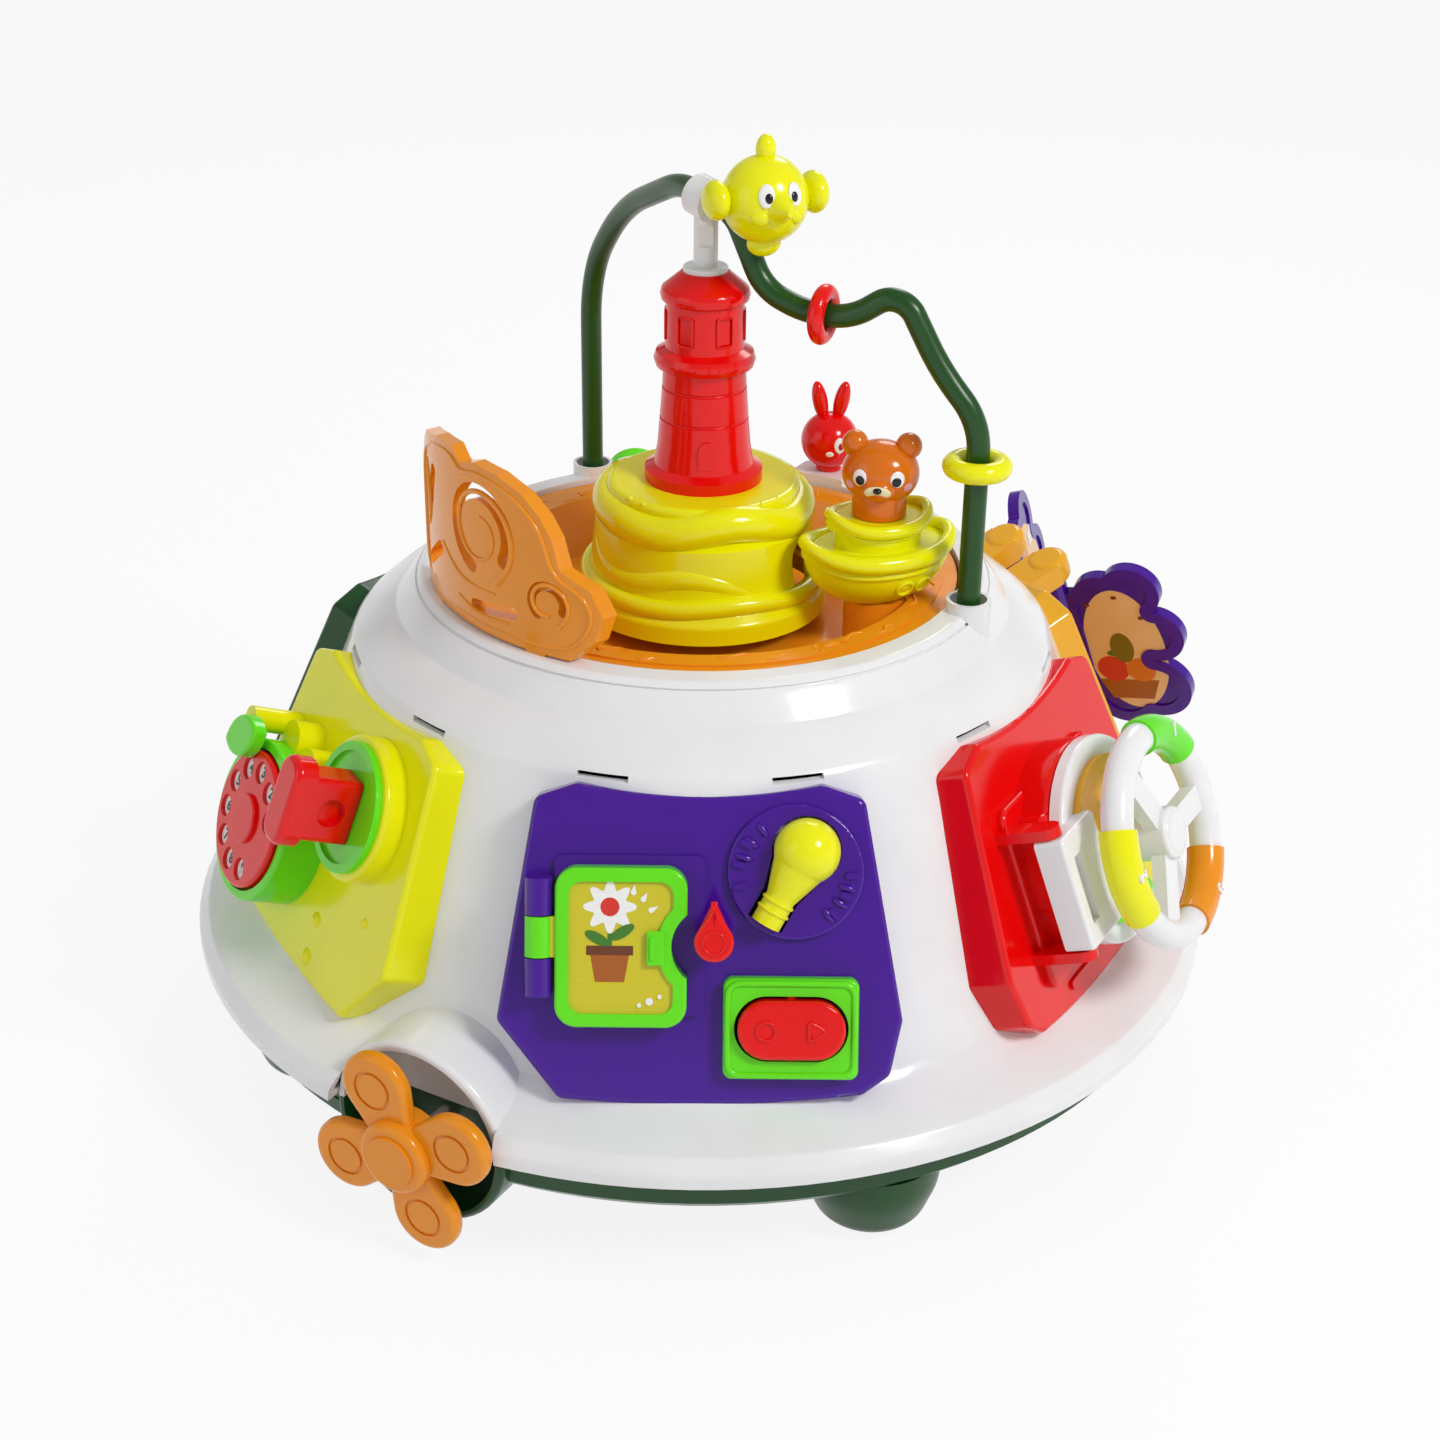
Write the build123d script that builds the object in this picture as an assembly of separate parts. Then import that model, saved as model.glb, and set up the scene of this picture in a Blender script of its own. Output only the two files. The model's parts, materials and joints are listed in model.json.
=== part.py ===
from build123d import *
from math import cos, hypot, pi, radians, sin, tan
import os

# Frame: floor at z 0, dome axis at x 0 and y 0, front panel towards -Y, +Z up.
# Azimuth is counted from the front, positive towards +X.

# Dome
RIM_RADIUS = 190.0
PARTING_Z = 46.0
RIM_NOSE_Z = 50.5
RIM_TOP_RADIUS = 186.0
RIM_TOP_Z = 55.0
FLARE_RADIUS = 170.5
FLARE_Z = 59.5
FOOT_OF_SLOPE_RADIUS = 163.4
FOOT_OF_SLOPE_Z = 64.0
SLOPE_LOW_RADIUS = 158.3
SLOPE_LOW_Z = 76.0
SLOPE_TOP_RADIUS = 133.4
SLOPE_TOP_Z = 141.0
SHOULDER_LOW_RADIUS = 126.5
SHOULDER_LOW_Z = 158.0
SHOULDER_RADIUS = 118.0
SHOULDER_Z = 165.0
LIP_RADIUS = 110.6
LIP_Z = 168.8
RING_FOOT_RADIUS = 105.5
RING_FOOT_Z = 176.0
RING_TOP_RADIUS = 101.0
RING_TOP_Z = 180.5
RING_GROOVE_RADIUS = 103.0
RING_GROOVE_SECTION = 0.6
RING_GROOVE_DROP = 2.4
DOME_WALL = 2.5
NOSE_ROUND = 3.0
SHOULDER_ROUND = 8.0
LIP_ROUND = 3.0
RING_ROUND = 2.2
FLANGE_INNER_RADIUS = 176.0
WELL_RADIUS = 93.0
WELL_FLOOR_Z = 152.5
SLOT_AZIMUTHS = (-14.3, 14.3)
SLOT_WIDTH = 17.0
SLOT_HEIGHT = 2.0
SLOT_DEPTH = 14.0
SLOT_Z = 157.0

# Base tray and what it holds
TRAY_RADIUS = 180.5
TRAY_WALL = 2.5
TRAY_FLOOR_Z = 29.0
TRAY_BEVEL = 4.0
TRAY_BEAD_Z = 37.5
TRAY_BEAD_HEIGHT = 1.2
TRAY_BEAD_OUT = 0.5
BATTERY_BOX_WALL = 2.0
BATTERY_DOOR_LEDGE = 1.2
DOOR_GAP = 0.3
CELL_RADIUS = 7.1
CELL_LENGTH = 49.5
CELL_TIP_RADIUS = 2.7
CELL_TIP_LENGTH = 1.0
CELL_COUNT = 3
CELL_PITCH = 16.5
CELL_HEADROOM = 0.8
BOARD_SIZE = (70.0, 46.0, 1.6)
BOARD_PLACE = (0.0, -100.0)
BOARD_POST_HEIGHT = 12.0
BOARD_POST_RADIUS = 3.0
BOARD_POST_INSET = 5.0
CHIP_SIZES = ((12.0, 12.0, 2.0), (8.0, 14.0, 3.0), (16.0, 6.0, 7.0))
CHIP_PLACES = ((-18.0, 4.0), (2.0, -6.0), (20.0, 10.0))
SPEAKER_PLACE = (75.0, 62.0)
SPEAKER_RADIUS = 22.0
SPEAKER_HEIGHT = 6.0
MAGNET_RADIUS = 11.0
MAGNET_HEIGHT = 8.0
GRILLE_PITCH = 7.0
GRILLE_HOLE_RADIUS = 1.6
GRILLE_ROWS = 2
CASE_SCREW_RADIUS = 164.0
CASE_SCREW_AZIMUTHS = (0.0, 67.5, 157.5, 247.5, 315.0)
CASE_POST_RADIUS = 5.0
CASE_POST_TOP_Z = 55.0
CASE_POST_RIB = 2.0
SCREW_RADIUS = 1.6
SCREW_HEAD_RADIUS = 3.2
SCREW_HEAD_HEIGHT = 2.2
SCREW_RECESS_RADIUS = 3.8
SCREW_RECESS_DEPTH = 9.0
CASE_SCREW_LENGTH = 22.0
SCREW_SLOT_WIDTH = 0.8
SCREW_SLOT_DEPTH = 0.9

# Feet
FOOT_AZIMUTHS = (22.5, 112.5, 202.5, 292.5)
FOOT_PLACE_RADIUS = 154.0
FOOT_RADIUS = 23.5
FOOT_SOLE_RADIUS = 9.0
FOOT_WAIST_Z = 19.0
FOOT_CHEEK_RADIUS = 18.5
FOOT_CHEEK_Z = 5.6
FOOT_PEG_RADIUS = 6.0
FOOT_PEG_HEIGHT = 10.0

# Propeller and its drum
DRUM_AZIMUTH = -30.0
DRUM_RADIUS = 33.5
DRUM_WALL = 3.0
DRUM_Z = 43.0
DRUM_FACE_RADIUS = 182.5
DRUM_BACK_RADIUS = 166.0
DRUM_ROOT_RADIUS = 140.0
DRUM_EDGE_ROUND = 2.0
PROPELLER_Z = 41.5
PROPELLER_PLANE_RADIUS = 190.8
BLADE_COUNT = 4
BLADE_TURN = 22.3
BLADE_TIP = 36.4
BLADE_RADIUS = 12.8
BLADE_NECK_HALF = 6.0
BLADE_THICKNESS = 6.0
BLADE_ROUND = 2.4
BLADE_GROOVE_RADIUS = 7.2
BLADE_GROOVE_WIDTH = 1.2
BLADE_GROOVE_DEPTH = 0.7
HUB_RADIUS = 13.0
HUB_LENGTH = 14.0
HUB_FACE_RADIUS = 9.0
HUB_FACE_RISE = 1.0
HUB_ROUND = 2.5
AXLE_RADIUS = 3.0
AXLE_TAIL_RADIUS = 148.0
AXLE_HEAD_INTO_HUB = 9.0
AXLE_COLLAR_RADIUS = 5.5
AXLE_COLLAR_LENGTH = 3.0
AXLE_PLAY = 0.5
AXLE_BOSS_RADIUS = 8.0
RUNNING_FIT = 0.06
END_PLAY = 0.3

# Activity panels
PANEL_AZIMUTHS = {
    "panel_front": 0.0,
    "panel_front_right": 60.0,
    "panel_back_right": 120.0,
    "panel_back": 180.0,
    "panel_back_left": 240.0,
    "panel_front_left": 300.0,
}
PANEL_SLOPE = 22.0
PANEL_MID_RADIUS = 148.25
PANEL_MID_Z = 107.95
PANEL_WALL = 2.6
PANEL_DEPTH = 38.0
PANEL_TOP_MID = 49.5
PANEL_HORN_HALF = 39.0
PANEL_HORN_TOP = 53.6
PANEL_TOP_HALF = 52.6
PANEL_TOP_SIDE = 49.0
PANEL_WIDE_HALF = 65.6
PANEL_WIDE_Y = -22.0
PANEL_LOW_HALF = 61.8
PANEL_LOW_SIDE = -40.0
PANEL_LOW_CORNER_HALF = 53.0
PANEL_LOW_CORNER_Y = -46.4
PANEL_BOTTOM_MID = -50.2
PANEL_CUT_TOP = (64.6, -23.0)
PANEL_CUT_LOW = (44.6, -48.4)
PANEL_CORNER_ROUND = 4.0
PANEL_EDGE_ROUND = 2.0
WINDOW_HALF_WIDTH = 40.0
WINDOW_HALF_HEIGHT = 34.0
WINDOW_DEPTH = 40.0
PANEL_BOSS_PLACES = ((-47.5, 34.0), (47.5, 34.0), (-52.0, -20.0), (52.0, -20.0))
PANEL_BOSS_RADIUS = 4.0
PANEL_PAD_RADIUS = 5.5
PANEL_PAD_DEPTH = 24.0
PANEL_SCREW_TOP = 5.0

# Door, latch, bulb button and rocker on the front panel
DOOR_PLATE_X = (-45.8, 2.0)
DOOR_PLATE_Y = (-20.5, 31.0)
DOOR_PLATE_RISE = 2.0
DOOR_PLATE_ROUND = 3.0
DOOR_LIFT = 0.4
DOOR_X = (-45.4, -3.6)
DOOR_Y = (-23.0, 28.0)
DOOR_THICKNESS = 7.0
DOOR_CORNER = 7.0
DOOR_FRAME = 4.4
DOOR_INSET_DEPTH = 1.2
DOOR_RECESS_RADIUS = 13.0
DOOR_RECESS_PLACE = (4.4, 3.0)
DOOR_HINGE_X = -50.6
DOOR_HINGE_RISE = 5.9
BARREL_RADIUS = 4.4
BARREL_UPPER_Y = (12.6, 24.4)
BARREL_LOWER_Y = (-13.4, -1.2)
BARREL_FLARE_X = (-54.8, -46.4)
KNUCKLE_Y = (-0.8, 12.2)
PIN_RADIUS = 1.5
LATCH_PLACE = (4.8, 5.8)
LATCH_RADIUS = 5.7
LATCH_TIP = 12.0
LATCH_TIP_RADIUS = 1.0
LATCH_THICKNESS = 4.6
LATCH_ROUND = 0.8
LATCH_GAP = 0.5
LATCH_POST_RADIUS = 2.4
BULB_DISC_PLACE = (30.5, 26.0)
BULB_DISC_RADIUS = 21.8
BULB_DISC_RISE = 2.4
BULB_DISC_ROUND = 1.0
BULB_GLOBE_PLACE = (34.0, 33.2)
BULB_GLOBE_RADIUS = 10.6
BULB_AXIS_TURN = -29.0
BULB_NECK_START = 6.0
BULB_NECK_START_HALF = 8.6
BULB_CAP_START = 17.0
BULB_NECK_WIDTH = 11.0
BULB_CAP_WIDTH = 9.8
BULB_CAP_LENGTH = 9.6
BULB_CAP_GROOVES = 3
BULB_BACK = 4.6
BULB_GAP = 0.5
BULB_STEM_RADIUS = 3.0
BULB_STEM_LENGTH = 14.0
BULB_STEM_ALONG = 14.6
BULB_BRIDGE_REACH = 10.0
BULB_BRIDGE_HALF = 4.4
BULB_TRAVEL = 3.0
RAY_LENGTH = 4.5
RAY_WIDTH = 2.0
RAY_RISE = 1.2
RAY_PLACE_RADIUS = 18.0
RAY_TURNS = (150.0, 172.0, 194.0, 314.0, 336.0, 358.0)
ROCKER_FRAME_X = (8.0, 51.2)
ROCKER_FRAME_Y = (-40.2, -7.6)
ROCKER_FRAME_RISE = 5.0
ROCKER_FRAME_ROUND = 3.0
ROCKER_CENTRE = (29.7, -23.7)
ROCKER_SIZE = (34.4, 19.0)
ROCKER_RISE = 8.6
ROCKER_BACK = 4.0
ROCKER_GAP = 1.0
ROCKER_PIVOT_H = 2.5
ROCKER_PIN_REACH = 2.2
ROCKER_ROUND = 1.5
ROCKER_SHELL = 2.0
ROCKER_SIGN_X = 8.0
ROCKER_SIGN_RISE = 0.5
ROCKER_RING_RADII = (3.6, 2.6)
ROCKER_ARROW_RADIUS = 4.2

# Dial, leaf and paddle knob on the front left panel
DIAL_PLACE = (-29.0, -10.5)
DIAL_SEAT_RADIUS = 26.0
DIAL_SEAT_RISE = 11.0
DIAL_RING_RADIUS = 29.0
DIAL_RING_INNER = 25.6
DIAL_RING_TOP = 16.0
DIAL_RADIUS = 24.6
DIAL_TOP = 18.0
DIAL_ROUND = 1.2
DIAL_HOLE_COUNT = 9
DIAL_HOLE_PITCH = 34.0
DIAL_HOLE_START = 20.0
DIAL_HOLE_PLACE = 18.0
DIAL_HOLE_RADIUS = 4.0
DIAL_HOLE_DEPTH = 2.0
DIAL_HUB_RADIUS = 9.0
DIAL_HUB_RISE = 1.4
CROWN_PLACES = ((-30.0, 21.0), (-13.0, 17.5))
CROWN_RADIUS = 7.0
CROWN_HEIGHT = 10.0
LEAF_SIZE = (24.0, 15.0)
LEAF_PLACE = (-42.0, 15.5)
LEAF_TURN = 28.0
LEAF_BASE = 18.6
LEAF_THICKNESS = 5.0
LEAF_STALK_RADIUS = 4.5
LEAF_STALK_PLACE = (-47.5, 20.5)
BOSS_PLACE = (22.0, 19.0)
BOSS_RADIUS = 25.0
BOSS_RISE = 8.0
BOSS_ROUND = 1.5
DISH_RADIUS = 22.5
DISH_RISE = 2.4
DISH_RIM = 3.2
DISH_FLOOR = 1.0
PADDLE_BLOCK = (15.0, 23.0)
PADDLE_BLOCK_TOP = 27.0
PADDLE_SIZE = (15.0, 31.0, 7.0)
PADDLE_ROUND = 2.5
PADDLE_SOCKET_RADIUS = 5.0
PADDLE_SOCKET_DEPTH = 3.0
PADDLE_STEM_RADIUS = 4.0
DROPS = ((10.0, -29.0, 3.4), (11.0, -43.0, 4.0), (42.0, -14.0, 2.4))
DROP_SINK = 0.55

# Steering wheel on the front right panel
HOUSING_X = (-38.0, 30.0)
HOUSING_Y = (-30.0, 24.0)
HOUSING_RISE = 13.0
HOUSING_STEP_RISE = 3.0
HOUSING_STEP = 6.0
HOUSING_DISC_RADIUS = 36.0
HOUSING_ROUND = 2.0
WHEEL_PLACE = (-4.0, 1.0)
COVER_RADIUS = 36.0
COVER_GAP = 0.4
COVER_THICKNESS = 5.0
COVER_ROUND = 1.5
COVER_BLOCK_X = (-48.5, -22.0)
COVER_BLOCK_Y = (-20.0, 20.0)
COVER_BLOCK_TOP = 24.0
COVER_SLOT_X = (-44.0, -38.5)
COVER_SLOT_Y = (-12.0, 12.0)
COVER_SLOT_DEPTH = 2.5
COVER_CORNER = 2.0
COVER_HINGE_X = -43.8
COVER_HINGE_H = 17.6
COVER_LUG_Y = (-24.0, -20.4, 20.4, 24.0)
COVER_LUG_RADIUS = 4.2
SECTOR_WELL_DEPTH = 7.0
COVER_PIN_RADIUS = 1.75
SECTOR_RADIUS = 29.0
SECTOR_THICKNESS = 2.4
WHEEL_HUB_RADIUS = 9.0
WHEEL_HUB_TOP = 42.0
WHEEL_RIM_H = 37.0
WHEEL_RIM_RADIUS = 34.0
WHEEL_RIM_SECTION = 5.4
WHEEL_SPOKE_TURNS = (0.0, 120.0, 240.0)
WHEEL_SPOKE_WIDTH = 9.0
WHEEL_SPOKE_THICKNESS = 5.0
WHEEL_STEM_RADIUS = 5.0
WHEEL_STEM_FLOOR = 2.0
GRIP_TURNS = (34.0, 154.0, 274.0)
GRIP_SPAN = 52.0
GRIP_SECTION = 6.4
BAR_RELIEFS = ((-18.0, -36.0), (-18.0, -42.0))
BAR_RELIEF_SIZE = (22.0, 3.4, 1.0)
BAR_RELIEF_CORNER = 1.5

# Flip pages on the back right panel
SPINE_X = (-19.0, 19.0)
SPINE_Y = (-34.0, 34.0)
SPINE_RISE = 8.0
SPINE_ROUND = 3.0
PAGE_HINGE_X = 14.0
PAGE_HINGE_H = 17.0
PAGE_LUG_RADIUS = 8.0
PAGE_LUG_Y = (36.0, 47.0)
PAGE_LUG_LOW_Y = (-47.0, -36.0)
PAGE_THICKNESS = 4.6
PAGE_PIN_RADIUS = 2.5
PAGE_PIN_SHORT = 3.0
PAGE_KNUCKLE_RADIUS = 5.0
PAGE_KNUCKLE_Y = (-35.6, 35.6)
PAGE_LOBES = (
    (19.0, 26.0, 12.5),
    (31.0, 30.5, 12.0),
    (36.5, 9.0, 12.2),
    (32.0, -17.5, 14.5),
    (18.0, -22.0, 14.0),
)
PAGE_BLOCK_X = (3.0, 34.0)
PAGE_BLOCK_Y = (-30.0, 30.0)
PAGE_INSET_DEPTH = 0.8
PAGE_INSET_MARGIN = 5.0
PAGE_FRONT_OPEN = 33.0
PAGE_REAR_OPEN = 44.0

# Fruit button on the back panel
FRUIT_PLACE = (0.0, 17.0)
FRUIT_HALF_SIZES = (45.0, 33.0)
FRUIT_SIDE = 13.0
FRUIT_CROWN = 8.0
FRUIT_GAP = 0.6
FRUIT_SHELL = 2.4
FRUIT_COLLAR_WALL = 3.0
FRUIT_COLLAR_RISE = 4.0
FRUIT_BACK_GAP = 0.3
FRUIT_STEM_RADIUS = 6.0
FRUIT_STEM_LENGTH = 14.0
FRUIT_TRAVEL = 3.5
FRUIT_LEAF_PLACE = (28.0, 50.0)
FRUIT_LEAF_SIZE = (24.0, 22.0)
FRUIT_LEAF_BASE = 13.0
FRUIT_LEAF_THICKNESS = 6.0
FRUIT_LEAF_TURN = 20.0

# Keys on the back left panel
KEY_NAMES = ("key_left", "key_middle", "key_right")
KEY_PITCH = 26.0
KEY_WIDTH = 22.0
KEY_Y = (-26.0, 26.0)
KEY_RISE = 9.0
KEY_BACK = 6.0
KEY_GAP = 0.6
KEY_BED_RISE = 4.0
KEY_BED_MARGIN = 6.0
KEY_HINGE_Y = 20.0
KEY_HINGE_H = 0.0
KEY_ROUND = 2.0
KEY_SHELL = 2.2
KEY_PIN_RADIUS = 1.5

# Turntable, centre post and hill
POST_RADIUS = 12.0
POST_FLANGE_RADIUS = 22.0
POST_SHOULDER_RADIUS = 18.0
POST_SHOULDER_Z = 157.0
POST_TOP_Z = 172.0
DECK_RADIUS = 91.8
DECK_Z = 179.6
DECK_STEP_RADIUS = 86.5
DECK_STEP = 0.8
DECK_INNER_RADIUS = 78.0
BOWL_RADIUS = 72.0
BOWL_FLOOR_Z = 161.0
TURNTABLE_WALL = 2.4
HUB_COLLAR_RADIUS = 17.6
HUB_COLLAR_Z = 166.0
HILL_SKIRT_RADIUS = 45.0
HILL_BASE_Z = 167.0
HILL_FLANGE_Z = 173.5
HILL_WAIST_RADIUS = 41.0
HILL_WAIST_Z = 178.0
HILL_LEDGE_RADIUS = 38.5
HILL_LEDGE_Z = 199.0
HILL_TOP_RADIUS = 34.5
HILL_TOP_Z = 213.0
HILL_WALL = 2.4
HILL_ROUND = 2.5
HILL_ARCH_AZIMUTH = 62.0
HILL_ARCH_WIDTH = 13.0
HILL_ARCH_TOP_Z = 196.0
HILL_BOSS_RADIUS = 17.0

# Lighthouse and mast
TOWER_PROFILE = (
    (20.9, 213.0),
    (20.9, 217.0),
    (17.6, 219.0),
    (16.4, 226.0),
    (15.6, 236.0),
    (14.8, 247.0),
    (14.5, 253.5),
    (17.0, 254.5),
    (17.8, 257.0),
    (17.0, 259.5),
    (13.8, 261.0),
    (13.6, 277.0),
    (15.2, 278.0),
    (15.6, 280.0),
    (15.0, 282.0),
    (8.4, 287.5),
)
TOWER_WALL = 2.2
TOWER_LINES_Z = (236.0, 247.0)
TOWER_LINE_SECTION = 0.6
TOWER_WINDOW_COUNT = 6
TOWER_WINDOW_SIZE = (1.2, 7.0, 10.0)
TOWER_WINDOW_Z = 269.0
MAST_COLLAR_RADIUS = 7.2
MAST_COLLAR_Z = (282.5, 286.5)
MAST_RADIUS = 4.2
MAST_TOP_Z = 308.0
MAST_NOTCH = (1.6, 5.0, 7.0)
MAST_NOTCH_Z = 300.0
HOOK_LENGTH = 9.0
HOOK_DROP = 1.0
HOOK_RADIUS = 7.2
PEG_RADIUS = 2.2

# Bird
BIRD_PLACE = (19.2, -17.0, 316.4)
BIRD_RADIUS = 14.6
BIRD_FACING = 22.0
BIRD_WING = (4.6, 8.0, 7.0)
BIRD_WING_OUT = 17.5
BIRD_WING_RISE = 1.0
BIRD_BEAK_RADIUS = 5.5
BIRD_BEAK_LENGTH = 9.0
BIRD_BEAK_TIP_RADIUS = 1.0
BIRD_CREST = (3.4, 3.4, 5.0)
BIRD_TAIL = (6.0, 4.0, 4.5)

# Loop tube and its sockets
TUBE_RADIUS = 4.0
TUBE_LEFT_AZIMUTH = -154.0
TUBE_RIGHT_AZIMUTH = 66.0
TUBE_END_Z = 160.0
SOCKET_RADIUS = 7.8
SOCKET_TOP_Z = 184.5
SOCKET_MOUTH_RADIUS = 6.5
SOCKET_MOUTH_Z = 179.0
SOCKET_FOOT_Z = 157.5
TUBE_LEFT = ((100.0, 262.0), (69.0, 293.5), (22.0, 312.5), (0.0, 313.2))
TUBE_LEFT_FOOT_RADIUS = 100.0
TUBE_RIGHT_FOOT_RADIUS = 100.6
TUBE_RIGHT = (
    (10.5, 308.0),
    (21.5, 284.0),
    (36.0, 278.0),
    (53.0, 277.6),
    (71.0, 290.0),
    (85.5, 264.5),
    (100.6, 248.0),
)
TUBE_ARC_SHARE = 0.45

# Beads
RED_BEAD_AT = (43.5, 277.8)
RED_BEAD_RING = 7.4
RED_BEAD_SECTION = 2.9
YELLOW_BEAD_Z = 233.0
YELLOW_BEAD_RING = 8.3
YELLOW_BEAD_SECTION = 3.6

# Wave plate
WAVE_AZIMUTH = -50.0
WAVE_OUTER_RADIUS = 98.2
WAVE_THICKNESS = 5.0
WAVE_OUTLINE = (
    (-49.0, 181.4),
    (-49.0, 231.0),
    (-40.0, 239.0),
    (-27.0, 241.5),
    (-13.6, 242.5),
    (-8.5, 238.0),
    (0.0, 240.7),
    (12.0, 239.8),
    (23.0, 235.8),
    (30.0, 229.5),
    (34.0, 223.0),
    (36.8, 212.5),
    (46.7, 207.5),
    (50.6, 198.7),
    (48.0, 189.5),
    (40.0, 181.4),
)
WAVE_ROUND = 1.6
WAVE_SCROLL_PLACE = (2.0, 217.0)
WAVE_SCROLL_RADIUS = 14.0
WAVE_SCROLL_WIDTH = 5.6
WAVE_SCROLL_SPAN = (-30.0, 250.0)
WAVE_CURL_PLACE = (32.0, 200.0)
WAVE_CURL_RADIUS = 6.0
WAVE_CURL_WIDTH = 3.4
WAVE_CURL_SPAN = (-20.0, 230.0)
WAVE_SLOTS = ((-34.0, 222.0, 16.0, 5.0, 70.0), (-33.0, 197.0, 20.0, 5.0, 35.0), (8.0, 191.0, 24.0, 4.4, 8.0))
WAVE_TAB_AZIMUTHS = (-68.0, -34.0)
WAVE_TAB_WIDTH = 8.0
WAVE_TAB_DEPTH = 5.0

# Boat, bear and bunny
BOAT_AZIMUTH = 68.4
BOAT_PLACE_RADIUS = 65.5
BOAT_HALF_LENGTH = 27.0
BOAT_HALF_WIDTH = 17.0
BOAT_HEADING = 22.0
BOAT_KEEL_Z = 176.0
BOAT_GUNWALE_Z = 196.0
BOAT_RAIL_HEIGHT = 3.0
BOAT_RAIL_OUT = 1.0
TUB_HALF_SIZES = (15.5, 12.5)
TUB_TOP_Z = 209.0
TUB_RIM_HALF_SIZES = (19.0, 14.5)
TUB_RIM_Z = 206.0
BOAT_PAD_RADIUS = 11.0
BEAR_HEAD = (13.4, 11.6, 11.4)
BEAR_HEAD_RISE = 15.0
BEAR_BODY_RADIUS = 9.5
BEAR_BODY_HEIGHT = 9.0
BEAR_EAR_RADIUS = 4.6
BEAR_EAR_PLACE = (9.2, 1.0, 9.6)
BEAR_MUZZLE = (5.6, 4.0, 4.2)
BEAR_MUZZLE_PLACE = (0.0, -10.0, -3.0)
BEAR_FACING = -8.0
BEAR_STEM_RADIUS = 3.0
BEAR_STEM_LENGTH = 7.0
BUNNY_AZIMUTH = 151.0
BUNNY_PLACE_RADIUS = 102.0
BUNNY_BLOCK_PLACE_RADIUS = 99.5
BUNNY_RADIUS = 11.2
BUNNY_Z = 195.0
BUNNY_EAR = (3.0, 3.0, 8.0)
BUNNY_EAR_SPREAD = 4.2
BUNNY_EAR_LEAN = 12.0
BUNNY_EAR_RISE = 16.0
BUNNY_FOOT_RADIUS = 5.0
BUNNY_STEM_RADIUS = 3.0
BUNNY_STEM_LENGTH = 6.0
BUNNY_BLOCK_SIZE = (24.0, 15.0)
BUNNY_BLOCK_TOP_Z = 183.0

# How far a cut or a fused piece runs past the face it starts from
PAST = 1.0

# Hidden springs
SPRING_WALL = 1.0
SPRING_CLEARANCE = 0.8
CATCH_THICKNESS = 2.0


def place(radius, azimuth, height):
    angle = radians(azimuth)
    return Vector(radius * sin(angle), -radius * cos(angle), height)


def upright(radius, z_low, z_high):
    # A plain vertical cylinder on the part's axis
    return Pos(0, 0, (z_low + z_high) / 2) * Cylinder(radius, z_high - z_low)


def tube_piece(outer, inner, z_low, z_high):
    return upright(outer, z_low, z_high) - upright(inner, z_low - PAST, z_high + PAST)


def slab(x_range, y_range, z_range):
    size = [high - low for low, high in (x_range, y_range, z_range)]
    centre = [(low + high) / 2 for low, high in (x_range, y_range, z_range)]
    return Pos(*centre) * Box(*size)


def ellipsoid(half_sizes):
    return scale(Sphere(1.0), by=half_sizes)


def spun(points, rounds=None):
    # Revolves a closed outline of (radius, z) points; rounds maps a point to its fillet radius
    face = make_face(Polyline(*[(r, z) for r, z in points], close=True))
    for (r, z), radius in (rounds or {}).items():
        corner = [v for v in face.vertices() if hypot(v.X - r, v.Y - z) < RUNNING_FIT]
        face = fillet(corner, radius)
    return revolve(Plane.XZ * face, Axis.Z)


def profile_face(points, rounds):
    face = make_face(Polyline(*points, close=True))
    for (x, y), radius in rounds.items():
        corner = [v for v in face.vertices() if hypot(v.X - x, v.Y - y) < RUNNING_FIT]
        face = fillet(corner, radius)
    return face


def inner_face(face, wall):
    # The outline one wall further in, carried through to the axis
    inner = offset(face, -wall)
    box = inner.bounding_box()
    strip = Pos(wall, (box.min.Y + box.max.Y) / 2) * Rectangle(2 * wall, box.size.Y)
    return inner + strip


def rounded_slab(x_range, y_range, z_range, corner, edge=0.0):
    width, height = x_range[1] - x_range[0], y_range[1] - y_range[0]
    centre = ((x_range[0] + x_range[1]) / 2, (y_range[0] + y_range[1]) / 2)
    sketch = Pos(*centre) * RectangleRounded(width, height, corner)
    solid = extrude(Pos(0, 0, z_range[0]) * sketch, z_range[1] - z_range[0])
    if edge:
        solid = fillet(top_edges(solid), edge)
    return solid


def top_edges(solid):
    return solid.faces().sort_by(Axis.Z)[-1].outer_wire().edges()


def round_rod(place_xy, radius, z_low, z_high, edge=0.0):
    rod = Pos(place_xy[0], place_xy[1], (z_low + z_high) / 2) * Cylinder(radius, z_high - z_low)
    if edge:
        rod = fillet(top_edges(rod), edge)
    return rod


def rod_along_y(x, z, radius, y_range):
    middle = (y_range[0] + y_range[1]) / 2
    return Pos(x, middle, z) * Rot(90, 0, 0) * Cylinder(radius, y_range[1] - y_range[0])


PANEL_FRAME = Plane(
    origin=(0, -PANEL_MID_RADIUS, PANEL_MID_Z),
    x_dir=(1, 0, 0),
    z_dir=(0, -cos(radians(PANEL_SLOPE)), sin(radians(PANEL_SLOPE))),
).location


def on_panel(name):
    # Panel frame: x to the right, y up the slope, z out of the face
    return Rot(0, 0, PANEL_AZIMUTHS[name]) * PANEL_FRAME


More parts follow.
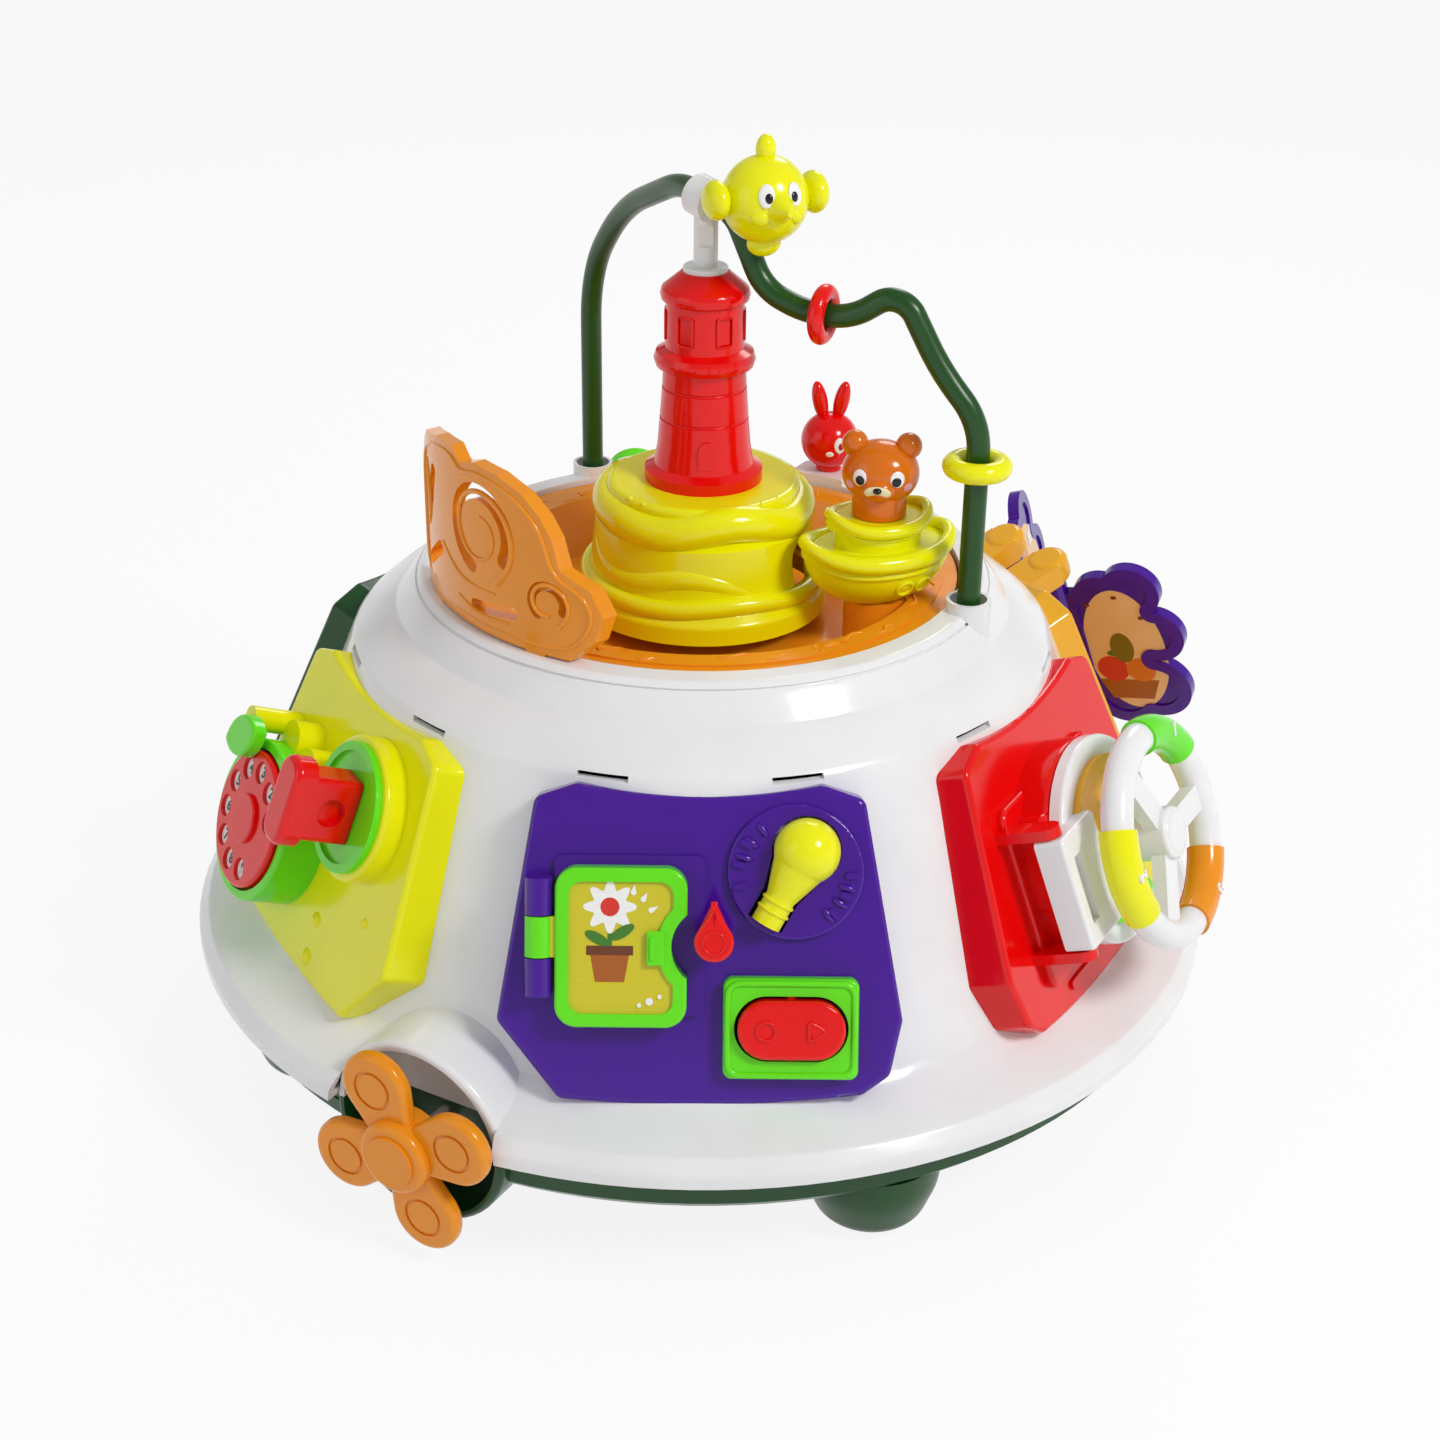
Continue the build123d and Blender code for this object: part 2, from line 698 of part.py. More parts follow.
# Dome shell
DOME_POINTS = (
    (0.0, PARTING_Z),
    (RIM_RADIUS, PARTING_Z),
    (RIM_RADIUS, RIM_NOSE_Z),
    (RIM_TOP_RADIUS, RIM_TOP_Z),
    (FLARE_RADIUS, FLARE_Z),
    (FOOT_OF_SLOPE_RADIUS, FOOT_OF_SLOPE_Z),
    (SLOPE_LOW_RADIUS, SLOPE_LOW_Z),
    (SLOPE_TOP_RADIUS, SLOPE_TOP_Z),
    (SHOULDER_LOW_RADIUS, SHOULDER_LOW_Z),
    (SHOULDER_RADIUS, SHOULDER_Z),
    (LIP_RADIUS, LIP_Z),
    (RING_FOOT_RADIUS, RING_FOOT_Z),
    (RING_TOP_RADIUS, RING_TOP_Z),
    (0.0, RING_TOP_Z),
)


def dome_face():
    rounds = {
        (RIM_RADIUS, RIM_NOSE_Z): NOSE_ROUND,
        (RIM_TOP_RADIUS, RIM_TOP_Z): NOSE_ROUND,
        (SHOULDER_LOW_RADIUS, SHOULDER_LOW_Z): SHOULDER_ROUND,
        (LIP_RADIUS, LIP_Z): LIP_ROUND,
        (RING_TOP_RADIUS, RING_TOP_Z): RING_ROUND,
    }
    return profile_face(DOME_POINTS, rounds)


def dome_solid():
    return revolve(Plane.XZ * dome_face(), Axis.Z)


def drum_frame():
    # Origin on the dome axis at the drum's height, x to the right, z outwards
    flat = Plane(origin=(0, 0, DRUM_Z), x_dir=(1, 0, 0), z_dir=(0, -1, 0)).location
    return Rot(0, 0, DRUM_AZIMUTH) * flat


def drum_rod(root):
    rod = round_rod((0, 0), DRUM_RADIUS, root, DRUM_FACE_RADIUS, DRUM_EDGE_ROUND)
    return drum_frame() * rod


def drum_space(radius, root):
    return drum_frame() * round_rod((0, 0), radius, root, RIM_RADIUS + DRUM_RADIUS)


def drum_half(root, side):
    # The drum's wall and back plate, on one side of the parting plane
    inner = DRUM_RADIUS - DRUM_WALL
    body = drum_rod(root) - drum_space(inner, DRUM_BACK_RADIUS)
    if root < DRUM_BACK_RADIUS - DRUM_WALL:
        body -= drum_frame() * round_rod((0, 0), inner, root - DRUM_WALL, DRUM_BACK_RADIUS - DRUM_WALL)
    return body & side


def above(z):
    across = (-2 * RIM_RADIUS, 2 * RIM_RADIUS)
    return slab(across, across, (z, z + 2 * RIM_RADIUS))


def below(z):
    across = (-2 * RIM_RADIUS, 2 * RIM_RADIUS)
    return slab(across, across, (z - 2 * RIM_RADIUS, z))


def dome_screw_post(azimuth):
    post = Pos(*place(CASE_SCREW_RADIUS, azimuth, 0)) * upright(CASE_POST_RADIUS, PARTING_Z, CASE_POST_TOP_Z)
    rib = Rot(0, 0, azimuth) * slab(
        (-CASE_POST_RIB / 2, CASE_POST_RIB / 2),
        (-FLANGE_INNER_RADIUS - DOME_WALL, -CASE_SCREW_RADIUS),
        (PARTING_Z, CASE_POST_TOP_Z),
    )
    return post + rib


def socket(azimuth, radius):
    return Pos(*place(radius, azimuth, 0)) * upright(SOCKET_RADIUS, SOCKET_FOOT_Z, SOCKET_TOP_Z)


def socket_bore(azimuth, radius):
    bore = upright(TUBE_RADIUS, TUBE_END_Z, SOCKET_MOUTH_Z)
    mouth = upright(SOCKET_MOUTH_RADIUS, SOCKET_MOUTH_Z, SOCKET_TOP_Z + PAST)
    return Pos(*place(radius, azimuth, 0)) * (bore + mouth)


def wave_band():
    return tube_piece(
        WAVE_OUTER_RADIUS,
        WAVE_OUTER_RADIUS - WAVE_THICKNESS,
        RING_TOP_Z - WAVE_TAB_DEPTH,
        WAVE_OUTLINE[0][1] + PAST,
    )


def wave_tabs():
    tabs = None
    for azimuth in WAVE_TAB_AZIMUTHS:
        tab = Rot(0, 0, azimuth) * slab(
            (-WAVE_TAB_WIDTH / 2, WAVE_TAB_WIDTH / 2),
            (-WAVE_OUTER_RADIUS - PAST, -WAVE_OUTER_RADIUS + WAVE_THICKNESS + PAST),
            (RING_TOP_Z - WAVE_TAB_DEPTH, WAVE_OUTLINE[0][1] + PAST),
        )
        tabs = tab if tabs is None else tabs + tab
    return tabs & wave_band()


def bunny_block():
    block = rounded_slab(
        (-BUNNY_BLOCK_SIZE[0] / 2, BUNNY_BLOCK_SIZE[0] / 2),
        (-BUNNY_BLOCK_SIZE[1] / 2, BUNNY_BLOCK_SIZE[1] / 2),
        (RING_TOP_Z - BUNNY_STEM_LENGTH, BUNNY_BLOCK_TOP_Z),
        DOOR_PLATE_ROUND,
        RING_GROOVE_SECTION,
    )
    return Rot(0, 0, BUNNY_AZIMUTH) * Pos(0, -BUNNY_BLOCK_PLACE_RADIUS, 0) * block


def bunny_bore():
    bore = upright(
        BUNNY_STEM_RADIUS + RUNNING_FIT,
        BUNNY_BLOCK_TOP_Z - BUNNY_STEM_LENGTH - END_PLAY,
        BUNNY_BLOCK_TOP_Z + PAST,
    )
    return Pos(*place(BUNNY_PLACE_RADIUS, BUNNY_AZIMUTH, 0)) * bore


def panel_window():
    return slab(
        (-WINDOW_HALF_WIDTH, WINDOW_HALF_WIDTH),
        (-WINDOW_HALF_HEIGHT, WINDOW_HALF_HEIGHT),
        (-WINDOW_DEPTH, 0),
    )


def panel_pads(solid_local):
    pads = [round_rod(spot, PANEL_PAD_RADIUS, -PANEL_PAD_DEPTH, 0) for spot in PANEL_BOSS_PLACES]
    return [pad & solid_local for pad in pads]


def panel_screw_holes():
    return [round_rod(spot, SCREW_RADIUS, -PANEL_PAD_DEPTH, -PANEL_SCREW_TOP) for spot in PANEL_BOSS_PLACES]


def panel_slots(azimuth):
    reach = (-SHOULDER_LOW_RADIUS - SLOT_DEPTH / 2, -SHOULDER_LOW_RADIUS + SLOT_DEPTH / 2)
    heights = (SLOT_Z - SLOT_HEIGHT / 2, SLOT_Z + SLOT_HEIGHT / 2)
    slot = slab((-SLOT_WIDTH / 2, SLOT_WIDTH / 2), reach, heights)
    return [Rot(0, 0, azimuth + turn) * slot for turn in SLOT_AZIMUTHS]


def dome_shell():
    outer = dome_face()
    solid = revolve(Plane.XZ * outer, Axis.Z)
    cavity = revolve(Plane.XZ * inner_face(outer, DOME_WALL), Axis.Z)
    shell = solid - cavity - upright(FLANGE_INNER_RADIUS, PARTING_Z - PAST, PARTING_Z + DOME_WALL + PAST)
    shell += [dome_screw_post(azimuth) for azimuth in CASE_SCREW_AZIMUTHS]
    shell -= drum_space(DRUM_RADIUS, DRUM_ROOT_RADIUS)
    shell += [bunny_block()] + [socket(azimuth, radius) for azimuth, radius in TUBE_FEET]
    shell -= upright(WELL_RADIUS, WELL_FLOOR_Z, SOCKET_TOP_Z + BUNNY_RADIUS)
    pads = panel_pads(PANEL_FRAME.inverse() * solid)
    cuts = [bunny_bore(), wave_tabs()]
    for name, azimuth in PANEL_AZIMUTHS.items():
        shell -= on_panel(name) * panel_window()
        cuts += [on_panel(name) * hole for hole in panel_screw_holes()]
        cuts += panel_slots(azimuth)
    shell += [on_panel(name) * pad for name in PANEL_AZIMUTHS for pad in pads]
    cuts += [socket_bore(azimuth, radius) for azimuth, radius in TUBE_FEET]
    cuts += [case_screw(azimuth, 0.0) for azimuth in CASE_SCREW_AZIMUTHS]
    cuts += [Pos(0, 0, RING_TOP_Z - RING_GROOVE_DROP) * Torus(RING_GROOVE_RADIUS, RING_GROOVE_SECTION)]
    return shell - cuts


def turntable_well():
    # The bowl is a moulding of its own, whose rim butts against the underside of the dome's top ring
    cup = upright(WELL_RADIUS + DOME_WALL, WELL_FLOOR_Z - DOME_WALL, RING_TOP_Z - DOME_WALL)
    cup -= upright(WELL_RADIUS, WELL_FLOOR_Z, RING_TOP_Z)
    cup -= upright(POST_RADIUS, WELL_FLOOR_Z - DOME_WALL - PAST, WELL_FLOOR_Z + PAST)
    return cup - [bunny_block(), wave_tabs()] - [socket(azimuth, radius) for azimuth, radius in TUBE_FEET]


def propeller_hood():
    return drum_half(DRUM_ROOT_RADIUS, above(PARTING_Z))


# Base tray, its screws and what it holds
def case_screw(azimuth, clearance):
    # Shank from the recess in the tray up into the dome's post, with its head below
    seat = TRAY_FLOOR_Z + SCREW_RECESS_DEPTH
    tip = seat + CASE_SCREW_LENGTH - SCREW_RECESS_DEPTH
    shank = upright(SCREW_RADIUS + clearance, seat - RUNNING_FIT, tip)
    return Pos(*place(CASE_SCREW_RADIUS, azimuth, 0)) * shank


def screw_head(x, y, top_z):
    head = upright(SCREW_HEAD_RADIUS, top_z - SCREW_HEAD_HEIGHT, top_z)
    slots = [
        slab(
            (-SCREW_HEAD_RADIUS / 2, SCREW_HEAD_RADIUS / 2),
            (-SCREW_SLOT_WIDTH / 2, SCREW_SLOT_WIDTH / 2),
            (top_z - SCREW_HEAD_HEIGHT - PAST, top_z - SCREW_HEAD_HEIGHT + SCREW_SLOT_DEPTH),
        ),
    ]
    slots.append(Rot(0, 0, 90) * slots[0])
    return Pos(x, y, 0) * (head - slots)


def tray_face():
    points = (
        (0.0, TRAY_FLOOR_Z),
        (TRAY_RADIUS - TRAY_BEVEL, TRAY_FLOOR_Z),
        (TRAY_RADIUS, TRAY_FLOOR_Z + TRAY_BEVEL),
        (TRAY_RADIUS, PARTING_Z),
        (0.0, PARTING_Z),
    )
    return make_face(Polyline(*points, close=True))


def battery_hollow(z_low, z_high, margin):
    half_length = CELL_LENGTH / 2 + CELL_TIP_LENGTH + margin
    half_width = CELL_COUNT * CELL_PITCH / 2 + margin
    return slab((-half_length, half_length), (-half_width, half_width), (z_low, z_high))


FLOOR_TOP_Z = TRAY_FLOOR_Z + TRAY_WALL
CELL_Z = FLOOR_TOP_Z + CELL_RADIUS
BATTERY_ROOF_Z = FLOOR_TOP_Z + 2 * CELL_RADIUS + CELL_HEADROOM


def battery_screw_place():
    return CELL_LENGTH / 2 + CELL_TIP_LENGTH + BATTERY_BOX_WALL + SCREW_HEAD_RADIUS


def board_posts():
    half_x = BOARD_SIZE[0] / 2 - BOARD_POST_INSET
    half_y = BOARD_SIZE[1] / 2 - BOARD_POST_INSET
    top = FLOOR_TOP_Z + BOARD_POST_HEIGHT
    return [
        Pos(BOARD_PLACE[0] + x, BOARD_PLACE[1] + y, 0) * upright(BOARD_POST_RADIUS, TRAY_FLOOR_Z, top)
        for x in (-half_x, half_x)
        for y in (-half_y, half_y)
    ]


def grille_holes():
    holes = []
    for column in range(-GRILLE_ROWS, GRILLE_ROWS + 1):
        for row in range(-GRILLE_ROWS, GRILLE_ROWS + 1):
            x = SPEAKER_PLACE[0] + column * GRILLE_PITCH
            y = SPEAKER_PLACE[1] + row * GRILLE_PITCH
            holes.append(Pos(x, y, 0) * upright(GRILLE_HOLE_RADIUS, TRAY_FLOOR_Z - PAST, FLOOR_TOP_Z + PAST))
    return holes


def base_tray():
    outer = tray_face()
    tray = revolve(Plane.XZ * outer, Axis.Z) - revolve(Plane.XZ * inner_face(outer, TRAY_WALL), Axis.Z)
    tray -= upright(TRAY_RADIUS - TRAY_WALL, PARTING_Z - TRAY_WALL - PAST, PARTING_Z + PAST)
    tray += tube_piece(
        TRAY_RADIUS + TRAY_BEAD_OUT, TRAY_RADIUS - TRAY_WALL, TRAY_BEAD_Z, TRAY_BEAD_Z + TRAY_BEAD_HEIGHT
    )
    drum_root = DRUM_BACK_RADIUS - DRUM_WALL
    tray -= drum_space(DRUM_RADIUS, drum_root)
    tray += [drum_half(drum_root, below(PARTING_Z)), axle_boss() & below(PARTING_Z)]
    tray += battery_hollow(TRAY_FLOOR_Z, BATTERY_ROOF_Z + BATTERY_BOX_WALL, BATTERY_BOX_WALL)
    tray += [slab(
        (CELL_LENGTH / 2, battery_screw_place() + 2 * SCREW_HEAD_RADIUS + TRAY_WALL),
        (-2 * SCREW_HEAD_RADIUS, 2 * SCREW_HEAD_RADIUS),
        (TRAY_FLOOR_Z, BATTERY_ROOF_Z),
    )]
    tray += board_posts()
    tray += [Pos(*place(CASE_SCREW_RADIUS, a, 0)) * upright(CASE_POST_RADIUS, TRAY_FLOOR_Z, PARTING_Z)
             for a in CASE_SCREW_AZIMUTHS]
    speaker_ring = tube_piece(
        SPEAKER_RADIUS + TRAY_WALL, SPEAKER_RADIUS, FLOOR_TOP_Z, FLOOR_TOP_Z + SPEAKER_HEIGHT
    )
    tray += Pos(SPEAKER_PLACE[0], SPEAKER_PLACE[1], 0) * speaker_ring
    cuts = grille_holes() + [axle_bore()]
    cuts.append(battery_hollow(FLOOR_TOP_Z, BATTERY_ROOF_Z, 0.0))
    cuts.append(battery_door_blank(0.0))
    screw_hole = upright(SCREW_RADIUS, TRAY_FLOOR_Z, BATTERY_ROOF_Z - PAST)
    cuts.append(Pos(battery_screw_place(), 0, 0) * screw_hole)
    for azimuth in CASE_SCREW_AZIMUTHS:
        cuts.append(case_screw(azimuth, 0.0))
        cuts.append(Pos(*place(CASE_SCREW_RADIUS, azimuth, 0)) * upright(
            SCREW_RECESS_RADIUS, TRAY_FLOOR_Z - PAST, TRAY_FLOOR_Z + SCREW_RECESS_DEPTH
        ))
    for azimuth in FOOT_AZIMUTHS:
        cuts.append(Pos(*place(FOOT_PLACE_RADIUS, azimuth, 0)) * upright(
            FOOT_PEG_RADIUS, TRAY_FLOOR_Z - PAST, FLOOR_TOP_Z + PAST
        ))
    return tray - cuts


def battery_door_blank(gap):
    half_length = CELL_LENGTH / 2 + CELL_TIP_LENGTH + BATTERY_DOOR_LEDGE - gap
    half_width = CELL_COUNT * CELL_PITCH / 2 + BATTERY_DOOR_LEDGE - gap
    long_side = battery_screw_place() + 2 * SCREW_HEAD_RADIUS - gap
    return slab((-half_length, long_side), (-half_width, half_width), (TRAY_FLOOR_Z, FLOOR_TOP_Z))


def battery_door():
    door = battery_door_blank(DOOR_GAP)
    screw = Pos(battery_screw_place(), 0, 0)
    door -= screw * upright(SCREW_HEAD_RADIUS, TRAY_FLOOR_Z - PAST, TRAY_FLOOR_Z + SCREW_HEAD_HEIGHT / 2)
    return door - screw * upright(SCREW_RADIUS, TRAY_FLOOR_Z - PAST, FLOOR_TOP_Z + PAST)


def batteries():
    cells = []
    for number in range(CELL_COUNT):
        y = (number - (CELL_COUNT - 1) / 2) * CELL_PITCH
        can = Pos(0, y, CELL_Z) * Rot(0, 90, 0) * Cylinder(CELL_RADIUS, CELL_LENGTH)
        tip_x = (CELL_LENGTH + CELL_TIP_LENGTH) / 2 * (-1) ** number
        tip = Pos(tip_x, y, CELL_Z) * Rot(0, 90, 0) * Cylinder(CELL_TIP_RADIUS, CELL_TIP_LENGTH)
        cells.append(can + tip)
    return Compound(children=cells)


def base_screws():
    screws = []
    for azimuth in CASE_SCREW_AZIMUTHS:
        centre = place(CASE_SCREW_RADIUS, azimuth, 0)
        screws.append(
            case_screw(azimuth, 0.0)
            - Pos(*centre) * upright(2 * SCREW_RADIUS, 0, TRAY_FLOOR_Z + SCREW_RECESS_DEPTH)
            + screw_head(centre.X, centre.Y, TRAY_FLOOR_Z + SCREW_RECESS_DEPTH)
        )
    door_seat = TRAY_FLOOR_Z + SCREW_HEAD_HEIGHT / 2
    shank = Pos(battery_screw_place(), 0, 0) * upright(SCREW_RADIUS, door_seat, BATTERY_ROOF_Z - PAST)
    screws.append(shank + screw_head(battery_screw_place(), 0, door_seat))
    return Compound(children=screws)


def circuit_board():
    bottom = FLOOR_TOP_Z + BOARD_POST_HEIGHT
    board = Pos(BOARD_PLACE[0], BOARD_PLACE[1], bottom + BOARD_SIZE[2] / 2) * Box(*BOARD_SIZE)
    for (width, depth, height), (x, y) in zip(CHIP_SIZES, CHIP_PLACES):
        z = bottom + BOARD_SIZE[2] + height / 2
        board += Pos(BOARD_PLACE[0] + x, BOARD_PLACE[1] + y, z) * Box(width, depth, height)
    return board


def speaker():
    cone = upright(SPEAKER_RADIUS, FLOOR_TOP_Z, FLOOR_TOP_Z + SPEAKER_HEIGHT)
    mouth = Cone(SPEAKER_RADIUS - DOME_WALL, MAGNET_RADIUS / 2, SPEAKER_HEIGHT)
    cone -= Pos(0, 0, FLOOR_TOP_Z) * mouth
    magnet_low = FLOOR_TOP_Z + SPEAKER_HEIGHT
    magnet = upright(MAGNET_RADIUS, magnet_low, magnet_low + MAGNET_HEIGHT)
    return Pos(SPEAKER_PLACE[0], SPEAKER_PLACE[1], 0) * (cone + magnet)


def foot(azimuth):
    points = (
        (0.0, 0.0),
        (FOOT_SOLE_RADIUS, 0.0),
        (FOOT_CHEEK_RADIUS, FOOT_CHEEK_Z),
        (FOOT_RADIUS, FOOT_WAIST_Z),
        (FOOT_RADIUS, TRAY_FLOOR_Z),
        (0.0, TRAY_FLOOR_Z),
    )
    rounds = {(FOOT_CHEEK_RADIUS, FOOT_CHEEK_Z): FOOT_SOLE_RADIUS, (FOOT_RADIUS, FOOT_WAIST_Z): FOOT_RADIUS}
    dome = revolve(Plane.XZ * profile_face(points, rounds), Axis.Z)
    peg = upright(FOOT_PEG_RADIUS, TRAY_FLOOR_Z, TRAY_FLOOR_Z + FOOT_PEG_HEIGHT)
    return Pos(*place(FOOT_PLACE_RADIUS, azimuth, 0)) * (dome + peg)


def feet():
    return Compound(children=[foot(azimuth) for azimuth in FOOT_AZIMUTHS])


# Propeller
def propeller_frame():
    return Pos(0, 0, PROPELLER_Z - DRUM_Z) * drum_frame()


def axle_boss():
    boss_low = DRUM_BACK_RADIUS - DRUM_WALL - AXLE_BOSS_RADIUS
    return propeller_frame() * round_rod((0, 0), AXLE_BOSS_RADIUS, boss_low, DRUM_BACK_RADIUS)


def axle_bore():
    bore_low = DRUM_BACK_RADIUS - DRUM_WALL - 2 * AXLE_BOSS_RADIUS
    bore = round_rod((0, 0), AXLE_RADIUS + RUNNING_FIT, bore_low, DRUM_BACK_RADIUS + PAST)
    return propeller_frame() * bore


def propeller_axle():
    head = PROPELLER_PLANE_RADIUS - HUB_LENGTH / 2 + AXLE_HEAD_INTO_HUB
    axle = round_rod((0, 0), AXLE_RADIUS, AXLE_TAIL_RADIUS, head)
    boss_back = DRUM_BACK_RADIUS - DRUM_WALL - AXLE_BOSS_RADIUS
    collar_top = boss_back - AXLE_PLAY
    axle += round_rod((0, 0), AXLE_COLLAR_RADIUS, collar_top - AXLE_COLLAR_LENGTH, collar_top)
    return propeller_frame() * axle


def blade():
    reach = BLADE_TIP - BLADE_RADIUS
    circle = Pos(reach, 0) * Circle(BLADE_RADIUS)
    root = Circle(BLADE_NECK_HALF)
    outline = make_hull(circle.edges() + root.edges())
    solid = Pos(0, 0, -BLADE_THICKNESS / 2) * extrude(outline, BLADE_THICKNESS)
    solid = fillet(solid.faces().sort_by(Axis.Z)[-1].outer_wire().edges(), BLADE_ROUND)
    solid = fillet(solid.faces().sort_by(Axis.Z)[0].outer_wire().edges(), BLADE_ROUND)
    groove_z = BLADE_THICKNESS / 2 - BLADE_GROOVE_DEPTH
    groove = round_rod((reach, 0), BLADE_GROOVE_RADIUS, groove_z, BLADE_THICKNESS) - round_rod(
        (reach, 0), BLADE_GROOVE_RADIUS - BLADE_GROOVE_WIDTH, groove_z - PAST, BLADE_THICKNESS + PAST
    )
    return solid - groove


def propeller():
    hub = round_rod((0, 0), HUB_RADIUS, -HUB_LENGTH / 2, HUB_LENGTH / 2, HUB_ROUND)
    body = hub + round_rod((0, 0), HUB_FACE_RADIUS, 0, HUB_LENGTH / 2 + HUB_FACE_RISE)
    for number in range(BLADE_COUNT):
        body += Rot(0, 0, BLADE_TURN + number * 360 / BLADE_COUNT) * blade()
    body -= round_rod((0, 0), AXLE_RADIUS, -HUB_LENGTH, AXLE_HEAD_INTO_HUB - HUB_LENGTH / 2)
    return propeller_frame() * Pos(0, 0, PROPELLER_PLANE_RADIUS) * body


# Panels
def panel_outline(left_cut=False, right_cut=False):
    side = ((PANEL_TOP_HALF, PANEL_TOP_SIDE), (PANEL_WIDE_HALF, PANEL_WIDE_Y))
    corner = ((PANEL_LOW_HALF, PANEL_LOW_SIDE), (PANEL_LOW_CORNER_HALF, PANEL_LOW_CORNER_Y))
    plain = side + corner
    cut = side[:1] + (PANEL_CUT_TOP, PANEL_CUT_LOW)
    right = cut if right_cut else plain
    left = [(-x, y) for x, y in (cut if left_cut else plain)]
    horn = (PANEL_HORN_HALF, PANEL_HORN_TOP)
    top = ThreePointArc((-horn[0], horn[1]), (0, PANEL_TOP_MID), horn)
    bottom = ThreePointArc(right[-1], (0, PANEL_BOTTOM_MID), left[-1])
    edges = [top, Polyline(horn, *right), bottom, Polyline(*reversed(left), (-horn[0], horn[1]))]
    face = make_face(edges)
    corners = [v for v in face.vertices() if hypot(v.X, v.Y) > PANEL_TOP_MID]
    return fillet(corners, PANEL_CORNER_ROUND)


DOME_LOCAL = PANEL_FRAME.inverse() * dome_solid()


def panel_tray(outline, beside_drum=None):
    body = extrude(outline, -PANEL_DEPTH)
    body = fillet(top_edges(body), PANEL_EDGE_ROUND)
    inner = Pos(0, 0, -PANEL_WALL) * extrude(offset(outline, -PANEL_WALL), -PANEL_DEPTH)
    bosses = [round_rod(spot, PANEL_BOSS_RADIUS, -PANEL_DEPTH, -PANEL_WALL) for spot in PANEL_BOSS_PLACES]
    shell = body - inner + bosses - DOME_LOCAL
    if beside_drum:
        shell -= on_panel(beside_drum).inverse() * drum_rod(DRUM_ROOT_RADIUS)
    return shell - panel_screw_holes()


def panel_screws():
    screws = []
    for name in PANEL_AZIMUTHS:
        for spot in PANEL_BOSS_PLACES:
            shank = round_rod(spot, SCREW_RADIUS, -PANEL_PAD_DEPTH, -PANEL_SCREW_TOP - PAST)
            head = round_rod(spot, SCREW_HEAD_RADIUS, -PANEL_PAD_DEPTH - SCREW_HEAD_HEIGHT, -PANEL_PAD_DEPTH)
            screws.append(on_panel(name) * (shank + head))
    return Compound(children=screws)


# Front panel
PLATE_TOP = DOOR_PLATE_RISE
DOOR_BACK = PLATE_TOP + DOOR_LIFT
DOOR_FACE = DOOR_BACK + DOOR_THICKNESS
LATCH_BACK = DOOR_FACE + LATCH_GAP


def hinge_barrel(y_range):
    rod = rod_along_y(DOOR_HINGE_X, DOOR_HINGE_RISE, BARREL_RADIUS, y_range)
    web = slab(BARREL_FLARE_X, y_range, (-PANEL_WALL / 2, DOOR_HINGE_RISE))
    return rod + web


def pin_bore(x, z, radius, y_low, y_high):
    return rod_along_y(x, z, radius, (y_low, y_high))


def bulb_frame():
    return Pos(BULB_GLOBE_PLACE[0], BULB_GLOBE_PLACE[1], 0) * Rot(0, 0, BULB_AXIS_TURN)


def bulb_flat(gap):
    # Outline of the lying bulb: globe, tapering neck and screw cap
    cap_half = BULB_NECK_WIDTH / 2 + gap
    points = (
        (BULB_NECK_START_HALF + gap, -BULB_NECK_START),
        (cap_half, -BULB_CAP_START),
        (cap_half, -BULB_CAP_START - BULB_CAP_LENGTH - gap),
    )
    mirrored = [(-x, y) for x, y in reversed(points)]
    return Circle(BULB_GLOBE_RADIUS + gap) + make_face(Polyline(*points, *mirrored, close=True))


def bulb_stem_place():
    turn = radians(BULB_AXIS_TURN)
    x, y = BULB_GLOBE_PLACE
    return x + BULB_STEM_ALONG * sin(turn), y - BULB_STEM_ALONG * cos(turn)


def bulb_bridge():
    spot = bulb_stem_place()
    floor = -BULB_STEM_LENGTH + BULB_TRAVEL + END_PLAY
    reach = BULB_BRIDGE_REACH
    width = (-BULB_BRIDGE_HALF, BULB_BRIDGE_HALF)
    bar = slab((-reach, reach), width, (floor, floor + CATCH_THICKNESS))
    leg = slab((reach - CATCH_THICKNESS, reach), width, (floor, -PANEL_WALL / 2))
    bridge = bar + [leg, Rot(0, 0, 180) * leg]
    bridge -= round_rod((0, 0), BULB_STEM_RADIUS + RUNNING_FIT, floor - PAST, 0)
    return Pos(spot[0], spot[1], 0) * Rot(0, 0, BULB_AXIS_TURN) * bridge


def bulb_ray(turn):
    angle = radians(turn)
    x = BULB_DISC_PLACE[0] + RAY_PLACE_RADIUS * cos(angle)
    y = BULB_DISC_PLACE[1] + RAY_PLACE_RADIUS * sin(angle)
    ray = extrude(SlotOverall(RAY_LENGTH, RAY_WIDTH), RAY_RISE)
    return Pos(x, y, BULB_DISC_RISE) * Rot(0, 0, turn) * ray


def rocker_blank(gap, z_low, z_high):
    pill = SlotOverall(ROCKER_SIZE[0] + 2 * gap, ROCKER_SIZE[1] + 2 * gap)
    return Pos(ROCKER_CENTRE[0], ROCKER_CENTRE[1], z_low) * extrude(pill, z_high - z_low)


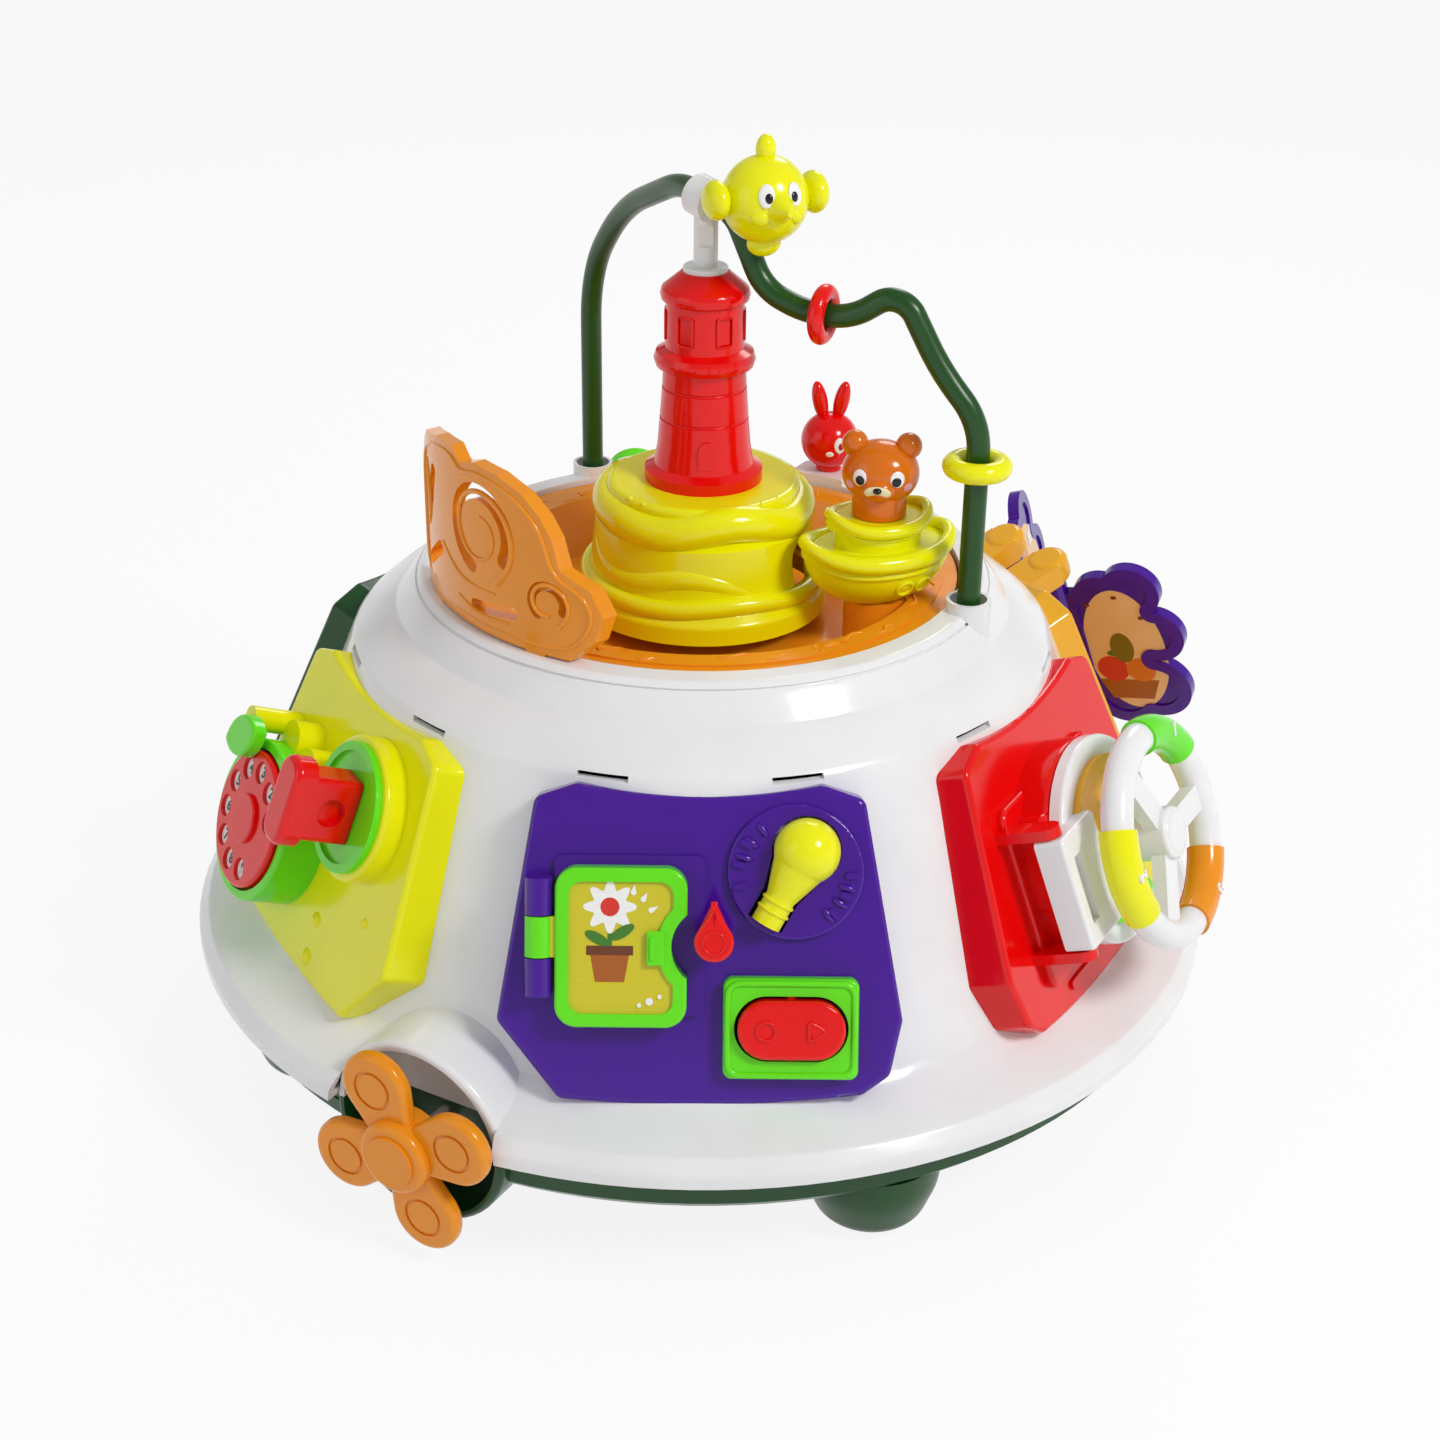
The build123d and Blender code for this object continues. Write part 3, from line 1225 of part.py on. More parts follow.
def panel_front():
    panel = panel_tray(panel_outline(left_cut=True), "panel_front")
    panel += [
        rounded_slab(DOOR_PLATE_X, DOOR_PLATE_Y, (-PANEL_WALL / 2, PLATE_TOP), DOOR_PLATE_ROUND),
        hinge_barrel(BARREL_UPPER_Y),
        hinge_barrel(BARREL_LOWER_Y),
        round_rod(LATCH_PLACE, BARREL_RADIUS, -PANEL_WALL / 2, LATCH_BACK - END_PLAY),
        round_rod(LATCH_PLACE, LATCH_POST_RADIUS, 0, LATCH_BACK + LATCH_THICKNESS),
        round_rod(BULB_DISC_PLACE, BULB_DISC_RADIUS, -PANEL_WALL / 2, BULB_DISC_RISE, BULB_DISC_ROUND),
    ]
    panel += [bulb_ray(turn) for turn in RAY_TURNS]
    panel -= [
        bulb_frame() * Pos(0, 0, -PANEL_WALL - PAST) * extrude(bulb_flat(BULB_GAP), PANEL_DEPTH),
        rocker_blank(ROCKER_GAP, -PANEL_WALL - PAST, PANEL_WALL),
        pin_bore(DOOR_HINGE_X, DOOR_HINGE_RISE, PIN_RADIUS, *door_pin_ends()),
        slab((DOOR_HINGE_X - BARREL_RADIUS - PAST, DOOR_HINGE_X + BARREL_RADIUS + DOOR_LIFT),
             KNUCKLE_Y, (0, DOOR_FACE)),
    ]
    return panel + bulb_bridge()


def door_pin_ends():
    return BARREL_LOWER_Y[0] + PAST, BARREL_UPPER_Y[1] - PAST


def door_pin():
    return rod_along_y(DOOR_HINGE_X, DOOR_HINGE_RISE, PIN_RADIUS, door_pin_ends())


def door():
    panel = rounded_slab(DOOR_X, DOOR_Y, (DOOR_BACK, DOOR_FACE), DOOR_CORNER, BLADE_ROUND / 2)
    inner_x = (DOOR_X[0] + DOOR_FRAME, DOOR_X[1] - DOOR_FRAME)
    inner_y = (DOOR_Y[0] + DOOR_FRAME, DOOR_Y[1] - DOOR_FRAME)
    recess = round_rod(DOOR_RECESS_PLACE, DOOR_RECESS_RADIUS, 0, DOOR_FACE + PAST)
    inset = rounded_slab(inner_x, inner_y, (DOOR_FACE - DOOR_INSET_DEPTH, DOOR_FACE + PAST), DOOR_FRAME)
    inset -= round_rod(DOOR_RECESS_PLACE, DOOR_RECESS_RADIUS + DOOR_FRAME, 0, DOOR_FACE + 2)
    arm_z = (DOOR_HINGE_RISE - BARREL_RADIUS / 2, DOOR_HINGE_RISE + BARREL_RADIUS / 2)
    arm = slab((DOOR_HINGE_X, DOOR_X[0] + PAST), KNUCKLE_Y, arm_z)
    knuckle = rod_along_y(DOOR_HINGE_X, DOOR_HINGE_RISE, BARREL_RADIUS, KNUCKLE_Y)
    solid = panel - [recess, inset] + [arm, knuckle]
    return solid - pin_bore(DOOR_HINGE_X, DOOR_HINGE_RISE, PIN_RADIUS + RUNNING_FIT, *DOOR_Y)


def door_latch():
    tip_y = LATCH_PLACE[1] + LATCH_TIP - LATCH_TIP_RADIUS
    tip = Pos(LATCH_PLACE[0], tip_y) * Circle(LATCH_TIP_RADIUS)
    root = Pos(*LATCH_PLACE) * Circle(LATCH_RADIUS)
    drop = extrude(Pos(0, 0, LATCH_BACK) * make_hull(tip.edges() + root.edges()), LATCH_THICKNESS)
    drop = fillet(top_edges(drop), LATCH_ROUND)
    bore_top = LATCH_BACK + LATCH_THICKNESS + PAST
    return drop - round_rod(LATCH_PLACE, LATCH_POST_RADIUS + RUNNING_FIT, 0, bore_top)


def bulb_button():
    globe = Sphere(BULB_GLOBE_RADIUS)
    middle = (BULB_NECK_START + BULB_CAP_START) / 2
    neck = Pos(0, -middle, 0) * Rot(90, 0, 0) * Cone(
        BULB_NECK_START_HALF, BULB_CAP_WIDTH / 2, BULB_CAP_START - BULB_NECK_START
    )
    cap = rod_along_y(0, 0, BULB_CAP_WIDTH / 2, (-BULB_CAP_START - BULB_CAP_LENGTH, -BULB_CAP_START))
    ridges = [
        Pos(0, -BULB_CAP_START - BULB_CAP_LENGTH * (number + 0.5) / BULB_CAP_GROOVES, 0)
        * Rot(90, 0, 0)
        * Torus(BULB_CAP_WIDTH / 2, (BULB_NECK_WIDTH - BULB_CAP_WIDTH) / 2)
        for number in range(BULB_CAP_GROOVES)
    ]
    body = Pos(0, 0, BULB_BACK) * (globe + [neck, cap] + ridges[:-1])
    body &= slab((-PANEL_DEPTH, PANEL_DEPTH), (-PANEL_DEPTH, PANEL_DEPTH), (0, PANEL_DEPTH))
    stem_at = bulb_stem_place()
    return bulb_frame() * body + round_rod(stem_at, BULB_STEM_RADIUS, -BULB_STEM_LENGTH, BULB_BACK)


def rocker_frame():
    frame = rounded_slab(
        ROCKER_FRAME_X, ROCKER_FRAME_Y, (0, ROCKER_FRAME_RISE), ROCKER_FRAME_ROUND, ROCKER_ROUND
    )
    x, y = ROCKER_CENTRE
    reach = ROCKER_SIZE[1] / 2 + ROCKER_GAP + ROCKER_PIN_REACH
    bore = rod_along_y(x, ROCKER_PIVOT_H, PIN_RADIUS + RUNNING_FIT, (y - reach, y + reach))
    return frame - [rocker_blank(ROCKER_GAP, -PAST, ROCKER_FRAME_RISE + PAST), bore]


def rocker():
    body = rocker_blank(0, -ROCKER_BACK, ROCKER_RISE)
    body = fillet(top_edges(body), ROCKER_ROUND)
    body -= rocker_blank(-ROCKER_SHELL, -ROCKER_BACK - PAST, -ROCKER_SHELL)
    x, y = ROCKER_CENTRE
    reach = ROCKER_SIZE[1] / 2 + ROCKER_GAP + ROCKER_PIN_REACH - END_PLAY
    body += rod_along_y(x, ROCKER_PIVOT_H, PIN_RADIUS, (y - reach, y + reach))
    sign_low, sign_top = ROCKER_RISE - ROCKER_SHELL / 2, ROCKER_RISE + ROCKER_SIGN_RISE
    ring_spot = (x - ROCKER_SIGN_X, y)
    outer, inner = ROCKER_RING_RADII
    ring = round_rod(ring_spot, outer, sign_low, sign_top)
    ring -= round_rod(ring_spot, inner, ROCKER_RISE, ROCKER_RISE + PAST)
    arrow = extrude(RegularPolygon(ROCKER_ARROW_RADIUS, 3), sign_top - sign_low)
    arrow = Pos(x + ROCKER_SIGN_X, y, sign_low) * Rot(0, 0, -90) * arrow
    return body + [ring, arrow]


# Front left panel
def drop_relief(x, y, radius):
    # Shallow bead raised from the face, cut off inside the wall
    bead = Pos(x, y, -DROP_SINK * radius) * Sphere(radius)
    return bead & round_rod((x, y), radius, -PANEL_WALL / 2, radius)


def panel_front_left():
    panel = panel_tray(panel_outline(right_cut=True), "panel_front_left")
    panel += [
        round_rod(DIAL_PLACE, DIAL_SEAT_RADIUS, -PANEL_WALL / 2, DIAL_SEAT_RISE),
        round_rod(BOSS_PLACE, BOSS_RADIUS, -PANEL_WALL / 2, BOSS_RISE, BOSS_ROUND),
        round_rod(LEAF_STALK_PLACE, LEAF_STALK_RADIUS, -PANEL_WALL / 2, LEAF_BASE),
    ]
    panel += [round_rod(spot, CROWN_RADIUS, -PANEL_WALL / 2, CROWN_HEIGHT) for spot in CROWN_PLACES]
    panel += [drop_relief(*drop) for drop in DROPS]
    panel -= [
        round_rod(DIAL_PLACE, WHEEL_STEM_RADIUS + RUNNING_FIT, -PANEL_DEPTH, DIAL_SEAT_RISE + PAST),
        round_rod(BOSS_PLACE, PADDLE_STEM_RADIUS + RUNNING_FIT, -PANEL_DEPTH, BOSS_RISE + PAST),
    ]
    return panel


def dial_ring():
    ring = round_rod(DIAL_PLACE, DIAL_RING_RADIUS, 0, DIAL_RING_TOP, DIAL_ROUND)
    ring -= round_rod(DIAL_PLACE, DIAL_RING_INNER, DIAL_SEAT_RISE, DIAL_RING_TOP + PAST)
    ring -= round_rod(DIAL_PLACE, DIAL_SEAT_RADIUS, -1, DIAL_SEAT_RISE)
    blockers = [round_rod(spot, CROWN_RADIUS, -1, CROWN_HEIGHT) for spot in CROWN_PLACES]
    blockers.append(round_rod(LEAF_STALK_PLACE, LEAF_STALK_RADIUS, -1, LEAF_BASE))
    blockers.append(round_rod(BOSS_PLACE, BOSS_RADIUS, -1, BOSS_RISE))
    return ring - blockers


def dial_wheel():
    back = DIAL_SEAT_RISE + END_PLAY
    wheel = round_rod(DIAL_PLACE, DIAL_RADIUS, back, DIAL_TOP, DIAL_ROUND)
    holes = []
    for number in range(DIAL_HOLE_COUNT):
        angle = radians(DIAL_HOLE_START + number * DIAL_HOLE_PITCH)
        spot = (DIAL_PLACE[0] + DIAL_HOLE_PLACE * cos(angle), DIAL_PLACE[1] + DIAL_HOLE_PLACE * sin(angle))
        holes.append(round_rod(spot, DIAL_HOLE_RADIUS, DIAL_TOP - DIAL_HOLE_DEPTH, DIAL_TOP + PAST))
    wheel -= holes
    wheel += round_rod(DIAL_PLACE, DIAL_HUB_RADIUS, back, DIAL_TOP + DIAL_HUB_RISE, DIAL_HUB_RISE / 2)
    stem = round_rod(DIAL_PLACE, WHEEL_STEM_RADIUS, -PANEL_WALL - CATCH_THICKNESS, back)
    catch = round_rod(
        DIAL_PLACE, WHEEL_STEM_RADIUS + 2, -PANEL_WALL - CATCH_THICKNESS - END_PLAY, -PANEL_WALL - END_PLAY
    )
    return wheel + [stem, catch]


def leaf_outline(length, width):
    tip, side = length / 2, width / 2
    upper = ThreePointArc((-tip, 0), (0, side), (tip, 0))
    lower = ThreePointArc((tip, 0), (0, -side), (-tip, 0))
    return make_face([upper, lower])


def leaf_plate(size, turn, spot, base, thickness):
    body = fillet(top_edges(extrude(leaf_outline(*size), thickness)), thickness / 4)
    return Pos(spot[0], spot[1], base) * Rot(0, 0, turn) * body


def finger_stop():
    return leaf_plate(LEAF_SIZE, LEAF_TURN, LEAF_PLACE, LEAF_BASE, LEAF_THICKNESS)


def paddle_dish():
    dish = round_rod(BOSS_PLACE, DISH_RADIUS, BOSS_RISE, BOSS_RISE + DISH_RISE, DISH_FLOOR / 2)
    hollow_top = BOSS_RISE + DISH_RISE + PAST
    dish -= round_rod(BOSS_PLACE, DISH_RADIUS - DISH_RIM, BOSS_RISE + DISH_FLOOR, hollow_top)
    bore = round_rod(BOSS_PLACE, PADDLE_STEM_RADIUS + RUNNING_FIT, BOSS_RISE - PAST, BOSS_RISE + DISH_RISE)
    return dish - bore


def paddle_knob():
    x, y = BOSS_PLACE
    back = BOSS_RISE + DISH_FLOOR + END_PLAY
    block = rounded_slab(
        (x - PADDLE_BLOCK[0] / 2, x + PADDLE_BLOCK[0] / 2),
        (y - PADDLE_BLOCK[1] / 2, y + PADDLE_BLOCK[1] / 2),
        (back, PADDLE_BLOCK_TOP),
        PADDLE_ROUND,
    )
    socket_z = (back + PADDLE_BLOCK_TOP) / 2
    pocket = Pos(x + PADDLE_BLOCK[0] / 2, y, socket_z) * Rot(0, 90, 0) * Cylinder(
        PADDLE_SOCKET_RADIUS, 2 * PADDLE_SOCKET_DEPTH
    )
    top = rounded_slab(
        (x - PADDLE_SIZE[0] / 2, x + PADDLE_SIZE[0] / 2),
        (y - PADDLE_SIZE[1] / 2, y + PADDLE_SIZE[1] / 2),
        (PADDLE_BLOCK_TOP - PAST, PADDLE_BLOCK_TOP + PADDLE_SIZE[2]),
        PADDLE_SIZE[0] / 2 - DISH_FLOOR,
        PADDLE_ROUND,
    )
    stem = round_rod(BOSS_PLACE, PADDLE_STEM_RADIUS, -PANEL_WALL - CATCH_THICKNESS, back)
    catch_top = -PANEL_WALL - END_PLAY
    catch_radius = PADDLE_STEM_RADIUS + CATCH_THICKNESS
    catch = round_rod(BOSS_PLACE, catch_radius, catch_top - CATCH_THICKNESS, catch_top)
    return block - pocket + [top, stem, catch]


# Front right panel
COVER_BACK = HOUSING_RISE + COVER_GAP
COVER_TOP = COVER_BACK + COVER_THICKNESS


def panel_front_right():
    panel = panel_tray(panel_outline())
    step_x = (HOUSING_X[0] - HOUSING_STEP, HOUSING_X[1])
    step_y = (HOUSING_Y[0] - HOUSING_STEP, HOUSING_Y[1] + HOUSING_STEP)
    housing = rounded_slab(HOUSING_X, HOUSING_Y, (0, HOUSING_RISE), DOOR_FRAME, HOUSING_ROUND)
    panel += [
        rounded_slab(step_x, step_y, (-PANEL_WALL / 2, HOUSING_STEP_RISE), DOOR_FRAME, BOSS_ROUND),
        round_rod(WHEEL_PLACE, HOUSING_DISC_RADIUS, -PANEL_WALL / 2, HOUSING_RISE, HOUSING_ROUND),
        housing,
    ]
    for y_low, y_high in (COVER_LUG_Y[:2], COVER_LUG_Y[2:]):
        lug = rod_along_y(COVER_HINGE_X, COVER_HINGE_H, COVER_LUG_RADIUS, (y_low, y_high))
        across = (COVER_HINGE_X - COVER_LUG_RADIUS, COVER_HINGE_X + COVER_LUG_RADIUS)
        web = slab(across, (y_low, y_high), (0, COVER_HINGE_H))
        panel += [lug, web]
    for x, y in BAR_RELIEFS:
        width, depth, rise = BAR_RELIEF_SIZE
        across, along = (x - width / 2, x + width / 2), (y - depth / 2, y + depth / 2)
        panel += rounded_slab(across, along, (-PAST, rise), BAR_RELIEF_CORNER)
    panel -= round_rod(WHEEL_PLACE, SECTOR_RADIUS, HOUSING_RISE - SECTOR_WELL_DEPTH, HOUSING_RISE + PAST)
    ends = (COVER_LUG_Y[0] + PAST, COVER_LUG_Y[3] - PAST)
    return panel - pin_bore(COVER_HINGE_X, COVER_HINGE_H, COVER_PIN_RADIUS, *ends)


def wheel_base():
    disc = round_rod(WHEEL_PLACE, COVER_RADIUS, COVER_BACK, COVER_TOP, COVER_ROUND)
    heights = (COVER_BACK, COVER_BLOCK_TOP)
    block = rounded_slab(COVER_BLOCK_X, COVER_BLOCK_Y, heights, COVER_CORNER, COVER_ROUND)
    slot = slab(COVER_SLOT_X, COVER_SLOT_Y, (COVER_BLOCK_TOP - COVER_SLOT_DEPTH, COVER_BLOCK_TOP + PAST))
    base = disc + block - slot
    base -= pin_bore(COVER_HINGE_X, COVER_HINGE_H, COVER_PIN_RADIUS + RUNNING_FIT, *COVER_BLOCK_Y)
    floor = COVER_BACK + WHEEL_STEM_FLOOR
    return base - round_rod(WHEEL_PLACE, WHEEL_STEM_RADIUS + RUNNING_FIT, floor, COVER_TOP + PAST)


def wheel_pin():
    ends = (COVER_LUG_Y[0] + PAST, COVER_LUG_Y[3] - PAST)
    return rod_along_y(COVER_HINGE_X, COVER_HINGE_H, COVER_PIN_RADIUS, ends)


def sector_disc():
    disc = round_rod(WHEEL_PLACE, SECTOR_RADIUS, COVER_TOP, COVER_TOP + SECTOR_THICKNESS)
    disc -= rounded_slab(COVER_BLOCK_X, COVER_BLOCK_Y, (COVER_BACK, COVER_BLOCK_TOP + PAST), COVER_CORNER)
    return disc - round_rod(WHEEL_PLACE, WHEEL_STEM_RADIUS + RUNNING_FIT, 0, COVER_BLOCK_TOP + PAST)


def grip_arcs(section, z):
    arcs = []
    for turn in GRIP_TURNS:
        path = Pos(WHEEL_PLACE[0], WHEEL_PLACE[1], z) * CenterArc((0, 0), WHEEL_RIM_RADIUS, turn, GRIP_SPAN)
        profile = Plane(origin=path @ 0, z_dir=path % 0) * Circle(section)
        arcs.append(sweep(profile, path))
    return arcs


def steering_wheel():
    back = COVER_TOP + SECTOR_THICKNESS + END_PLAY
    rim = Pos(WHEEL_PLACE[0], WHEEL_PLACE[1], WHEEL_RIM_H) * Torus(WHEEL_RIM_RADIUS, WHEEL_RIM_SECTION)
    hub = round_rod(WHEEL_PLACE, WHEEL_HUB_RADIUS, back, WHEEL_HUB_TOP, COVER_ROUND)
    spoke = slab(
        (0, WHEEL_RIM_RADIUS),
        (-WHEEL_SPOKE_WIDTH / 2, WHEEL_SPOKE_WIDTH / 2),
        (WHEEL_RIM_H - WHEEL_SPOKE_THICKNESS / 2, WHEEL_RIM_H + WHEEL_SPOKE_THICKNESS / 2),
    )
    spokes = [Pos(WHEEL_PLACE[0], WHEEL_PLACE[1], 0) * Rot(0, 0, turn) * spoke for turn in WHEEL_SPOKE_TURNS]
    stem = round_rod(WHEEL_PLACE, WHEEL_STEM_RADIUS, COVER_BACK + WHEEL_STEM_FLOOR + END_PLAY, back)
    wheel = rim + [hub, stem] + spokes
    return wheel - grip_arcs(GRIP_SECTION, WHEEL_RIM_H)


def wheel_grips():
    grips = grip_arcs(GRIP_SECTION, WHEEL_RIM_H)
    return Compound(children=grips)


# Back right panel
def page_pin_ends():
    return PAGE_LUG_LOW_Y[0] + PAGE_PIN_SHORT, PAGE_LUG_Y[1] - PAGE_PIN_SHORT


def panel_back_right():
    panel = panel_tray(panel_outline())
    panel += rounded_slab(SPINE_X, SPINE_Y, (-PANEL_WALL / 2, SPINE_RISE), SPINE_ROUND, SPINE_ROUND / 2)
    for side in (-1, 1):
        x = side * PAGE_HINGE_X
        for y_range in (PAGE_LUG_Y, PAGE_LUG_LOW_Y):
            rod = rod_along_y(x, PAGE_HINGE_H, PAGE_LUG_RADIUS, y_range)
            rod = fillet(rod.edges().filter_by(GeomType.CIRCLE), SPINE_ROUND)
            across = (x - PAGE_LUG_RADIUS, x + PAGE_LUG_RADIUS)
            along = (y_range[0] + PAST, y_range[1] - PAST)
            web = slab(across, along, (-PAST, PAGE_HINGE_H))
            panel += [rod, web]
        panel -= pin_bore(x, PAGE_HINGE_H, PAGE_PIN_RADIUS, *page_pin_ends())
    return panel


def page_pins():
    pins = [
        rod_along_y(side * PAGE_HINGE_X, PAGE_HINGE_H, PAGE_PIN_RADIUS, page_pin_ends())
        for side in (-1, 1)
    ]
    return Compound(children=pins)


def page_blank():
    flat = Pos((PAGE_BLOCK_X[0] + PAGE_BLOCK_X[1]) / 2, (PAGE_BLOCK_Y[0] + PAGE_BLOCK_Y[1]) / 2) * Rectangle(
        PAGE_BLOCK_X[1] - PAGE_BLOCK_X[0], PAGE_BLOCK_Y[1] - PAGE_BLOCK_Y[0]
    )
    for x, y, radius in PAGE_LOBES:
        flat += Pos(x, y) * Circle(radius)
    return flat


def page():
    # Lies flat: x away from the hinge, y along it, a sunk picture field on both sides
    plate = Pos(0, 0, -PAGE_THICKNESS / 2) * extrude(page_blank(), PAGE_THICKNESS)
    field = extrude(offset(page_blank(), -PAGE_INSET_MARGIN), PAGE_THICKNESS)
    sink = PAGE_THICKNESS / 2 - PAGE_INSET_DEPTH
    fields = [Pos(0, 0, sink) * field, Pos(0, 0, -sink - PAGE_THICKNESS) * field]
    knuckle = rod_along_y(0, 0, PAGE_KNUCKLE_RADIUS, PAGE_KNUCKLE_Y)
    web = slab((0, PAGE_BLOCK_X[0] + 2), PAGE_BLOCK_Y, (-PAGE_THICKNESS / 2, PAGE_THICKNESS / 2))
    solid = plate - fields + [web, knuckle]
    return solid - rod_along_y(0, 0, PAGE_PIN_RADIUS + RUNNING_FIT, (PAGE_LUG_LOW_Y[0], PAGE_LUG_Y[1]))


def page_front():
    return Pos(-PAGE_HINGE_X, 0, PAGE_HINGE_H) * Rot(0, PAGE_FRONT_OPEN, 0) * mirror(page(), Plane.YZ)


def page_rear():
    return Pos(PAGE_HINGE_X, 0, PAGE_HINGE_H) * Rot(0, -PAGE_REAR_OPEN, 0) * page()


# Back panel
def fruit_outline(gap):
    half_x, half_y = FRUIT_HALF_SIZES
    return Pos(*FRUIT_PLACE) * Ellipse(half_x + gap, half_y + gap)


def panel_back():
    panel = panel_tray(panel_outline())
    collar = Pos(0, 0, -PANEL_WALL / 2) * extrude(
        fruit_outline(FRUIT_GAP + FRUIT_COLLAR_WALL), FRUIT_COLLAR_RISE + PANEL_WALL / 2
    )
    bore = extrude(fruit_outline(FRUIT_GAP), PANEL_DEPTH)
    hole = round_rod(FRUIT_PLACE, FRUIT_STEM_RADIUS + RUNNING_FIT, -PANEL_DEPTH, PANEL_WALL)
    guide = round_rod(FRUIT_PLACE, FRUIT_STEM_RADIUS + CATCH_THICKNESS, -PANEL_WALL - CATCH_THICKNESS, -1)
    return panel + collar + guide - [bore, hole]


def fruit_button():
    low = FRUIT_TRAVEL + FRUIT_BACK_GAP
    body = Pos(0, 0, low) * extrude(fruit_outline(0), FRUIT_SIDE - low)
    half_x, half_y = FRUIT_HALF_SIZES
    crown = Pos(FRUIT_PLACE[0], FRUIT_PLACE[1], FRUIT_SIDE) * ellipsoid((half_x, half_y, FRUIT_CROWN))
    body += crown & slab((-RIM_RADIUS, RIM_RADIUS), (-RIM_RADIUS, RIM_RADIUS), (FRUIT_SIDE, RIM_RADIUS))
    depth = FRUIT_SIDE - FRUIT_SHELL - low + PAST
    hollow = Pos(0, 0, low - PAST) * extrude(fruit_outline(-FRUIT_SHELL), depth)
    stem = round_rod(FRUIT_PLACE, FRUIT_STEM_RADIUS, low - FRUIT_STEM_LENGTH, FRUIT_SIDE)
    return body - hollow + stem


def fruit_leaf():
    leaf = leaf_plate(
        FRUIT_LEAF_SIZE, FRUIT_LEAF_TURN, FRUIT_LEAF_PLACE, FRUIT_LEAF_BASE, FRUIT_LEAF_THICKNESS
    )
    return leaf - fruit_button()


# Back left panel
def key_x(number):
    return (number - (len(KEY_NAMES) - 1) / 2) * KEY_PITCH


def key_blank(number, gap, z_low, z_high):
    x = key_x(number)
    return slab(
        (x - KEY_WIDTH / 2 - gap, x + KEY_WIDTH / 2 + gap), (KEY_Y[0] - gap, KEY_Y[1] + gap), (z_low, z_high)
    )


def panel_back_left():
    panel = panel_tray(panel_outline())
    reach = key_x(len(KEY_NAMES) - 1) + KEY_WIDTH / 2 + KEY_BED_MARGIN
    bed_y = (KEY_Y[0] - KEY_BED_MARGIN, KEY_Y[1] + KEY_BED_MARGIN)
    panel += rounded_slab((-reach, reach), bed_y, (-PANEL_WALL - 3, KEY_BED_RISE), DOOR_FRAME, BOSS_ROUND)
    panel -= [key_blank(number, KEY_GAP, -PANEL_DEPTH, PANEL_DEPTH) for number in range(len(KEY_NAMES))]
    pin = Cylinder(KEY_PIN_RADIUS, 2 * reach - KEY_BED_MARGIN)
    bore = Pos(0, KEY_HINGE_Y, KEY_HINGE_H) * Rot(0, 90, 0) * pin
    return panel - bore


def key_pin():
    reach = key_x(len(KEY_NAMES) - 1) + KEY_WIDTH / 2 + KEY_BED_MARGIN
    pin = Cylinder(KEY_PIN_RADIUS, 2 * reach - KEY_BED_MARGIN)
    return Pos(0, KEY_HINGE_Y, KEY_HINGE_H) * Rot(0, 90, 0) * pin


def key(number):
    body = key_blank(number, 0, -KEY_BACK / 2, KEY_RISE)
    body = fillet(top_edges(body), KEY_ROUND)
    hollow = slab(
        (key_x(number) - KEY_WIDTH / 2 + KEY_SHELL, key_x(number) + KEY_WIDTH / 2 - KEY_SHELL),
        (KEY_Y[0] + KEY_SHELL, KEY_HINGE_Y - KEY_PIN_RADIUS - KEY_SHELL),
        (-KEY_BACK, KEY_RISE - KEY_SHELL),
    )
    bore = Pos(0, KEY_HINGE_Y, KEY_HINGE_H) * Rot(0, 90, 0) * Cylinder(
        KEY_PIN_RADIUS + RUNNING_FIT, 4 * KEY_PITCH + KEY_WIDTH
    )
    return body - [hollow, bore]


# Centre post, turntable and hill
def centre_post():
    post = upright(POST_RADIUS, WELL_FLOOR_Z - DOME_WALL, POST_TOP_Z)
    post += upright(POST_SHOULDER_RADIUS, WELL_FLOOR_Z, POST_SHOULDER_Z)
    post += upright(POST_FLANGE_RADIUS, WELL_FLOOR_Z - DOME_WALL - 3, WELL_FLOOR_Z - DOME_WALL)
    return post - upright(MAST_RADIUS, WELL_FLOOR_Z - DOME_WALL - PAST, POST_TOP_Z + PAST)


def turntable():
    low = POST_SHOULDER_Z + END_PLAY
    points = (
        (POST_RADIUS + RUNNING_FIT, low),
        (BOWL_RADIUS, low),
        (DECK_INNER_RADIUS + TURNTABLE_WALL, DECK_Z - 2 * TURNTABLE_WALL),
        (DECK_RADIUS, DECK_Z - 2 * TURNTABLE_WALL),
        (DECK_RADIUS, DECK_Z - DECK_STEP),
        (DECK_STEP_RADIUS, DECK_Z - DECK_STEP),
        (DECK_STEP_RADIUS, DECK_Z),
        (DECK_INNER_RADIUS, DECK_Z),
        (BOWL_RADIUS - TURNTABLE_WALL, BOWL_FLOOR_Z),
        (HUB_COLLAR_RADIUS, BOWL_FLOOR_Z),
        (HUB_COLLAR_RADIUS, HUB_COLLAR_Z),
        (POST_RADIUS + RUNNING_FIT, HUB_COLLAR_Z),
    )
    table = spun(points, {(DECK_INNER_RADIUS, DECK_Z): TURNTABLE_WALL / 2})
    pad = upright(BOAT_PAD_RADIUS, BOWL_FLOOR_Z - PAST, BOAT_KEEL_Z + TURNTABLE_WALL)
    table += Pos(*place(BOAT_PLACE_RADIUS, BOAT_AZIMUTH, 0)) * pad
    return table - [boat_hull_solid()]


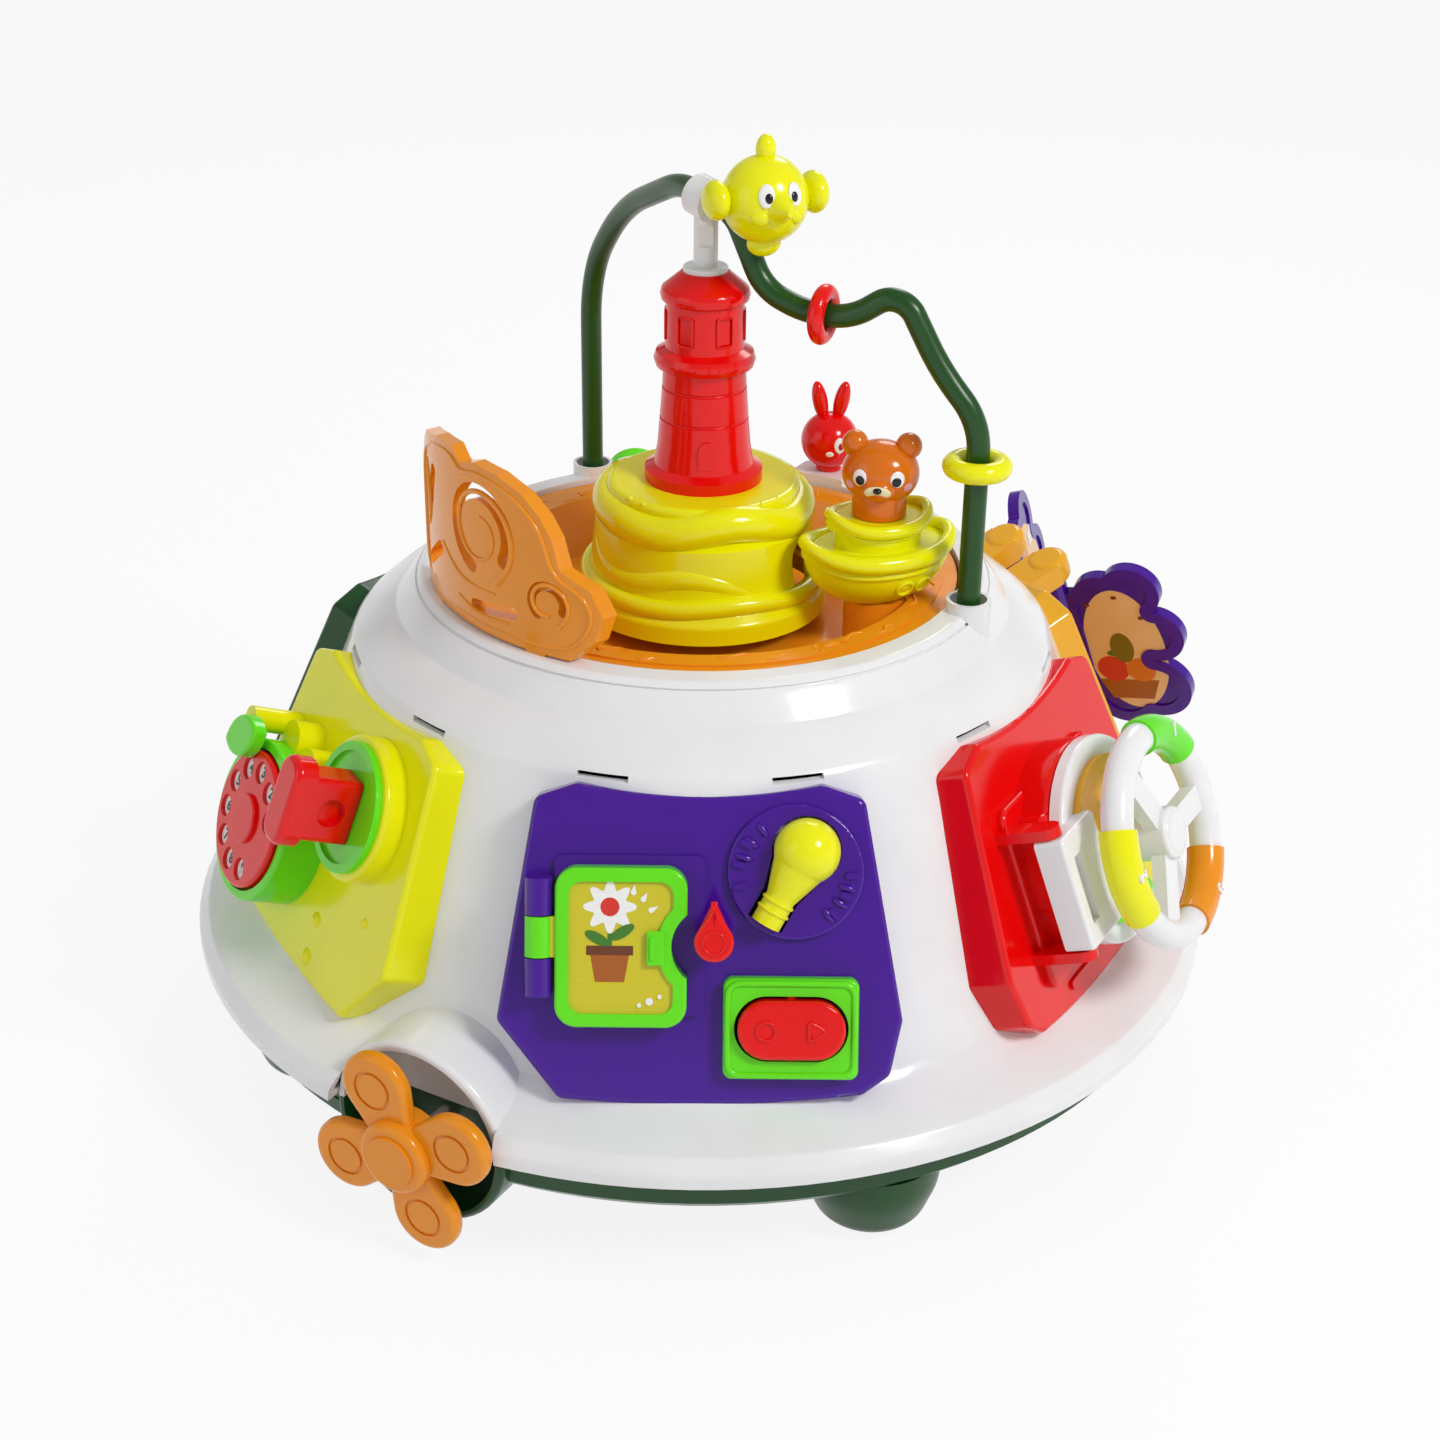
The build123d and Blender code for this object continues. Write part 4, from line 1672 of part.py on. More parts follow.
def hill_face(inset):
    points = (
        (0.0, HILL_BASE_Z),
        (HILL_SKIRT_RADIUS, HILL_BASE_Z),
        (HILL_SKIRT_RADIUS, HILL_FLANGE_Z),
        (HILL_WAIST_RADIUS, HILL_WAIST_Z),
        (HILL_LEDGE_RADIUS, HILL_LEDGE_Z),
        (HILL_TOP_RADIUS, HILL_LEDGE_Z + HILL_ROUND),
        (HILL_TOP_RADIUS, HILL_TOP_Z),
        (0.0, HILL_TOP_Z),
    )
    rounded = ((HILL_SKIRT_RADIUS, HILL_FLANGE_Z), (HILL_TOP_RADIUS, HILL_TOP_Z))
    face = profile_face(points, {corner: HILL_ROUND for corner in rounded})
    return inner_face(face, inset) if inset else face


def hill():
    solid = revolve(Plane.XZ * hill_face(0), Axis.Z)
    shell = solid - revolve(Plane.XZ * hill_face(HILL_WALL), Axis.Z)
    shell -= upright(HILL_SKIRT_RADIUS - HILL_WALL, HILL_BASE_Z - PAST, HILL_BASE_Z + HILL_WALL + PAST)
    boss = upright(HILL_BOSS_RADIUS, HUB_COLLAR_Z + END_PLAY, HILL_TOP_Z - HILL_WALL / 2)
    shell += boss
    arch = slab(
        (-HILL_ARCH_WIDTH / 2, HILL_ARCH_WIDTH / 2),
        (-HILL_SKIRT_RADIUS - PAST, -HILL_TOP_RADIUS + 2 * HILL_WALL),
        (HILL_WAIST_Z, HILL_ARCH_TOP_Z - HILL_ARCH_WIDTH / 2),
    )
    crown = Pos(0, -HILL_LEDGE_RADIUS, HILL_ARCH_TOP_Z - HILL_ARCH_WIDTH / 2) * Rot(90, 0, 0) * Cylinder(
        HILL_ARCH_WIDTH / 2, HILL_WAIST_RADIUS - HILL_TOP_RADIUS + 3 * HILL_WALL
    )
    shell -= [Rot(0, 0, HILL_ARCH_AZIMUTH) * arch, Rot(0, 0, HILL_ARCH_AZIMUTH) * crown]
    return shell - [
        upright(POST_RADIUS, HUB_COLLAR_Z, POST_TOP_Z),
        upright(MAST_RADIUS, HUB_COLLAR_Z, HILL_TOP_Z + PAST),
    ]


def lighthouse():
    outline = [(0.0, TOWER_PROFILE[0][1])] + list(TOWER_PROFILE) + [(0.0, TOWER_PROFILE[-1][1])]
    tower = spun(outline)
    bore_low = TOWER_PROFILE[0][1] - PAST
    bore = [(0.0, bore_low), (TOWER_PROFILE[3][0] - TOWER_WALL, bore_low)]
    bore += [(r - TOWER_WALL, z) for r, z in TOWER_PROFILE[3:7]]
    bore += [(TOWER_PROFILE[11][0] - TOWER_WALL, TOWER_PROFILE[11][1]), (0.0, TOWER_PROFILE[11][1])]
    tower -= spun(bore)
    cuts = [upright(MAST_RADIUS, TOWER_PROFILE[0][1], TOWER_PROFILE[-1][1] + PAST)]
    cuts += [upright(MAST_COLLAR_RADIUS, MAST_COLLAR_Z[0], TOWER_PROFILE[-1][1] + PAST)]
    for z in TOWER_LINES_Z:
        radius = [r for r, height in TOWER_PROFILE if height == z][0]
        cuts.append(Pos(0, 0, z) * Torus(radius, TOWER_LINE_SECTION))
    for number in range(TOWER_WINDOW_COUNT):
        depth, width, height = TOWER_WINDOW_SIZE
        window = Pos(TOWER_PROFILE[11][0], 0, TOWER_WINDOW_Z) * Box(depth, width, height)
        cuts.append(Rot(0, 0, number * 360 / TOWER_WINDOW_COUNT) * window)
    return tower - cuts


def mast():
    pole = upright(MAST_RADIUS, WELL_FLOOR_Z, MAST_TOP_Z)
    pole += upright(MAST_COLLAR_RADIUS, *MAST_COLLAR_Z)
    depth, width, height = MAST_NOTCH
    pole -= Pos(0, -MAST_RADIUS, MAST_NOTCH_Z) * Box(width, depth, height)
    direction = Plane(origin=tube_top(), z_dir=tube_top_direction())
    clip = direction * Cylinder(HOOK_RADIUS, HOOK_LENGTH)
    pole += clip
    peg_start, peg_end = Vector(0, 0, BIRD_PLACE[2]), Vector(*BIRD_PLACE)
    along = peg_end - peg_start
    peg = Plane(origin=(peg_start + peg_end) * 0.5, z_dir=along) * Cylinder(PEG_RADIUS, along.length)
    return pole + peg - tube_solid()


# Bird
def bird_frame():
    return Pos(*BIRD_PLACE) * Rot(0, 0, BIRD_FACING)


def bird():
    body = Sphere(BIRD_RADIUS)
    wing = ellipsoid(BIRD_WING)
    beak = Cone(BIRD_BEAK_RADIUS, BIRD_BEAK_TIP_RADIUS, BIRD_BEAK_LENGTH)
    body += [Pos(side * BIRD_WING_OUT, 0, BIRD_WING_RISE) * wing for side in (-1, 1)]
    body += [
        Pos(0, -BIRD_RADIUS - BIRD_BEAK_LENGTH / 4, 0) * Rot(90, 0, 0) * beak,
        Pos(0, 0, BIRD_RADIUS + BIRD_CREST[2] / 3) * ellipsoid(BIRD_CREST),
        Pos(0, 0, -BIRD_RADIUS) * ellipsoid(BIRD_TAIL),
    ]
    start, end = Vector(0, 0, BIRD_PLACE[2]), Vector(*BIRD_PLACE)
    along = end - start
    bore_length = 2 * along.length
    bore = Plane(origin=end - along.normalized() * (bore_length / 2 - END_PLAY), z_dir=along) * Cylinder(
        PEG_RADIUS + RUNNING_FIT, bore_length
    )
    return bird_frame() * body - bore


# Loop tube
TUBE_FEET = ((TUBE_LEFT_AZIMUTH, TUBE_LEFT_FOOT_RADIUS), (TUBE_RIGHT_AZIMUTH, TUBE_RIGHT_FOOT_RADIUS))


def tube_points():
    points = [place(TUBE_LEFT_FOOT_RADIUS, TUBE_LEFT_AZIMUTH, TUBE_END_Z)]
    points += [place(r, TUBE_LEFT_AZIMUTH, z) for r, z in TUBE_LEFT]
    points += [place(r, TUBE_RIGHT_AZIMUTH, z) for r, z in TUBE_RIGHT]
    points.append(place(TUBE_RIGHT_FOOT_RADIUS, TUBE_RIGHT_AZIMUTH, TUBE_END_Z))
    return points


def tube_radii(points):
    radii = []
    for before, corner, after in zip(points, points[1:], points[2:]):
        arriving, leaving = corner - before, after - corner
        turn = radians(arriving.get_angle(leaving))
        shorter = min(arriving.length, leaving.length)
        radii.append(TUBE_ARC_SHARE * shorter / tan(turn / 2))
    return radii


def tube_path():
    points = tube_points()
    return FilletPolyline(*points, radius=tube_radii(points))


def tube_solid():
    path = tube_path()
    return sweep(Plane(origin=path @ 0, z_dir=path % 0) * Circle(TUBE_RADIUS), path)


def tube_top():
    return Vector(0, 0, TUBE_LEFT[-1][1] - HOOK_DROP)


def tube_top_direction():
    points = tube_points()
    return (points[len(TUBE_LEFT) + 1] - points[len(TUBE_LEFT) - 1]).normalized()


def loop_tube():
    tube = tube_solid()
    expected = tube_path().length * TUBE_RADIUS**2 * pi
    print("tube radii", [round(radius, 1) for radius in tube_radii(tube_points())])
    print("tube volume over section times length", round(tube.volume / expected, 4))
    return tube


def red_bead():
    centre = place(RED_BEAD_AT[0], TUBE_RIGHT_AZIMUTH, RED_BEAD_AT[1])
    start = place(TUBE_RIGHT[2][0], TUBE_RIGHT_AZIMUTH, TUBE_RIGHT[2][1])
    end = place(TUBE_RIGHT[3][0], TUBE_RIGHT_AZIMUTH, TUBE_RIGHT[3][1])
    return Plane(origin=centre, z_dir=end - start) * Torus(RED_BEAD_RING, RED_BEAD_SECTION)


def yellow_bead():
    centre = place(TUBE_RIGHT_FOOT_RADIUS, TUBE_RIGHT_AZIMUTH, YELLOW_BEAD_Z)
    return Pos(*centre) * Torus(YELLOW_BEAD_RING, YELLOW_BEAD_SECTION)


# Wave plate
def arc_slot(place_xy, radius, width, span):
    x, y = place_xy
    return Pos(x, y) * SlotArc(CenterArc((0, 0), radius, span[0], span[1] - span[0]), width)


def wave_plate():
    outline = make_face(Polyline(*WAVE_OUTLINE, close=True))
    corners = [v for v in outline.vertices() if v.Y > WAVE_OUTLINE[0][1] + PAST]
    outline = fillet(corners, WAVE_ROUND)
    outline -= arc_slot(WAVE_SCROLL_PLACE, WAVE_SCROLL_RADIUS, WAVE_SCROLL_WIDTH, WAVE_SCROLL_SPAN)
    outline -= arc_slot(WAVE_CURL_PLACE, WAVE_CURL_RADIUS, WAVE_CURL_WIDTH, WAVE_CURL_SPAN)
    for x, y, length, width, turn in WAVE_SLOTS:
        outline -= Pos(x, y) * Rot(0, 0, turn) * SlotOverall(length, width)
    upright_plane = Plane(origin=(0, 0, 0), x_dir=(1, 0, 0), z_dir=(0, -1, 0))
    block = extrude(upright_plane * outline, WAVE_OUTER_RADIUS + WAVE_THICKNESS)
    block = Rot(0, 0, WAVE_AZIMUTH) * block
    top = max(z for _, z in WAVE_OUTLINE) + PAST
    inner = WAVE_OUTER_RADIUS - WAVE_THICKNESS
    band = tube_piece(WAVE_OUTER_RADIUS, inner, WAVE_OUTLINE[0][1] - PAST, top)
    return (block & band) + wave_tabs()


# Boat, bear and bunny
def boat_frame():
    # The keel runs along the frame's x, turned from the table's x by the heading
    return Pos(*place(BOAT_PLACE_RADIUS, BOAT_AZIMUTH, 0)) * Rot(0, 0, BOAT_HEADING)


def boat_hull_solid():
    depth = BOAT_GUNWALE_Z - BOAT_KEEL_Z
    hull = Pos(0, 0, BOAT_GUNWALE_Z) * ellipsoid((BOAT_HALF_LENGTH, BOAT_HALF_WIDTH, depth))
    hull &= slab((-RIM_RADIUS, RIM_RADIUS), (-RIM_RADIUS, RIM_RADIUS), (0, BOAT_GUNWALE_Z))
    return boat_frame() * hull


def boat():
    rail_size = (BOAT_HALF_LENGTH + BOAT_RAIL_OUT, BOAT_HALF_WIDTH + BOAT_RAIL_OUT)
    rail = Pos(0, 0, BOAT_GUNWALE_Z) * extrude(Ellipse(*rail_size), BOAT_RAIL_HEIGHT)
    tub = Pos(0, 0, BOAT_GUNWALE_Z) * extrude(Ellipse(*TUB_HALF_SIZES), TUB_TOP_Z - BOAT_GUNWALE_Z)
    tub_rim = Pos(0, 0, TUB_RIM_Z) * extrude(Ellipse(*TUB_RIM_HALF_SIZES), TUB_TOP_Z - TUB_RIM_Z)
    bore_low = TUB_TOP_Z - BEAR_STEM_LENGTH - END_PLAY
    bore = upright(BEAR_STEM_RADIUS + RUNNING_FIT, bore_low, TUB_TOP_Z + PAST)
    upper_works = [boat_frame() * piece for piece in (rail, tub, tub_rim)]
    return boat_hull_solid() + upper_works - [boat_frame() * bore]


def bear():
    base = TUB_TOP_Z + END_PLAY
    head_z = base + BEAR_HEAD_RISE
    body = upright(BEAR_BODY_RADIUS, base, base + BEAR_BODY_HEIGHT)
    body = fillet(top_edges(body), BLADE_ROUND)
    body += Pos(0, 0, head_z) * ellipsoid(BEAR_HEAD)
    x, y, z = BEAR_EAR_PLACE
    body += [Pos(side * x, y, head_z + z) * Sphere(BEAR_EAR_RADIUS) for side in (-1, 1)]
    x, y, z = BEAR_MUZZLE_PLACE
    body += Pos(x, y, head_z + z) * ellipsoid(BEAR_MUZZLE)
    body += upright(BEAR_STEM_RADIUS, TUB_TOP_Z - BEAR_STEM_LENGTH, base + PAST)
    centre = place(BOAT_PLACE_RADIUS, BOAT_AZIMUTH, 0)
    return Pos(centre.X, centre.Y, 0) * Rot(0, 0, BEAR_FACING) * body


def bunny():
    body = Pos(0, 0, BUNNY_Z) * Sphere(BUNNY_RADIUS)
    ear = ellipsoid(BUNNY_EAR)
    body += [
        Pos(side * BUNNY_EAR_SPREAD, 0, BUNNY_Z + BUNNY_EAR_RISE) * Rot(0, side * BUNNY_EAR_LEAN, 0) * ear
        for side in (-1, 1)
    ]
    body += upright(BUNNY_FOOT_RADIUS, BUNNY_BLOCK_TOP_Z + END_PLAY, BUNNY_Z - BUNNY_RADIUS / 2)
    body += upright(BUNNY_STEM_RADIUS, BUNNY_BLOCK_TOP_Z - BUNNY_STEM_LENGTH, BUNNY_Z - BUNNY_RADIUS / 2)
    centre = place(BUNNY_PLACE_RADIUS, BUNNY_AZIMUTH, 0)
    return Pos(centre.X, centre.Y, 0) * body


# Springs behind the buttons
def button_springs():
    spot = bulb_stem_place()
    floor = -BULB_STEM_LENGTH + BULB_TRAVEL + END_PLAY + CATCH_THICKNESS
    inner = BULB_STEM_RADIUS + SPRING_CLEARANCE
    bulb_spring = round_rod(spot, inner + SPRING_WALL, floor, -BULB_TRAVEL - END_PLAY)
    bulb_spring -= round_rod(spot, inner, floor - PAST, 0)
    inner = FRUIT_STEM_RADIUS + SPRING_CLEARANCE
    spring_top = FRUIT_SIDE - FRUIT_SHELL - FRUIT_TRAVEL - END_PLAY
    fruit_spring = round_rod(FRUIT_PLACE, inner + SPRING_WALL, 0, spring_top)
    fruit_spring -= round_rod(FRUIT_PLACE, inner, -1, FRUIT_SIDE)
    return Compound(children=[on_panel("panel_front") * bulb_spring, on_panel("panel_back") * fruit_spring])


def build():
    front, left = on_panel("panel_front"), on_panel("panel_front_left")
    right, book = on_panel("panel_front_right"), on_panel("panel_back_right")
    back, keys = on_panel("panel_back"), on_panel("panel_back_left")
    parts = {
        "base_tray": base_tray(),
        "battery_door": battery_door(),
        "batteries": batteries(),
        "base_screws": base_screws(),
        "circuit_board": circuit_board(),
        "speaker": speaker(),
        "dome_shell": dome_shell(),
        "turntable_well": turntable_well(),
        "propeller_hood": propeller_hood(),
        "feet": feet(),
        "panel_front": front * panel_front(),
        "door": front * door(),
        "door_pin": front * door_pin(),
        "door_latch": front * door_latch(),
        "bulb_button": front * bulb_button(),
        "rocker_frame": front * rocker_frame(),
        "rocker": front * rocker(),
        "panel_front_left": left * panel_front_left(),
        "dial_ring": left * dial_ring(),
        "dial_wheel": left * dial_wheel(),
        "finger_stop": left * finger_stop(),
        "paddle_dish": left * paddle_dish(),
        "paddle_knob": left * paddle_knob(),
        "panel_front_right": right * panel_front_right(),
        "wheel_base": right * wheel_base(),
        "wheel_pin": right * wheel_pin(),
        "sector_disc": right * sector_disc(),
        "steering_wheel": right * steering_wheel(),
        "wheel_grips": right * wheel_grips(),
        "panel_back_right": book * panel_back_right(),
        "page_pins": book * page_pins(),
        "page_front": book * page_front(),
        "page_rear": book * page_rear(),
        "panel_back": back * panel_back(),
        "fruit_button": back * fruit_button(),
        "fruit_leaf": back * fruit_leaf(),
        "panel_back_left": keys * panel_back_left(),
        "key_pin": keys * key_pin(),
        "panel_screws": panel_screws(),
        "button_springs": button_springs(),
        "centre_post": centre_post(),
        "turntable": turntable(),
        "hill": hill(),
        "lighthouse": lighthouse(),
        "mast": mast(),
        "bird": bird(),
        "loop_tube": loop_tube(),
        "red_bead": red_bead(),
        "yellow_bead": yellow_bead(),
        "wave_plate": wave_plate(),
        "boat": boat(),
        "bear": bear(),
        "bunny": bunny(),
        "propeller": propeller(),
        "propeller_axle": propeller_axle(),
    }
    for number, name in enumerate(KEY_NAMES):
        parts[name] = keys * key(number)
    return parts


if __name__ == "__main__":
    os.makedirs("parts", exist_ok=True)
    for name, shape in build().items():
        export_step(shape, f"parts/{name}.step")
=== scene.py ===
import json
import math

import bpy
from mathutils import Matrix, Vector


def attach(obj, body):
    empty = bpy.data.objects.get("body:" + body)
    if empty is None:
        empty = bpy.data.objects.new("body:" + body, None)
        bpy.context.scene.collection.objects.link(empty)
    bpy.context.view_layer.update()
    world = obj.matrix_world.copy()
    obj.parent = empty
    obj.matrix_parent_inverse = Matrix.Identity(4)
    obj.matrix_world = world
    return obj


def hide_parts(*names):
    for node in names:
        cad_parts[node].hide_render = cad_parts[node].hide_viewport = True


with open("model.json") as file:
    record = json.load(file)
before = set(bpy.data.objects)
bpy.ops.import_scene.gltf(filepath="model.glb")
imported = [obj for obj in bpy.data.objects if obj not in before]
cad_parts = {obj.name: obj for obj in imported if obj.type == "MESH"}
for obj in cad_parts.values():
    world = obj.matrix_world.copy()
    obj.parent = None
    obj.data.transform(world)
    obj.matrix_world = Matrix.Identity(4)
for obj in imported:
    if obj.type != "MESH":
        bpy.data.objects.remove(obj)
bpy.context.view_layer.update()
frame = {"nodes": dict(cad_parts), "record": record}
nodes = frame["nodes"]

MM = 0.001

# Camera, read from the photograph's ellipses and upright posts
FRAME_PIXELS = 1440
AXIS_PIXEL = 700.957
CAMERA_PLACE = (0.0, -0.769, 0.504)
AIM_HEIGHT = 0.11575
CAMERA_LENS = 57.5
CAMERA_SENSOR = 36.0
CAMERA_ROLL = 0.010435

# Places on the table, in millimetres in the frame of the CAD
PANEL_RADIUS = 148.25
PANEL_HEIGHT = 107.95
PANEL_SLOPE = 22.0
BIRD_CENTRE = (19.2, -17.0, 316.4)
BIRD_RADIUS = 14.6
BIRD_FACING = 22.0
BIRD_WING = (4.4, 7.6, 6.6)
BIRD_WING_OUT = 17.3
BEAR_HEIGHT = 224.3
BEAR_FACING = -8.0
BEAR_RADII = (13.4, 11.6, 11.4)
MUZZLE_RADII = (13.4, 14.4, 11.4)
BOAT_AZIMUTH = 68.4
BOAT_RADIUS = 65.5
BOAT_HEADING = 22.0
BUNNY_AZIMUTH = 151.0
BUNNY_PLACE = 102.0
BUNNY_HEIGHT = 195.0
BUNNY_RADIUS = 11.2
BUNNY_FACING = 42.0
DECK_HEIGHT = 179.6
TOWER_TOP = 286.9
WAVE_RADIUS = 98.2
WAVE_AZIMUTH = -50.0
HILL_CAP = (33.4, 204.6, 1.8, 6.6)
HILL_FOOT = (41.2, 178.6, 0.7, 3.4)
FISH_RADIUS = 81.5
LANTERN_RADIUS = 13.7
LANTERN_HEIGHT = 269.0
TOWER_DOOR_PLACE = (16.2, 4.0, 221.0)

# Places on the panels' own faces, in millimetres
DOOR_FIELD_HEIGHT = 8.2
DOOR_FACE_HEIGHT = 8.9
LATCH_PLACE = (4.8, 5.8)
ROCKER_Y = -23.7
ROCKER_FRAME_PLACE = (29.6, -23.9, 5.0)
BULB_PLACE = (30.5, 26.0)
BULB_RAY_RADIUS = 17.0
DIAL_PLACE = (-29.0, -10.5)
DIAL_WINDOW_RADIUS = 18.0
WHEEL_RIM_RADIUS = 34.5
DISC_FIGURE_RADIUS = 19.0
PAGE_HINGE_OUT = 14.0
PAGE_HINGE_HEIGHT = 17.0
PAGE_THICKNESS = 4.6
PAGE_BORDER_STEP = 0.8
SIDES = ((-1, "left"), (1, "right"))

# Studio: lamp name, place in metres, width in metres, watts
STUDIO_LAMPS = (
    ("key_light", (0.85, -0.75, 1.15), 0.35, 10.5),
    ("left_fill", (-1.1, -0.7, 0.7), 0.9, 1.6),
    ("rear_light", (0.3, 1.1, 1.0), 0.5, 3.0),
)
LAMP_AIM = (0, 0, 0.12)
FLOOR_WIDTH = 6.0
FLOOR_GLOW = 0.88
WORLD_FILL = 0.5
CEILING_WHITE = 0.4


def linear(colour):
    # A written sRGB colour as the linear values that a shader takes
    parts = [int(colour[i : i + 2], 16) / 255 for i in (1, 3, 5)]
    return tuple(p / 12.92 if p <= 0.04045 else ((p + 0.055) / 1.055) ** 2.4 for p in parts) + (1.0,)


def shade(colour, share):
    return tuple(min(1.0, part * share) for part in colour[:3]) + (1.0,)


def add_node(tree, kind, inputs=None, **settings):
    node = tree.nodes.new(kind)
    for name, value in settings.items():
        setattr(node, name, value)
    for socket, value in (inputs or {}).items():
        if isinstance(value, bpy.types.NodeSocket):
            tree.links.new(value, node.inputs[socket])
        else:
            node.inputs[socket].default_value = value
    return node


def empty_material(name):
    material = bpy.data.materials.new(name)
    material.use_nodes = True
    tree = material.node_tree
    tree.nodes.clear()
    return material, tree


def close_material(tree, shader):
    add_node(tree, "ShaderNodeOutputMaterial", {"Surface": shader.outputs["BSDF"]})


def per_metre(millimetres):
    # The texture scale at which a pattern repeats about every so many millimetres
    return 1000.0 / millimetres


def moulded_surface(tree, colour, roughness, mottle_mm, peel_mm, peel_depth_mm, scuff):
    # Colour, roughness and bump shared by all injection mouldings: faint flow mottle in the colour,
    # handling haze and hairline rub marks in the gloss, and the slight waviness of a polished mould
    place = add_node(tree, "ShaderNodeTexCoord").outputs["Object"]
    mottle = add_node(
        tree, "ShaderNodeTexNoise", {"Vector": place, "Scale": per_metre(mottle_mm), "Detail": 3.0}
    )
    tone = add_node(
        tree,
        "ShaderNodeMix",
        {0: mottle.outputs["Fac"], 6: shade(colour, 0.93), 7: shade(colour, 1.05)},
        data_type="RGBA",
    )
    haze = add_node(tree, "ShaderNodeTexNoise", {"Vector": place, "Scale": per_metre(9.0), "Detail": 4.0})
    hazed = add_node(
        tree,
        "ShaderNodeMapRange",
        {
            "Value": haze.outputs["Fac"],
            "From Min": 0.3,
            "From Max": 0.75,
            "To Min": roughness,
            "To Max": roughness + 0.06,
        },
    )
    lay = add_node(
        tree, "ShaderNodeMapping", {"Vector": place, "Rotation": (0.4, 0.3, 0.6), "Scale": (1.0, 0.06, 0.5)}
    )
    rub = add_node(
        tree,
        "ShaderNodeTexNoise",
        {"Vector": lay.outputs["Vector"], "Scale": per_metre(1.6), "Detail": 2.0, "Distortion": 0.6},
    )
    hairline = add_node(
        tree,
        "ShaderNodeMapRange",
        {"Value": rub.outputs["Fac"], "From Min": 0.66, "From Max": 0.74, "To Min": 0.0, "To Max": scuff},
    )
    gloss = add_node(
        tree,
        "ShaderNodeMath",
        {0: hazed.outputs["Result"], 1: hairline.outputs["Result"]},
        operation="ADD",
        use_clamp=True,
    )
    peel = add_node(
        tree, "ShaderNodeTexNoise", {"Vector": place, "Scale": per_metre(peel_mm), "Detail": 1.0}
    )
    bump = add_node(
        tree,
        "ShaderNodeBump",
        {"Height": peel.outputs["Fac"], "Strength": 0.5, "Distance": peel_depth_mm * MM},
    )
    return add_node(
        tree,
        "ShaderNodeBsdfPrincipled",
        {
            "Base Color": tone.outputs[2],
            "Roughness": gloss.outputs["Value"],
            "Normal": bump.outputs["Normal"],
            "IOR": 1.46,
        },
    )


def polished_abs(name, colour):
    # Injection-moulded ABS from a polished mould: deep even colour with a clear, sharp highlight
    material, tree = empty_material(name)
    surface = moulded_surface(
        tree, linear(colour), roughness=0.13, mottle_mm=28.0, peel_mm=5.0, peel_depth_mm=0.012, scuff=0.10
    )
    close_material(tree, surface)
    return material


def satin_abs(name, colour):
    # Injection-moulded ABS from a fine-blasted mould: the same colour under a softer, wider highlight
    material, tree = empty_material(name)
    surface = moulded_surface(
        tree, linear(colour), roughness=0.27, mottle_mm=22.0, peel_mm=1.4, peel_depth_mm=0.02, scuff=0.12
    )
    close_material(tree, surface)
    return material


def polypropylene(name, colour):
    # Moulded polypropylene for the feet and the tray: slightly waxy, with a mild grain
    material, tree = empty_material(name)
    surface = moulded_surface(
        tree, linear(colour), roughness=0.3, mottle_mm=35.0, peel_mm=2.2, peel_depth_mm=0.03, scuff=0.14
    )
    close_material(tree, surface)
    return material


def painted_eye(name, colour):
    # Pad-printed gloss ink over the moulding: one dense colour, slightly uneven where the pad lifted
    material, tree = empty_material(name)
    place = add_node(tree, "ShaderNodeTexCoord").outputs["Object"]
    film = add_node(tree, "ShaderNodeTexNoise", {"Vector": place, "Scale": per_metre(2.5), "Detail": 3.0})
    base = linear(colour)
    tone = add_node(
        tree, "ShaderNodeMix", {
            0: film.outputs["Fac"], 6: shade(base, 0.92), 7: shade(base, 1.04)
        }, data_type="RGBA"
    )
    lift = add_node(
        tree, "ShaderNodeBump", {"Height": film.outputs["Fac"], "Strength": 0.3, "Distance": 0.01 * MM}
    )
    shader = add_node(
        tree,
        "ShaderNodeBsdfPrincipled",
        {"Base Color": tone.outputs[2], "Roughness": 0.22, "Normal": lift.outputs["Normal"], "IOR": 1.5},
    )
    close_material(tree, shader)
    return material


def printed_paper(name, colour):
    # Offset-printed label stock under a clear lacquer: a fine dot screen, drawn at 0.9 mm so that it shows
    material, tree = empty_material(name)
    place = add_node(tree, "ShaderNodeTexCoord").outputs["Object"]
    dots = add_node(
        tree, "ShaderNodeTexVoronoi", {
            "Vector": place, "Scale": per_metre(0.9), "Randomness": 0.2
        }, feature="F1"
    )
    screen = add_node(
        tree,
        "ShaderNodeMapRange",
        {"Value": dots.outputs["Distance"], "From Min": 0.1, "From Max": 0.5, "To Min": 0.0, "To Max": 1.0},
    )
    fibre = add_node(tree, "ShaderNodeTexNoise", {"Vector": place, "Scale": per_metre(6.0), "Detail": 5.0})
    base = linear(colour)
    dotted = add_node(
        tree, "ShaderNodeMix", {
            0: screen.outputs["Result"], 6: shade(base, 0.9), 7: shade(base, 1.03)
        }, data_type="RGBA"
    )
    tone = add_node(
        tree, "ShaderNodeMix", {0: fibre.outputs["Fac"], 6: dotted.outputs[2], 7: base}, data_type="RGBA"
    )
    lacquer = add_node(
        tree, "ShaderNodeBump", {"Height": fibre.outputs["Fac"], "Strength": 0.4, "Distance": 0.02 * MM}
    )
    shader = add_node(
        tree,
        "ShaderNodeBsdfPrincipled",
        {
            "Base Color": tone.outputs[2],
            "Roughness": 0.34,
            "Normal": lacquer.outputs["Normal"],
            "IOR": 1.5,
            "Coat Weight": 0.3,
            "Coat Roughness": 0.1,
        },
    )
    close_material(tree, shader)
    return material


